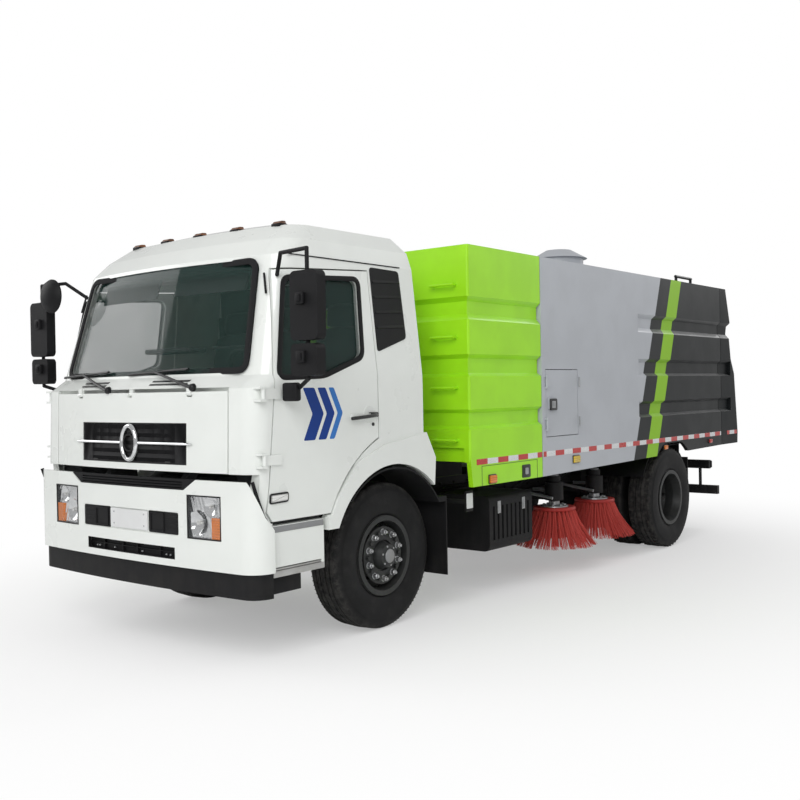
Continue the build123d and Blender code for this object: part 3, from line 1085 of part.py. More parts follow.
def make_brush_arm():
    """Left swing frame: pivot eye, long tube and two motor heads."""
    pieces = [rod_z(ARM_TUBE * 0.75, ARM_PIVOT_X, ARM_PIVOT_Y, ARM_Z - 60, ARM_Z + 60)]
    half = ARM_TUBE / 2
    tube_x = ARM_PIVOT_X + 45
    outline = [(ARM_PIVOT_X - 10, ya(ARM_PIVOT_Y)), (ARM_PIVOT_X + 10, ya(ARM_PIVOT_Y - 30)), (tube_x + half, ya(ARM_PIVOT_Y + 60)),
               (tube_x + half, ya(BRUSH_Y[1] + half)), (tube_x - half, ya(BRUSH_Y[1] + half)), (tube_x - half, ya(ARM_PIVOT_Y + 60))]
    beam = Pos(0, 0, ARM_Z - half) * extrude(make_face(Polyline(*outline, close=True)), amount=ARM_TUBE, dir=(0, 0, 1))
    pieces.append(beam)
    for y in BRUSH_Y:
        pieces.append(block(tube_x, BRUSH_X, y - half, y + half, ARM_Z - half, ARM_Z + half))
        pieces.append(rod_z(85, BRUSH_X, y, ARM_Z - half, ARM_Z + 130))
        pieces.append(rod_z(60, BRUSH_X, y, ARM_Z + 120, ARM_Z + 190))
        pieces.append(rod_z(BRUSH_SHAFT_R, BRUSH_X, y, BRUSH_RING_Z - 30, ARM_Z))
    return joined(pieces) - rod_z(ARM_PIN_R + BEARING_GAP, ARM_PIVOT_X, ARM_PIVOT_Y, ARM_Z - 90, ARM_Z + 90)


def make_arm_bracket():
    """Bracket and pin on the left rail that carry the swing frame."""
    low = block(RAIL_OUT_X, ARM_PIVOT_X + 40, ARM_PIVOT_Y - 60, ARM_PIVOT_Y + 60, ARM_Z - 76, ARM_Z - 60 - SEAT_GAP)
    high = block(RAIL_OUT_X, ARM_PIVOT_X + 40, ARM_PIVOT_Y - 60, ARM_PIVOT_Y + 60, ARM_Z + 60 + SEAT_GAP, ARM_Z + 76)
    plate = block(RAIL_OUT_X, RAIL_OUT_X + 12, ARM_PIVOT_Y - 60, ARM_PIVOT_Y + 60, ARM_Z - 76, ARM_Z + 160)
    pin = rod_z(ARM_PIN_R, ARM_PIVOT_X, ARM_PIVOT_Y, ARM_Z - 70, ARM_Z + 70)
    return joined([low, high, plate, pin])


def make_brush(x, y):
    """Disc brush: plate with boss, turned ring and flared bristle skirt."""
    ring_z = BRUSH_RING_Z
    points = [(BRUSH_SHAFT_R + BEARING_GAP, ring_z - 30), (BRUSH_SHAFT_R + BEARING_GAP, ring_z + 34), (70, ring_z + 34),
              (80, ring_z + 18), (BRUSH_RING_R - 20, ring_z + 18), (BRUSH_RING_R, ring_z), (BRUSH_RING_R + 6, ring_z - 55),
              (BRUSH_TIP_R, BRUSH_TIP_Z + 12), (BRUSH_TIP_R - 12, BRUSH_TIP_Z), (BRUSH_TIP_R - 110, BRUSH_TIP_Z + 10),
              (BRUSH_RING_R - 60, ring_z - 60), (BRUSH_RING_R - 70, ring_z - 30)]
    face = make_face(Plane.XZ * Polyline(*points, close=True))
    return Pos(x, ya(y), 0) * revolve(face, axis=Axis.Z, revolution_arc=360)


def make_suction_nozzle():
    """Wide nozzle box on the road behind the rear axle with its rising pipe."""
    low = Pos(0, ya((NOZZLE_FRONT_Y + NOZZLE_REAR_Y) / 2), NOZZLE_Z) * Rectangle(2 * NOZZLE_HALF, NOZZLE_REAR_Y - NOZZLE_FRONT_Y)
    high = Pos(0, ya((NOZZLE_FRONT_Y + NOZZLE_REAR_Y) / 2), NOZZLE_Z + NOZZLE_HEIGHT) * Rectangle(NOZZLE_HALF, PIPE_R * 2.4)
    hood = loft([low, high], ruled=True)
    skirt = block(-NOZZLE_HALF, NOZZLE_HALF, NOZZLE_FRONT_Y, NOZZLE_REAR_Y, NOZZLE_Z - 25, NOZZLE_Z)
    middle = (NOZZLE_FRONT_Y + NOZZLE_REAR_Y) / 2
    pipe = rod_z(PIPE_R, 0, middle, NOZZLE_Z + NOZZLE_HEIGHT - 10, BODY_FLOOR_Z - 25)
    collar = rod_z(PIPE_R + 25, 0, middle, BODY_FLOOR_Z - 75, BODY_FLOOR_Z - 20)
    hanger = block(-RAIL_OUT_X + RAIL_WALL, RAIL_OUT_X - RAIL_WALL, middle - 40, middle + 40, RAIL_TOP_Z - RAIL_HEIGHT + 10, RAIL_TOP_Z - RAIL_HEIGHT + 60)
    return joined([hood, skirt, pipe, collar, hanger])


def make_rear_bumper():
    """Upper lamp bar and lower underrun bar on brackets from the rails."""
    half_d = BAR_DEPTH / 2
    upper = block(-UPPER_BAR_HALF, UPPER_BAR_HALF, UPPER_BAR_Y - half_d, UPPER_BAR_Y + half_d, UPPER_BAR_Z[0], UPPER_BAR_Z[1])
    lower = block(-UNDERRUN_HALF, UNDERRUN_HALF, UPPER_BAR_Y - half_d, UPPER_BAR_Y + half_d, UNDERRUN_Z[0], UNDERRUN_Z[1])
    pieces = [upper, lower]
    for side in (-1, 1):
        x = side * (RAIL_OUT_X - RAIL_FLANGE / 2)
        pieces.append(block(x - 30, x + 30, RAIL_REAR_Y, UPPER_BAR_Y, RAIL_TOP_Z - RAIL_HEIGHT, RAIL_TOP_Z - RAIL_HEIGHT + 90))
        pieces.append(block(x - 30, x + 30, UPPER_BAR_Y - 28, UPPER_BAR_Y + 28, UNDERRUN_Z[0] + 20, UPPER_BAR_Z[0] + 20))
        for end in (-1, 1):
            pieces.append(rod_z(14, side * (UPPER_BAR_HALF - 120), UPPER_BAR_Y + end * 10, UNDERRUN_Z[1] - 10, UPPER_BAR_Z[0] + 10))
    return joined(pieces)


def cab_section(z, half, front, bow, corner, rear, inset):
    """Plan section of the cab at one height, drawn in by the inset."""
    half = half - inset
    front = front + inset
    rear = rear - inset
    corner = corner - inset * 0.8
    edge = front + bow
    shift = corner * (1 - math.sqrt(0.5))
    nose = ThreePointArc((-half + corner, ya(edge)), (0, ya(front)), (half - corner, ya(edge)))
    turn_r = ThreePointArc((half - corner, ya(edge)), (half - shift, ya(edge + shift)), (half, ya(edge + corner)))
    side_r = Line((half, ya(edge + corner)), (half, ya(rear)))
    back = Line((half, ya(rear)), (-half, ya(rear)))
    side_l = Line((-half, ya(rear)), (-half, ya(edge + corner)))
    turn_l = ThreePointArc((-half, ya(edge + corner)), (-half + shift, ya(edge + shift)), (-half + corner, ya(edge)))
    return Pos(0, 0, z) * make_face([nose, turn_r, side_r, back, side_l, turn_l])


def cab_body(inset):
    """Outer form of the cab, drawn in by the inset, as one closed solid."""
    rear_at = dict(CAB_ROOF_REAR)
    faces = []
    for z, half, front, bow, corner in CAB_SECTIONS:
        level = z - inset if z > ROOF_SEAM_Z else z
        if inset and z == CAB_SECTIONS[0][0]:
            level = z - 20
        faces.append(cab_section(level, half, front, bow, corner, rear_at.get(z, CAB_REAR_Y), inset))
    return loft(faces, ruled=True)


def rounded_prism_side(points, radius, x0, x1):
    """Side-view prism whose outline corners are rounded."""
    face = make_face(Polyline(*[(ya(y), z) for y, z in points], close=True))
    face = fillet(face.vertices(), radius)
    return Pos(x0, 0, 0) * extrude(Plane.YZ * face, amount=x1 - x0, dir=(1, 0, 0))


def rounded_prism_front(points, radius, y0, y1):
    """Front-view prism whose outline corners are rounded."""
    face = make_face(Polyline(*points, close=True))
    face = fillet(face.vertices(), radius)
    return Pos(0, ya(y0), 0) * extrude(Plane.XZ * face, amount=y1 - y0, dir=(0, 1, 0))


def door_prism(gap, x0, x1):
    """Side-view prism of the door opening, drawn in by the gap."""
    low = DOOR_EDGE[0][1] + gap
    p1 = (ya(DOOR_EDGE[0][0]) + gap, low)
    p2 = (ya(DOOR_EDGE[1][0]) - gap * 0.4, low)
    mid = (ya(DOOR_ARC_MIDDLE[0]) - gap * 0.6, DOOR_ARC_MIDDLE[1] + gap * 0.8)
    p3 = (ya(DOOR_LINE_REAR[0][0]) - gap, DOOR_LINE_REAR[0][1] + gap)
    p4 = (ya(DOOR_LINE_REAR[1][0]) - gap, DOOR_LINE_REAR[1][1] - gap)
    p5 = (ya(DOOR_LINE_FRONT[0][0]) + gap, DOOR_LINE_FRONT[0][1] - gap)
    p6 = (ya(DOOR_LINE_FRONT[1][0]) + gap, DOOR_LINE_FRONT[1][1])
    p7 = (ya(DOOR_LINE_FRONT[2][0]) + gap, DOOR_LINE_FRONT[2][1])
    edges = [Line(p1, p2), ThreePointArc(p2, mid, p3), Line(p3, p4), Line(p4, p5), Line(p5, p6), Line(p6, p7), Line(p7, p1)]
    prism = Pos(x0, 0, 0) * extrude(Plane.YZ * make_face(edges), amount=x1 - x0, dir=(1, 0, 0))
    pillar = [(x + gap, z) for x, z in DOOR_PILLAR_X] + [(x1 + 10, DOOR_PILLAR_X[-1][1]), (x1 + 10, DOOR_PILLAR_X[0][1])]
    return prism & front_prism(pillar, -1600, 600)


def screen_prism(margin):
    """Front-view prism of the windscreen opening."""
    points = [(-SCREEN_LOW_HALF + margin, SCREEN_LOW_Z + margin), (SCREEN_LOW_HALF - margin, SCREEN_LOW_Z + margin),
              (SCREEN_TOP_HALF - margin, SCREEN_TOP_Z - margin), (-SCREEN_TOP_HALF + margin, SCREEN_TOP_Z - margin)]
    return rounded_prism_front(points, SCREEN_RADIUS, -1500, -900)


def make_panel_lugs():
    """Lugs under the cowl that carry the front panel's pins."""
    lugs = []
    for x in PANEL_HINGE_X:
        neck = block(x - PANEL_LUG_HALF, x + PANEL_LUG_HALF, PANEL_PIVOT_Y - 11, PANEL_PIVOT_Y + 11, PANEL_PIVOT_Z, COWL_BOTTOM_Z + 8)
        eye = rod_x(PANEL_LUG_R, x - PANEL_LUG_HALF, x + PANEL_LUG_HALF, PANEL_PIVOT_Y, PANEL_PIVOT_Z)
        hole = rod_x(PANEL_PIN_R + SEAT_GAP, x - 40, x + 40, PANEL_PIVOT_Y, PANEL_PIVOT_Z)
        lugs.append((neck + eye) - hole)
    return lugs


def make_door_pins():
    """Left hinge pins with their leaves on the cab's front corner."""
    pieces = []
    for z in DOOR_HINGE_Z:
        pieces.append(rod_z(DOOR_PIN_R, DOOR_AXIS_X, DOOR_AXIS_Y, z - DOOR_HINGE_HALF - 14, z + DOOR_HINGE_HALF + 14))
        for end in (-1, 1):
            near = z + end * (DOOR_HINGE_HALF + SEAT_GAP)
            leaf = block(DOOR_AXIS_X - 50, DOOR_AXIS_X + DOOR_BARREL_R, DOOR_AXIS_Y - 36, DOOR_AXIS_Y + DOOR_BARREL_R,
                         near, near + end * 14)
            leaf = leaf - block(700, DOOR_AXIS_X - DOOR_BARREL_R, DOOR_AXIS_Y - 6, 0, near - 30, near + 30)
            pieces.append(leaf)
    return joined(pieces)


def make_door_barrels():
    """Left hinge barrels with their arms on the door skin."""
    pieces = []
    for z in DOOR_HINGE_Z:
        low = z - DOOR_HINGE_HALF
        top = z + DOOR_HINGE_HALF
        barrel = rod_z(DOOR_BARREL_R, DOOR_AXIS_X, DOOR_AXIS_Y, low, top)
        arm = block(DOOR_AXIS_X - 10, DOOR_AXIS_X, DOOR_AXIS_Y, DOOR_AXIS_Y + 150, low, top)
        foot = block(DOOR_AXIS_X - 22, DOOR_AXIS_X - 4, DOOR_AXIS_Y + 118, DOOR_AXIS_Y + 150, low, top)
        hole = rod_z(DOOR_PIN_R + SEAT_GAP, DOOR_AXIS_X, DOOR_AXIS_Y, low - 20, top + 20)
        pieces.append(joined([barrel, arm, foot]) - hole)
    return pieces


def split_cab():
    """Panels of the cab shell: roof, back, front, left and right sides, doors."""
    outer = cab_body(0)
    shell = outer - cab_body(CAB_WALL)
    far = CAB_BELT_HALF + 60
    both_doors = door_prism(0, 700, far) + mirrored(door_prism(0, 700, far))
    roof = shell & block(-far, far, -1600, 600, ROOF_SEAM_Z, 3000)
    mid = shell & block(-far, far, -1600, 600, FLOOR_BOTTOM_Z, ROOF_SEAM_Z)
    back = mid & block(-far, far, CAB_REAR_Y - CAB_WALL, 600, 1100, 2700)
    hole = block(-BACK_WINDOW_HALF, BACK_WINDOW_HALF, CAB_REAR_Y - CAB_WALL - 5, CAB_REAR_Y + 5, BACK_WINDOW_LOW_Z, BACK_WINDOW_TOP_Z)
    back = back - hole
    split = -1000.0
    front_low = block(-far, far, -1600, split, PANEL_BOTTOM_Z, ROOF_SEAM_Z)
    front = (shell & front_low) - both_doors
    panel_box = block(-PANEL_HALF, PANEL_HALF, -1600, FIREWALL_Y, PANEL_BOTTOM_Z - 5, COWL_BOTTOM_Z)
    front = less(front, [panel_box, screen_prism(0)])
    wall = block(-1000, 1000, FIREWALL_Y - FIREWALL_THICK, FIREWALL_Y, FLOOR_BOTTOM_Z, COWL_BOTTOM_Z + 30)
    front = joined([front + (wall & outer)] + make_panel_lugs())
    corner = shell & block(950, far, -1600, split, 700, PANEL_BOTTOM_Z)
    swept = side_prism([(-1600, 600), (-1232, 600), (-1212, 868), (-1262, 955), (-1275, 1060), (-1278, PANEL_BOTTOM_Z + 1),
                        (-1600, PANEL_BOTTOM_Z + 1)], 900, far)
    corner = less(corner, [swept, door_prism(0, 700, far)])
    rear_part = corner & block(900, far, -1100, split, 600, 1300)
    corner = corner - block(900, far, -1190, split, 600, PANEL_BOTTOM_Z + 1)
    pins = make_door_pins()
    front = joined([front, corner, mirrored(corner), pins, mirrored(pins)])
    side = shell & block(900, far, split, CAB_REAR_Y - CAB_WALL, FLOOR_BOTTOM_Z, ROOF_SEAM_Z)
    flare = side_prism([(-700, STEP_TOP_Z), (-600, 1000), (-400, 1225), (-100, 1330), (369, 1395), (478, 1202), (455, 930),
                        (300, 800), (-700, 800)], FLARE_IN_X, FLARE_OUT_X)
    side = (side + flare) - rod_x(CAB_ARCH_R, 900, far, 0, WHEEL_CENTRE_Z)
    side = side - door_prism(0, 700, far)
    side = side - block(900, far, 0, 500, 700, WHEEL_CENTRE_Z + 440)
    side = side - block(900, CAB_BELT_HALF, CAB_REAR_Y - CAB_WALL, CAB_REAR_Y, FLOOR_BOTTOM_Z, ROOF_SEAM_Z)
    return roof, back, front, side


def make_steps():
    """Left step housing below the door with two treads, open to the side."""
    box = block(STEP_IN_X, STEP_OUT_X, STEP_FRONT_Y, STEP_REAR_Y, STEP_BOTTOM_Z, STEP_TOP_Z)
    foot = block(STEP_IN_X + STEP_WALL, STEP_OUT_X + 5, STEP_FRONT_Y + STEP_WALL, STEP_REAR_Y - STEP_WALL,
                 STEP_BOTTOM_Z + STEP_WALL, STEP_BOTTOM_Z + 60)
    return box - foot


def make_cab_floor():
    """Floor with step wells beside the doors, and the tilt lugs below."""
    plate = block(-1098, 1098, FIREWALL_Y, CAB_REAR_Y - CAB_WALL, FLOOR_BOTTOM_Z, FLOOR_BOTTOM_Z + FLOOR_THICK)
    pieces = [plate]
    cuts = []
    for side in (-1, 1):
        cuts.append(block(side * STEP_IN_X, side * 1110, STEP_FRONT_Y, STEP_REAR_Y, FLOOR_BOTTOM_Z - 5, FLOOR_BOTTOM_Z + 50))
    floor = less(plate, cuts) & cab_body(CAB_WALL)
    pieces = [floor]
    for side in (-1, 1):
        outer = block(side * (STEP_IN_X - 16), side * 1090, STEP_FRONT_Y - 16, STEP_REAR_Y + 16, STEP_TOP_Z, FLOOR_BOTTOM_Z + 2)
        inner = block(side * STEP_IN_X, side * 1120, STEP_FRONT_Y, STEP_REAR_Y, STEP_TOP_Z + 16, FLOOR_BOTTOM_Z + 60)
        pieces.append((outer - inner) & cab_body(CAB_WALL + 6))
        x0 = side * TILT_LUG_X
        x1 = side * (TILT_LUG_X + TILT_LUG_WIDTH)
        lean = math.radians(46)
        far_y = TILT_PIVOT_Y + TILT_NECK * math.cos(lean)
        far_z = TILT_PIVOT_Z + TILT_NECK * math.sin(lean)
        wide_y = TILT_EYE_R * math.sin(lean)
        wide_z = TILT_EYE_R * math.cos(lean)
        lug = side_prism([(TILT_PIVOT_Y - wide_y, TILT_PIVOT_Z + wide_z), (TILT_PIVOT_Y + wide_y, TILT_PIVOT_Z - wide_z),
                          (far_y + wide_y, far_z - wide_z), (far_y - wide_y, far_z + wide_z)], x0, x1)
        lug = lug - block(x0 - 100, x1 + 100, TILT_PIVOT_Y - 60, 0, FLOOR_BOTTOM_Z + 5, FLOOR_BOTTOM_Z + 90)
        lug = lug + rod_x(TILT_EYE_R, x0, x1, TILT_PIVOT_Y, TILT_PIVOT_Z)
        pieces.append(lug - rod_x(TILT_PIN_R + BEARING_GAP, side * 300, side * 600, TILT_PIVOT_Y, TILT_PIVOT_Z))
    return joined(pieces)


def make_tilt_brackets():
    """Horns at the rail fronts with the pins that the cab tilts on."""
    pieces = []
    for side in (-1, 1):
        x0 = TILT_LUG_X - 36
        x1 = TILT_LUG_X - 6
        horn = side_prism([(RAIL_FRONT_Y, RAIL_TOP_Z - 60), (RAIL_FRONT_Y + 120, RAIL_TOP_Z - 60), (RAIL_FRONT_Y + 120, RAIL_TOP_Z),
                           (TILT_PIVOT_Y + 20, TILT_PIVOT_Z + 30), (TILT_PIVOT_Y - 25, TILT_PIVOT_Z + 25), (TILT_PIVOT_Y - 25, TILT_PIVOT_Z - 30),
                           (RAIL_FRONT_Y - 60, RAIL_TOP_Z - 60)], x0, x1)
        pin = rod_x(TILT_PIN_R, x0, TILT_LUG_X + TILT_LUG_WIDTH + 4, TILT_PIVOT_Y, TILT_PIVOT_Z)
        piece = horn + pin
        pieces.append(piece if side > 0 else mirrored(piece))
    return pieces


def make_front_panel():
    """Lift-up front panel with the grille opening."""
    skin = cab_body(0) - cab_body(PANEL_THICK)
    rear = FIREWALL_Y - FIREWALL_THICK - 3
    skin = skin & block(-PANEL_HALF + PANEL_GAP, PANEL_HALF - PANEL_GAP, -1600, rear, PANEL_BOTTOM_Z + 2, PANEL_TOP_Z)
    hole = block(-UPPER_GRILLE_HALF, UPPER_GRILLE_HALF, -1600, -1250, UPPER_GRILLE_LOW_Z, UPPER_GRILLE_TOP_Z)
    panel = skin - hole
    for x in PANEL_HINGE_X:
        half = PANEL_LUG_HALF + 4
        panel = panel - block(x - half, x + half, -1600, -1250, PANEL_PIVOT_Z - PANEL_LUG_R - 8, PANEL_TOP_Z + 10)
        panel = panel + rod_x(PANEL_PIN_R, x - half - 12, x + half + 12, PANEL_PIVOT_Y, PANEL_PIVOT_Z)
    return panel


def make_upper_grille():
    """Slatted grille set in the panel with a bar and a bare ring."""
    skin = cab_body(6) - cab_body(PANEL_THICK - 4)
    hole = block(-UPPER_GRILLE_HALF, UPPER_GRILLE_HALF, -1600, -1250, UPPER_GRILLE_LOW_Z, UPPER_GRILLE_TOP_Z)
    grille = skin & hole
    pitch = (UPPER_GRILLE_TOP_Z - UPPER_GRILLE_LOW_Z) / (UPPER_GRILLE_SLATS + 1)
    cuts = []
    for number in range(UPPER_GRILLE_SLATS + 1):
        low = UPPER_GRILLE_LOW_Z + pitch * number + pitch * 0.22
        cuts.append(block(-UPPER_GRILLE_HALF + 18, UPPER_GRILLE_HALF - 18, -1600, -1386, low, low + pitch * 0.5))
    grille = less(grille, cuts)
    middle_z = (UPPER_GRILLE_LOW_Z + UPPER_GRILLE_TOP_Z) / 2
    ring = rod_y(BADGE_RING_R, 0, -1414, -1392, middle_z) - rod_y(BADGE_RING_R - BADGE_RING_WALL, 0, -1500, -1300, middle_z)
    return grille + ring


def make_door(side_solid=None):
    """Left door with its window frame, hinge barrels and handle."""
    skin = cab_body(0) - cab_body(CAB_WALL)
    door = skin & door_prism(PANEL_GAP, 700, CAB_BELT_HALF + 60)
    door = door - block(700, CAB_BELT_HALF + 60, -1700, -1500, 800, 2700)
    door = door - rounded_prism_side(WINDOW, WINDOW_RADIUS, 700, CAB_BELT_HALF + 80)
    handle = block(CAB_BELT_HALF - 5, CAB_BELT_HALF + 22, -458, -190, 1520, 1552)
    return joined([door, handle] + make_door_barrels())


def make_door_glass():
    """Left door glass, set in the frame of the window opening."""
    skin = cab_body(GLASS_INSET + 12) - cab_body(GLASS_INSET + 12 + GLASS_THICK)
    return skin & rounded_prism_side(WINDOW, WINDOW_RADIUS, 700, CAB_BELT_HALF + 80)


def make_windscreen():
    """Bowed windscreen in its opening."""
    skin = cab_body(GLASS_INSET) - cab_body(GLASS_INSET + GLASS_THICK)
    return skin & screen_prism(0)


def make_back_window():
    """Glass of the cab's back window."""
    return block(-BACK_WINDOW_HALF, BACK_WINDOW_HALF, CAB_REAR_Y - 30, CAB_REAR_Y - 24, BACK_WINDOW_LOW_Z, BACK_WINDOW_TOP_Z)


def make_mirrors():
    """Left mirror set: bent arm on the door, main and wide heads, kerb head."""
    x_mid = (MIRROR_IN_X + MIRROR_OUT_X) / 2
    top_z = 2575.0
    pieces = []
    points = [(1045.0, ya(-1012), 2460.0), (1180.0, ya(-1110), top_z), (x_mid, ya(MIRROR_Y), top_z), (x_mid, ya(MIRROR_Y), 1790.0), (1149.0, ya(-1000), 1690.0)]
    for start, end in zip(points[:-1], points[1:]):
        pieces.append(tube_between(start, end, MIRROR_ARM_R))
    for point in points:
        pieces.append(Pos(*point) * Sphere(MIRROR_ARM_R))
    front = MIRROR_Y - MIRROR_DEPTH / 2
    rear = MIRROR_Y + MIRROR_DEPTH / 2
    main = block(MIRROR_IN_X, MIRROR_OUT_X, front, rear, 2020, 2440)
    main = fillet(main.edges().filter_by(Axis.Y), 40)
    wide = block(MIRROR_IN_X, MIRROR_OUT_X - 10, front, rear, 1805, 2000)
    wide = fillet(wide.edges().filter_by(Axis.Y), 35)
    pieces.extend([main, wide])
    return joined(pieces) - cab_body(0)


def make_dashboard():
    """Dashboard with the steering column and wheel."""
    dash_front = FIREWALL_Y + SEAT_GAP
    dash = side_prism([(dash_front, DASH_LOW_Z), (DASH_REAR_Y - 60, DASH_LOW_Z - 60), (DASH_REAR_Y, DASH_LOW_Z + 60),
                       (DASH_REAR_Y - 40, DASH_TOP_Z - 40), (-1080, DASH_TOP_Z), (dash_front + 60, DASH_TOP_Z - 10), (dash_front, COWL_BOTTOM_Z + 20)], -1060, 1060)
    column = tube_between((WHEEL_X, ya(-1000), 1640), (WHEEL_X, ya(WHEEL_Y), WHEEL_Z), 38)
    wheel_plane = Plane(origin=(WHEEL_X, ya(WHEEL_Y), WHEEL_Z), z_dir=(0, 240, 190))
    ring = wheel_plane * Torus(WHEEL_R, WHEEL_RIM)
    hub = wheel_plane * Cylinder(60, 40)
    spokes = [wheel_plane * Box(2 * WHEEL_R - 10, 34, 16), wheel_plane * (Pos(0, -WHEEL_R / 2, 0) * Box(34, WHEEL_R - 10, 16))]
    return joined([dash & cab_body(CAB_WALL + 12), column, ring, hub] + spokes)


def make_seat(x0, x1):
    """Seat with plinth, cushion, back and headrest."""
    floor = FLOOR_BOTTOM_Z + FLOOR_THICK
    cushion = side_prism([(SEAT_FRONT_Y, SEAT_BASE_Z + 10), (SEAT_FRONT_Y + 40, SEAT_BASE_Z + 120), (SEAT_REAR_Y - 160, SEAT_BASE_Z + 100),
                          (SEAT_REAR_Y - 90, SEAT_BACK_TOP_Z - 160), (SEAT_REAR_Y - 50, SEAT_BACK_TOP_Z), (SEAT_REAR_Y + 20, SEAT_BACK_TOP_Z),
                          (SEAT_REAR_Y + 10, SEAT_BASE_Z - 10)], x0, x1)
    plinth = block(x0 + 60, x1 - 60, SEAT_FRONT_Y + 90, SEAT_REAR_Y - 60, floor, SEAT_BASE_Z + 20)
    return cushion + plinth


def build_parts():
    """Every piece of the truck, by node name."""
    parts = {}
    rails = [make_frame_rails()] + make_subframe() + make_tip_posts() + make_lift_feet() + make_tilt_brackets()
    bracket = make_arm_bracket()
    parts["frame_rails"] = joined(rails + [bracket, mirrored(bracket)])
    parts["front_axle"] = make_front_axle()
    parts["rear_axle"] = make_rear_axle()
    parts["engine_block"] = make_engine_block()
    parts["battery_box"] = make_battery_box()
    parts["fuel_tank"] = make_fuel_tank()
    parts["bumper"] = make_bumper()
    parts["headlamp_left"] = make_headlamp()
    parts["headlamp_right"] = mirrored(parts["headlamp_left"])
    parts["lower_grille"] = make_lower_grille()
    parts["mudguard_left"] = make_mudguard()
    parts["mudguard_right"] = mirrored(parts["mudguard_left"])
    parts["rear_guard_left"] = make_rear_guard()
    parts["rear_guard_right"] = mirrored(parts["rear_guard_left"])
    parts["body_front"] = make_body_front()
    parts["suction_nozzle"] = make_suction_nozzle()
    parts["rear_bumper"] = make_rear_bumper()
    parts["knuckle_left"] = make_knuckle()
    parts["knuckle_right"] = mirrored(parts["knuckle_left"])
    parts["track_rod"] = make_track_rod()
    parts["front_rim_left"] = make_front_rim()
    parts["front_rim_right"] = mirrored(parts["front_rim_left"])
    parts["front_tyre_left"] = tyre_at(FRONT_WHEEL_X, 0)
    parts["front_tyre_right"] = mirrored(parts["front_tyre_left"])
    parts["rear_rims_left"] = make_rear_rims()
    parts["rear_rims_right"] = mirrored(parts["rear_rims_left"])
    parts["rear_tyres_left"] = make_rear_tyres()
    parts["rear_tyres_right"] = mirrored(parts["rear_tyres_left"])
    roof, back, front, side = split_cab()
    parts["cab_roof"] = roof
    parts["cab_back"] = back
    parts["cab_front"] = front
    parts["cab_side_left"] = side
    parts["cab_side_right"] = mirrored(side)
    parts["cab_floor"] = make_cab_floor()
    parts["steps_left"] = make_steps()
    parts["steps_right"] = mirrored(parts["steps_left"])
    parts["windscreen"] = make_windscreen()
    parts["back_window"] = make_back_window()
    parts["dashboard"] = make_dashboard()
    parts["driver_seat"] = make_seat(310, 830)
    parts["passenger_seat"] = make_seat(-860, 190)
    parts["front_panel"] = make_front_panel()
    parts["upper_grille"] = make_upper_grille()
    parts["door_left"] = make_door()
    parts["door_right"] = mirrored(parts["door_left"])
    parts["door_glass_left"] = make_door_glass()
    parts["door_glass_right"] = mirrored(parts["door_glass_left"])
    parts["mirrors_left"] = make_mirrors()
    parts["mirrors_right"] = mirrored(parts["mirrors_left"])
    parts["hopper"] = make_hopper()
    parts["access_door"] = make_access_door()
    parts["tailgate"] = make_tailgate()
    barrel = make_lift_barrel()
    parts["lift_barrels"] = Compound(children=[barrel, mirrored(barrel)])
    rod = make_lift_rod()
    parts["lift_rods"] = Compound(children=[rod, mirrored(rod)])
    arm = make_brush_arm()
    parts["brush_arm_left"] = arm
    parts["brush_arm_right"] = mirrored(arm)
    for number, y in enumerate(BRUSH_Y, 1):
        parts["brush_left_%d" % number] = make_brush(BRUSH_X, y)
        parts["brush_right_%d" % number] = make_brush(-BRUSH_X, y)
    return parts


def main():
    """Write one STEP file for each piece."""
    os.makedirs("parts", exist_ok=True)
    for name, solid in build_parts().items():
        export_step(solid, "parts/%s.step" % name)


if __name__ == "__main__":
    main()
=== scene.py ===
import json
import logging
import math
import random
from dataclasses import dataclass, field

import bmesh
import bpy
from mathutils import Matrix, Vector

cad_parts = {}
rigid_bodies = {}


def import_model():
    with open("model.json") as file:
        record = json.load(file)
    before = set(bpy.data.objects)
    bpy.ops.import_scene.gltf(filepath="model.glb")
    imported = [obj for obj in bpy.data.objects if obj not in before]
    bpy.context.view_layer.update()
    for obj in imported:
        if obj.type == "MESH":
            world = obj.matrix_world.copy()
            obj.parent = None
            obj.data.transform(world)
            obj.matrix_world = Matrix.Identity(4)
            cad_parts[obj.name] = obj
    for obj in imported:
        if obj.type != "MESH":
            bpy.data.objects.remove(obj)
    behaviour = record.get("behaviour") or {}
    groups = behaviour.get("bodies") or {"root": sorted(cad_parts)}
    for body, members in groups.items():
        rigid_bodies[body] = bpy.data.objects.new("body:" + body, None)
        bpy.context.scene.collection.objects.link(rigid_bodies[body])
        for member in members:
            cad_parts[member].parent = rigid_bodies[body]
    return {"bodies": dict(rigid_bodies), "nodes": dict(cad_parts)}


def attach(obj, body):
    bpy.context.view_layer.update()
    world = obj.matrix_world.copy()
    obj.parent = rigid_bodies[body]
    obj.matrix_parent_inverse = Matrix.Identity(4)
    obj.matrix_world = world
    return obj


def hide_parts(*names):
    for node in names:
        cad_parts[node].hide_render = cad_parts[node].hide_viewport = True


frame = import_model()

LOG = logging.getLogger("sweeper")
Point = tuple[float, float, float]
Flat = tuple[float, float]
AXLE_AT = -2.485
WHEELBASE = 4.5
WHEEL_R = 0.525
FRONT_WHEEL_X = 0.923
REAR_WHEEL_X = (0.784, 1.104)
BRUSH_X = 0.930
BRUSH_ROWS = (2.600, 3.380)


def at(rearwards: float) -> float:
    """Y in the row frame of a distance behind the front axle, in metres."""
    return rearwards + AXLE_AT


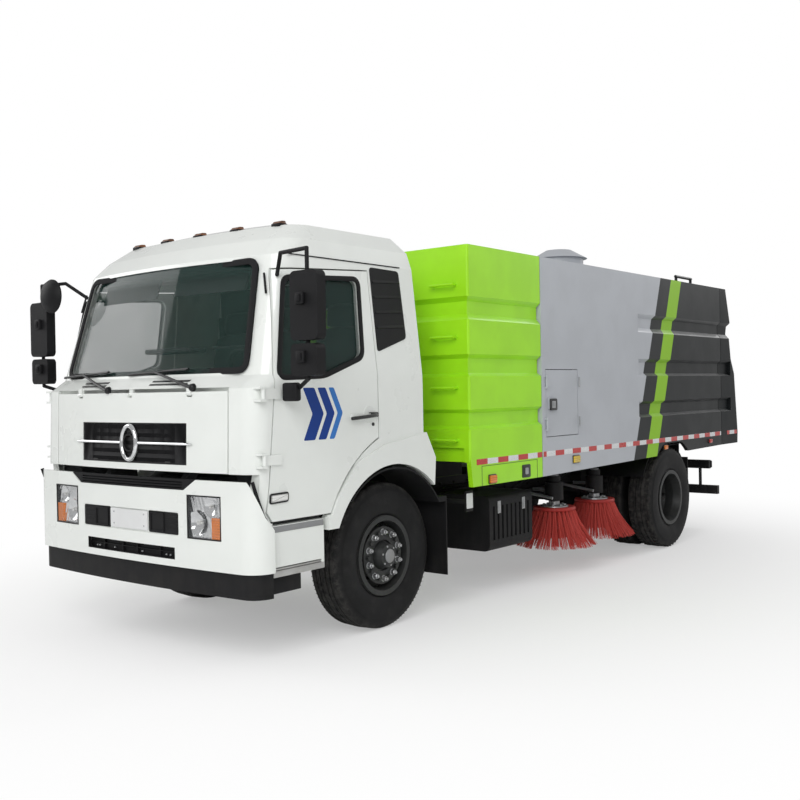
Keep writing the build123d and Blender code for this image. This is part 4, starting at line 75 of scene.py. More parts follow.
class Wiring:
    """Short hand for adding and linking the nodes of one tree."""

    def __init__(self, tree: bpy.types.NodeTree) -> None:
        """Starts on an emptied tree."""
        self.tree = tree
        self.tree.nodes.clear()

    def add(self, kind: str, **settings: object) -> bpy.types.Node:
        """Adds a node.

        Args:
            kind: the node's type name.
            settings: its properties.
        Returns:
            The new node.
        """
        node = self.tree.nodes.new(kind)
        for key, value in settings.items():
            setattr(node, key, value)
        return node

    def put(self, socket: bpy.types.NodeSocket, value: object) -> None:
        """Links a socket, or sets its value when it isn't a socket."""
        if isinstance(value, bpy.types.NodeSocket):
            self.tree.links.new(value, socket)
        else:
            socket.default_value = value

    def bump(self, height: object, strength: object, distance: float) -> bpy.types.NodeSocket:
        """Turns a height into a surface normal.

        Args:
            height: the height's socket.
            strength: how strongly it tells, a number or a socket.
            distance: how far in metres a height of one stands out.
        Returns:
            The normal.
        """
        node = self.add("ShaderNodeBump")
        self.put(node.inputs["Strength"], strength)
        node.inputs["Distance"].default_value = distance
        self.put(node.inputs["Height"], height)
        return node.outputs["Normal"]

    def math(self, operation: str, a: object, b: object = 0.0, c: object = 0.0,
             clamp: bool = False) -> bpy.types.NodeSocket:
        """One Math node.

        Args:
            operation: what it works out.
            a: its first number or socket.
            b: its second.
            c: its third.
            clamp: whether the result is kept from 0 to 1.
        Returns:
            Its output.
        """
        node = self.add("ShaderNodeMath", operation=operation, use_clamp=clamp)
        self.put(node.inputs[0], a)
        self.put(node.inputs[1], b)
        self.put(node.inputs[2], c)
        return node.outputs[0]

    def ramp(self, value: object, low: float, high: float, to_low: float = 0.0,
             to_high: float = 1.0) -> bpy.types.NodeSocket:
        """A smooth step.

        Args:
            value: the socket that it follows.
            low: where the step begins.
            high: where it ends.
            to_low: its value before the step.
            to_high: its value after the step.
        Returns:
            Its output.
        """
        node = self.add("ShaderNodeMapRange", interpolation_type="SMOOTHSTEP")
        self.put(node.inputs["Value"], value)
        node.inputs["From Min"].default_value = low
        node.inputs["From Max"].default_value = high
        node.inputs["To Min"].default_value = to_low
        node.inputs["To Max"].default_value = to_high
        return node.outputs["Result"]

    def mix(self, share: object, a: object, b: object) -> bpy.types.NodeSocket:
        """Mixes two colours.

        Args:
            share: how much of the second one there is.
            a: the first colour or socket.
            b: the second.
        Returns:
            The colour output.
        """
        node = self.add("ShaderNodeMix", data_type="RGBA")
        self.put(node.inputs["Factor"], share)
        self.put(node.inputs["A"], rgba(a))
        self.put(node.inputs["B"], rgba(b))
        return next(s for s in node.outputs if s.type == "RGBA")

    def noise(self, vector: object, scale: float, detail: float = 3.0,
              rough: float = 0.5) -> bpy.types.NodeSocket:
        """A noise texture.

        Args:
            vector: where it is read.
            scale: how fine it is.
            detail: how many finer layers it has.
            rough: how much those layers count.
        Returns:
            Its value.
        """
        node = self.add("ShaderNodeTexNoise")
        self.put(node.inputs["Vector"], vector)
        node.inputs["Scale"].default_value = scale
        node.inputs["Detail"].default_value = detail
        node.inputs["Roughness"].default_value = rough
        return node.outputs["Fac"]

    def place(self) -> bpy.types.NodeSocket:
        """Object coordinates, in metres in the row frame."""
        return self.add("ShaderNodeTexCoord").outputs["Object"]

    def split(self, vector: object) -> list[bpy.types.NodeSocket]:
        """X, Y and Z of a vector."""
        node = self.add("ShaderNodeSeparateXYZ")
        self.put(node.inputs[0], vector)
        return list(node.outputs)

    def stretched(self, vector: object, scale: Point) -> bpy.types.NodeSocket:
        """A vector scaled by axis, for a pattern that runs one way."""
        node = self.add("ShaderNodeMapping")
        self.put(node.inputs["Vector"], vector)
        node.inputs["Scale"].default_value = scale
        return node.outputs[0]

    def group(self, tree: bpy.types.NodeTree, **values: object) -> bpy.types.Node:
        """Places a shared node group with its own values.

        Args:
            tree: the group.
            values: an input's name, with _ for a space, and its value or socket.
        Returns:
            The group's node.
        """
        node = self.add("ShaderNodeGroup", node_tree=tree)
        for key, value in values.items():
            self.put(node.inputs[key.replace("_", " ")], value)
        return node


def rgba(value: object) -> object:
    """Gives a three-part colour its alpha, and leaves anything else."""
    if isinstance(value, tuple) and len(value) == 3:
        return (*value, 1.0)
    return value


def shader_group(name: str, inputs: dict[str, object],
                 outputs: dict[str, str]) -> tuple[Wiring, bpy.types.Node, bpy.types.Node]:
    """Starts a shader node group.

    Args:
        name: the group's name.
        inputs: each input's name and its value, a number, or a socket type.
        outputs: each output's name and socket type.
    Returns:
        The wiring, the input node and the output node.
    """
    tree = bpy.data.node_groups.new(name, "ShaderNodeTree")
    for key, value in inputs.items():
        kind = value if isinstance(value, str) else "NodeSocketFloat"
        socket = tree.interface.new_socket(name=key, in_out="INPUT", socket_type=kind)
        if not isinstance(value, str):
            socket.default_value = value
    for key, kind in outputs.items():
        tree.interface.new_socket(name=key, in_out="OUTPUT", socket_type=kind)
    wiring = Wiring(tree)
    return wiring, wiring.add("NodeGroupInput"), wiring.add("NodeGroupOutput")


class Effects:
    """The effects that several finishes share, each a node group built once."""

    def __init__(self) -> None:
        """Builds every group."""
        self.grain = self._grain()
        self.dust = self._dust()
        self.wear = self._wear()
        self.weave = self._weave()

    @staticmethod
    def _grain() -> bpy.types.NodeTree:
        """Fine mottling: a mask for colour and roughness, and a surface normal."""
        w, given, out = shader_group(
            "Grain", {"Vector": "NodeSocketVector", "Fine": 400.0, "Broad": 3.0, "Depth": 0.1},
            {"Mottle": "NodeSocketFloat", "Speck": "NodeSocketFloat", "Normal": "NodeSocketVector"})
        broad = w.add("ShaderNodeTexNoise")
        fine = w.add("ShaderNodeTexNoise")
        for node, key in ((broad, "Broad"), (fine, "Fine")):
            w.put(node.inputs["Vector"], given.outputs["Vector"])
            w.put(node.inputs["Scale"], given.outputs[key])
            node.inputs["Detail"].default_value = 4.0
        w.put(out.inputs["Mottle"], broad.outputs["Fac"])
        w.put(out.inputs["Speck"], fine.outputs["Fac"])
        w.put(out.inputs["Normal"], w.bump(fine.outputs["Fac"], given.outputs["Depth"], 0.0006))
        return w.tree

    @staticmethod
    def _dust() -> bpy.types.NodeTree:
        """Road film: thick low down, broken by streaks."""
        w, given, out = shader_group(
            "Road Dust", {"Vector": "NodeSocketVector", "Top": 1.3, "Amount": 0.4},
            {"Mask": "NodeSocketFloat"})
        height = w.split(given.outputs["Vector"])[2]
        low = w.math("SUBTRACT", 1.0, w.math("DIVIDE", height, given.outputs["Top"]), clamp=True)
        low = w.math("POWER", low, 1.6)
        streak = w.noise(w.stretched(given.outputs["Vector"], (14.0, 14.0, 1.6)), 1.0, 5.0, 0.6)
        cloud = w.noise(given.outputs["Vector"], 5.0, 5.0, 0.62)
        broken = w.ramp(w.math("MULTIPLY", streak, cloud), 0.12, 0.42)
        w.put(out.inputs["Mask"], w.math("MULTIPLY", w.math("MULTIPLY", low, broken),
                                         given.outputs["Amount"], clamp=True))
        return w.tree

    @staticmethod
    def _wear() -> bpy.types.NodeTree:
        """Rubbed edges: where a rounded normal leaves the face's own, broken by noise."""
        w, given, out = shader_group(
            "Edge Wear", {"Vector": "NodeSocketVector", "Radius": 0.004, "Amount": 0.6},
            {"Mask": "NodeSocketFloat"})
        bevel = w.add("ShaderNodeBevel", samples=4)
        w.put(bevel.inputs["Radius"], given.outputs["Radius"])
        dot = w.add("ShaderNodeVectorMath", operation="DOT_PRODUCT")
        w.put(dot.inputs[0], bevel.outputs["Normal"])
        w.put(dot.inputs[1], w.add("ShaderNodeNewGeometry").outputs["Normal"])
        edge = w.ramp(dot.outputs["Value"], 0.995, 0.86)
        broken = w.ramp(w.noise(given.outputs["Vector"], 45.0, 5.0, 0.65), 0.44, 0.62)
        w.put(out.inputs["Mask"], w.math("MULTIPLY", w.math("MULTIPLY", edge, broken),
                                         given.outputs["Amount"], clamp=True))
        return w.tree

    @staticmethod
    def _weave() -> bpy.types.NodeTree:
        """A plain cloth weave: a thread mask and its height."""
        w, given, out = shader_group(
            "Weave", {"Vector": "NodeSocketVector", "Threads": 420.0},
            {"Thread": "NodeSocketFloat", "Height": "NodeSocketFloat"})
        axes = w.split(given.outputs["Vector"])
        runs = []
        for socket in (axes[0], w.math("ADD", axes[1], axes[2])):
            turn = w.math("MULTIPLY", w.math("MULTIPLY", socket, given.outputs["Threads"]), math.pi)
            runs.append(w.math("ABSOLUTE", w.math("SINE", turn)))
        over = w.math("MAXIMUM", *runs)
        w.put(out.inputs["Thread"], w.math("MULTIPLY", *runs))
        w.put(out.inputs["Height"], over)
        return w.tree


@dataclass(frozen=True)
class Finish:
    """What every finish shares: a name, its colour and how rough it is."""

    name: str
    colour: Point = (0.5, 0.5, 0.5)
    rough: float = 0.4
    metal: float = 0.0
    coat: float = 0.0
    fine: float = 380.0
    depth: float = 0.12
    spread: float = 0.06
    dust: float = 0.35
    dust_top: float = 1.25
    shine: float = 0.5

    def base(self, w: Wiring, place: bpy.types.NodeSocket,
             mottle: bpy.types.NodeSocket) -> bpy.types.NodeSocket:
        """The clean colour, a little uneven.

        Args:
            w: the material's wiring.
            place: object coordinates; not used.
            mottle: the grain group's broad mask.
        Returns:
            A colour socket.
        """
        low = tuple(max(0.0, c * (1.0 - self.spread)) for c in self.colour)
        high = tuple(min(1.0, c * (1.0 + self.spread)) for c in self.colour)
        return w.mix(w.ramp(mottle, 0.35, 0.65), low, high)

    def shade(self, w: Wiring, fx: Effects) -> None:
        """Wires the whole surface."""
        place = w.place()
        grain = w.group(fx.grain, Vector=place, Fine=self.fine, Depth=self.depth)
        colour = self.base(w, place, grain.outputs["Mottle"])
        colour, dust = self.filmed(w, fx, place, colour)
        gloss = w.ramp(grain.outputs["Mottle"], 0.2, 0.8, self.rough * 0.86, self.rough * 1.14)
        rough = w.math("ADD", gloss, w.math("MULTIPLY", dust, 0.35), clamp=True)
        self.surface(w, colour, rough, grain.outputs["Normal"])

    def filmed(self, w: Wiring, fx: Effects, place: bpy.types.NodeSocket, colour: bpy.types.NodeSocket,
               film: Point = (0.30, 0.27, 0.22)) -> tuple[bpy.types.NodeSocket, bpy.types.NodeSocket]:
        """Lays road film over a colour.

        Args:
            w: the material's wiring.
            fx: the shared groups.
            place: object coordinates.
            colour: what it lies on.
            film: the film's own colour.
        Returns:
            The new colour and the film's mask.
        """
        dust = w.group(fx.dust, Vector=place, Top=self.dust_top, Amount=self.dust).outputs["Mask"]
        return w.mix(dust, colour, film), dust

    def surface(self, w: Wiring, colour: object, rough: object, normal: object = None) -> bpy.types.Node:
        """Adds the surface shader and links it to the output.

        Args:
            w: the material's wiring.
            colour: the colour's socket.
            rough: the roughness's socket.
            normal: the normal's socket, or nothing for the bare face.
        Returns:
            The shader's node.
        """
        shader = w.add("ShaderNodeBsdfPrincipled")
        w.put(shader.inputs["Base Color"], colour)
        w.put(shader.inputs["Roughness"], rough)
        if normal is not None:
            w.put(shader.inputs["Normal"], normal)
        shader.inputs["Metallic"].default_value = self.metal
        shader.inputs["Coat Weight"].default_value = self.coat
        shader.inputs["Specular IOR Level"].default_value = self.shine
        shader.inputs["Coat Roughness"].default_value = 0.06
        out = w.add("ShaderNodeOutputMaterial")
        w.put(out.inputs["Surface"], shader.outputs[0])
        return shader

    def material(self, fx: Effects) -> bpy.types.Material:
        """Builds the finish once. Returns its material."""
        known = bpy.data.materials.get(self.name)
        if known is not None:
            return known
        made = bpy.data.materials.new(self.name)
        made.use_nodes = True
        made.diffuse_color = (*self.colour, 1.0)
        self.shade(Wiring(made.node_tree), fx)
        return made


@dataclass(frozen=True)
class WornPaint(Finish):
    """Paint over steel whose edges are rubbed to a duller tone."""

    bare: Point = (0.16, 0.14, 0.12)
    radius: float = 0.004
    wear: float = 0.7

    def shade(self, w: Wiring, fx: Effects) -> None:
        """Wires paint, rubbed edges, a little rust and road film."""
        place = w.place()
        grain = w.group(fx.grain, Vector=place, Fine=self.fine, Depth=self.depth)
        colour = self.base(w, place, grain.outputs["Mottle"])
        edge = w.group(fx.wear, Vector=place, Radius=self.radius, Amount=self.wear).outputs["Mask"]
        colour = w.mix(edge, colour, self.bare)
        spots = w.ramp(w.noise(place, 26.0, 6.0, 0.7), 0.66, 0.74)
        colour = w.mix(w.math("MULTIPLY", spots, 0.45), colour, (0.11, 0.045, 0.02))
        colour, dust = self.filmed(w, fx, place, colour, (0.26, 0.235, 0.20))
        dull = w.math("MULTIPLY", w.math("MAXIMUM", spots, dust), 0.3)
        rough = w.math("ADD", self.rough, dull, clamp=True)
        self.surface(w, colour, rough, grain.outputs["Normal"])


@dataclass(frozen=True)
class BandedPaint(Finish):
    """Grey body paint that turns black along a slanted line, with a lime stripe in the black."""

    black: Point = (0.009, 0.011, 0.012)
    lime: Point = (0.27, 0.55, 0.010)
    lines: tuple[Flat, ...] = ((3.603, 0.3669), (3.875, 0.3606), (4.131, 0.362))
    foot: float = 0.958

    def base(self, w: Wiring, place: bpy.types.NodeSocket,
             mottle: bpy.types.NodeSocket) -> bpy.types.NodeSocket:
        """The three colours, split by straight slanted lines.

        Args:
            w: the material's wiring.
            place: object coordinates.
            mottle: the grain group's broad mask.
        Returns:
            A colour socket.
        """
        clean = super().base(w, place, mottle)
        axes = w.split(place)
        past = []
        for start, lean in self.lines:
            edge = w.math("MULTIPLY_ADD", axes[2], lean, at(start) - lean * self.foot)
            past.append(w.ramp(w.math("SUBTRACT", axes[1], edge), -0.0008, 0.0008))
        dark = w.mix(past[0], clean, self.black)
        stripe = w.math("SUBTRACT", past[1], past[2], clamp=True)
        return w.mix(stripe, dark, self.lime)


@dataclass(frozen=True)
class Tape(Finish):
    """Retroreflective tape: red and white blocks of prisms under a clear film."""

    block: float = 0.150
    start: float = 0.0
    axis: int = 1

    def base(self, w: Wiring, place: bpy.types.NodeSocket,
             mottle: bpy.types.NodeSocket) -> bpy.types.NodeSocket:
        """Red and white in turn along one axis, over a fine prism grid.

        Args:
            w: the material's wiring.
            place: object coordinates.
            mottle: the grain group's broad mask, which the film hides; not used.
        Returns:
            A colour socket.
        """
        axes = w.split(place)
        turn = w.math("FRACT", w.math("DIVIDE", w.math("SUBTRACT", axes[self.axis], self.start),
                                      self.block * 2.0))
        white = w.math("GREATER_THAN", turn, 0.5)
        cells = w.add("ShaderNodeTexVoronoi", feature="DISTANCE_TO_EDGE")
        w.put(cells.inputs["Vector"], place)
        cells.inputs["Scale"].default_value = 190.0
        net = w.ramp(cells.outputs["Distance"], 0.02, 0.09)
        red = w.mix(net, (0.30, 0.012, 0.012), (0.60, 0.03, 0.025))
        pale = w.mix(net, (0.52, 0.53, 0.54), (0.80, 0.81, 0.82))
        return w.mix(white, red, pale)


@dataclass(frozen=True)
class Rubber(Finish):
    """Tyre rubber: matt, with mould rings on the wall and dust in the tread."""

    centre: Flat = (0.0, 0.525)

    def shade(self, w: Wiring, fx: Effects) -> None:
        """Wires rings about the wheel's centre, scuffs and a dusty tread."""
        place = w.place()
        axes = w.split(place)
        dy = w.math("SUBTRACT", axes[1], self.centre[0])
        dz = w.math("SUBTRACT", axes[2], self.centre[1])
        radius = w.math("SQRT", w.math("ADD", w.math("MULTIPLY", dy, dy), w.math("MULTIPLY", dz, dz)))
        grain = w.group(fx.grain, Vector=place, Fine=self.fine, Broad=7.0, Depth=self.depth)
        colour = self.base(w, place, grain.outputs["Mottle"])
        tread = w.ramp(radius, 0.470, 0.520)
        film = w.math("MULTIPLY", tread, w.ramp(w.noise(place, 22.0, 5.0, 0.65), 0.35, 0.7))
        colour = w.mix(w.math("MULTIPLY", film, 0.34), colour, (0.13, 0.125, 0.115))
        wall = w.math("MULTIPLY", w.ramp(w.noise(place, 9.0, 5.0, 0.6), 0.45, 0.75), 0.10)
        colour = w.mix(wall, colour, (0.07, 0.068, 0.064))
        rings = w.math("SINE", w.math("MULTIPLY", radius, 900.0))
        band = w.math("MULTIPLY", w.ramp(radius, 0.415, 0.425), w.ramp(radius, 0.452, 0.442))
        height = w.math("ADD", w.math("MULTIPLY", rings, w.math("MULTIPLY", band, 0.5)),
                        grain.outputs["Speck"])
        rough = w.math("ADD", self.rough, w.math("MULTIPLY", film, 0.12), clamp=True)
        self.surface(w, colour, rough, w.bump(height, 0.35, 0.0012))


@dataclass(frozen=True)
class Cloth(Finish):
    """Woven seat cloth with sheen."""

    threads: float = 300.0

    def shade(self, w: Wiring, fx: Effects) -> None:
        """Wires the weave's colour and relief."""
        place = w.place()
        weave = w.group(fx.weave, Vector=place, Threads=self.threads)
        grain = w.group(fx.grain, Vector=place, Fine=self.fine, Broad=9.0, Depth=self.depth)
        deep = tuple(c * 0.45 for c in self.colour)
        colour = w.mix(weave.outputs["Thread"], deep, self.base(w, place, grain.outputs["Mottle"]))
        shader = self.surface(w, colour, w.ramp(grain.outputs["Mottle"], 0.2, 0.8, 0.8, 0.95),
                              w.bump(weave.outputs["Height"], 0.5, 0.0008))
        shader.inputs["Sheen Weight"].default_value = 0.35
        shader.inputs["Sheen Roughness"].default_value = 0.4


@dataclass(frozen=True)
class Glass(Finish):
    """Thin clear or tinted sheet: see-through, with a sharp reflection and a faint film."""

    alpha: float = 0.22
    alpha_edge: float = 0.35
    film: float = 0.05
    shade_top: float = 99.0

    def shade(self, w: Wiring, fx: Effects) -> None:
        """Wires colour, opacity and gloss; a mottled haze and a shade band raise the opacity."""
        place = w.place()
        grain = w.group(fx.grain, Vector=place, Fine=30.0, Broad=2.4, Depth=0.0)
        colour = self.base(w, place, grain.outputs["Mottle"])
        haze = w.ramp(grain.outputs["Mottle"], 0.3, 0.8, self.alpha, self.alpha_edge)
        height = w.split(place)[2]
        top = w.ramp(height, self.shade_top - 0.10, self.shade_top + 0.05)
        haze = w.math("MAXIMUM", haze, w.math("MULTIPLY", top, 0.72))
        colour = w.mix(top, colour, (0.012, 0.035, 0.03))
        rough = w.ramp(grain.outputs["Speck"], 0.3, 0.7, self.rough * 0.6, self.rough + self.film * 0.3)
        w.put(self.surface(w, colour, rough).inputs["Alpha"], haze)


@dataclass(frozen=True)
class Lens(Finish):
    """Lamp plastic: clear colour over moulded flutes."""

    flutes: float = 160.0
    axis: int = 0

    def shade(self, w: Wiring, fx: Effects) -> None:
        """Wires the moulded flutes, with a painted highlight on the middle of each and painted shade in their
        troughs.
        """
        place = w.place()
        axes = w.split(place)
        wave = w.math("SINE", w.math("MULTIPLY", axes[self.axis], self.flutes * math.tau))
        cross = w.math("SINE", w.math("MULTIPLY", axes[2], self.flutes * 2.3))
        relief = w.math("ADD", wave, w.math("MULTIPLY", cross, 0.5))
        # painted highlight and shade: the colour darkens in each flute's trough and brightens on its crest
        deep = tuple(c * 0.45 for c in self.colour)
        colour = w.mix(w.ramp(relief, -1.2, 1.2), deep, self.colour)
        rough = w.ramp(relief, -1.5, 1.5, self.rough, self.rough * 1.8)
        self.surface(w, colour, rough, w.bump(relief, 0.35, 0.001))


@dataclass(frozen=True)
class Brushed(Finish):
    """Bare metal with drawn lines along one axis."""

    lines: Point = (3.0, 260.0, 260.0)

    def shade(self, w: Wiring, fx: Effects) -> None:
        """Wires drawn lines into colour, gloss and relief."""
        place = w.place()
        drawn = w.noise(w.stretched(place, self.lines), 1.0, 4.0, 0.6)
        grain = w.group(fx.grain, Vector=place, Fine=self.fine, Broad=6.0, Depth=self.depth)
        colour = w.mix(w.math("MULTIPLY", drawn, 0.4), self.base(w, place, grain.outputs["Mottle"]),
                       tuple(c * 0.62 for c in self.colour))
        colour, dust = self.filmed(w, fx, place, colour)
        rough = w.ramp(drawn, 0.2, 0.8, self.rough * 0.75, self.rough * 1.3)
        shader = self.surface(w, colour, rough, w.bump(drawn, 0.25, 0.0004))
        w.put(shader.inputs["Metallic"], w.math("SUBTRACT", self.metal, w.math("MULTIPLY", dust, 0.8),
                                                clamp=True))


class Paintbox:
    """Every finish on the truck, by what it covers."""

    WHITE = Finish("cab_white", (0.79, 0.815, 0.785), 0.30, coat=0.6, spread=0.012, fine=520.0,
                   depth=0.05, dust=0.09, dust_top=1.0)
    LIME = Finish("lime_enamel", (0.36, 0.78, 0.010), 0.36, coat=0.3, spread=0.04, depth=0.08,
                  dust=0.10, shine=0.4)
    BODY = BandedPaint("body_bands", (0.47, 0.49, 0.525), 0.42, coat=0.15, spread=0.03, depth=0.08,
                       dust=0.10, shine=0.22)
    BODY_BLACK = Finish("gate_black", (0.009, 0.011, 0.012), 0.46, coat=0.0, spread=0.2, depth=0.1,
                        dust=0.05, shine=0.18)
    CHASSIS = WornPaint("chassis_black", (0.008, 0.008, 0.009), 0.55, spread=0.25, depth=0.3,
                        fine=260.0, dust=0.14, dust_top=1.3, shine=0.25, wear=0.35)
    CASTING = WornPaint("cast_iron_grey", (0.030, 0.030, 0.031), 0.7, metal=0.2, spread=0.3,
                        depth=0.8, fine=170.0, dust=0.22, dust_top=1.3, shine=0.3, wear=0.4)
    PLASTIC = Finish("moulded_black", (0.010, 0.010, 0.011), 0.55, spread=0.18, depth=0.45,
                     fine=640.0, dust=0.05, dust_top=1.2, shine=0.18)
    TRIM = Finish("smooth_black_trim", (0.008, 0.008, 0.009), 0.35, spread=0.15, depth=0.15,
                  fine=700.0, dust=0.08, shine=0.35)
    RUBBER_TRIM = Finish("seal_rubber", (0.009, 0.009, 0.010), 0.75, spread=0.2, depth=0.4,
                         fine=500.0, dust=0.08, shine=0.25)
    TANK = Brushed("tank_aluminium", (0.62, 0.63, 0.64), 0.34, metal=1.0, lines=(200.0, 4.0, 200.0),
                   dust=0.5, depth=0.1)
    STEEL = Brushed("galvanised_steel", (0.46, 0.47, 0.48), 0.42, metal=0.9, dust=0.5, depth=0.3)
    ROD = Brushed("hard_chrome_rod", (0.70, 0.71, 0.72), 0.16, metal=1.0, lines=(90.0, 6.0, 90.0),
                  dust=0.15, depth=0.05)
    CHROME = Brushed("bright_trim", (0.78, 0.79, 0.80), 0.10, metal=1.0, lines=(4.0, 60.0, 60.0),
                     dust=0.1, depth=0.02)
    TREAD_PLATE = Brushed("step_alloy", (0.58, 0.58, 0.57), 0.42, metal=0.9, dust=0.6, depth=0.3)
    WHEEL = WornPaint("wheel_black", (0.022, 0.024, 0.024), 0.42, metal=0.1, spread=0.1, depth=0.2,
                      bare=(0.08, 0.06, 0.05), dust=0.12, dust_top=1.2, wear=0.5, shine=0.4)
    STRIPE_GREY = Finish("step_strip_grey", (0.23, 0.235, 0.24), 0.45, spread=0.08, depth=0.3)
    GLASS = Glass("window_glass", (0.02, 0.05, 0.042), 0.03, alpha=0.30, alpha_edge=0.40, coat=0.0)
    SCREEN = Glass("windscreen_glass", (0.02, 0.05, 0.042), 0.03, alpha=0.26, alpha_edge=0.36,
                   shade_top=2.50)
    MIRROR = Brushed("mirror_glass", (0.80, 0.82, 0.83), 0.05, metal=1.0, lines=(3.0, 3.0, 3.0),
                     dust=0.1, depth=0.0)
    REFLECTOR = Brushed("lamp_reflector", (0.80, 0.81, 0.82), 0.12, metal=1.0,
                        lines=(120.0, 20.0, 8.0), dust=0.1, depth=0.1)
    CLEAR = Glass("lamp_cover", (0.35, 0.37, 0.38), 0.04, alpha=0.05, alpha_edge=0.09)
    SMOKED = Lens("smoked_amber_lens", (0.20, 0.060, 0.008), 0.16, coat=0.5)
    AMBER = Lens("amber_lens", (0.85, 0.22, 0.012), 0.14, coat=0.5)
    YELLOW = Lens("yellow_lens", (0.90, 0.62, 0.05), 0.16, coat=0.5, axis=1)
    RED = Lens("red_lens", (0.62, 0.015, 0.012), 0.14, coat=0.5)
    WHITE_LENS = Lens("white_lens", (0.80, 0.80, 0.78), 0.14, coat=0.5)
    TAPE = Tape("side_tape", (0.6, 0.03, 0.03), 0.28, coat=0.4, dust=0.25, start=at(0.887), depth=0.05)
    REAR_TAPE = Tape("rear_tape", (0.6, 0.03, 0.03), 0.28, coat=0.4, dust=0.25, start=-1.2, axis=0,
                     depth=0.05)
    SEAT = Cloth("seat_weave", (0.045, 0.047, 0.055), 0.85, threads=140.0)
    HEAD_LINING = Finish("roof_lining", (0.34, 0.33, 0.31), 0.9, spread=0.03, depth=0.0)
    CABIN = Finish("cabin_grey", (0.040, 0.041, 0.043), 0.75, spread=0.04, depth=0.0, fine=150.0,
                   dust=0.0)
    BLIND = Finish("sun_blind", (0.045, 0.046, 0.048), 0.7, spread=0.05, depth=0.01, dust=0.0)
    BRISTLE = Finish("red_bristle", (0.62, 0.028, 0.020), 0.42, spread=0.28, depth=0.2, fine=120.0,
                     dust=0.28, dust_top=0.5)
    RING_RED = Finish("brush_ring_red", (0.36, 0.018, 0.014), 0.45, spread=0.15, depth=0.3, dust=0.3,
                      dust_top=1.0)
    DECAL = Finish("decal_blue", (0.004, 0.040, 0.24), 0.4, coat=0.05, spread=0.06, depth=0.04, dust=0.05,
                   shine=0.25)
    DECAL_LIGHT = Finish("decal_pale_blue", (0.035, 0.17, 0.50), 0.4, coat=0.05, spread=0.06,
                         depth=0.04, dust=0.05, shine=0.25)
    LATCH = Finish("latch_black", (0.016, 0.016, 0.017), 0.4, spread=0.15, depth=0.3, fine=500.0)
    PLATE = Finish("blank_plate", (0.72, 0.73, 0.73), 0.35, spread=0.03, depth=0.15, dust=0.3)


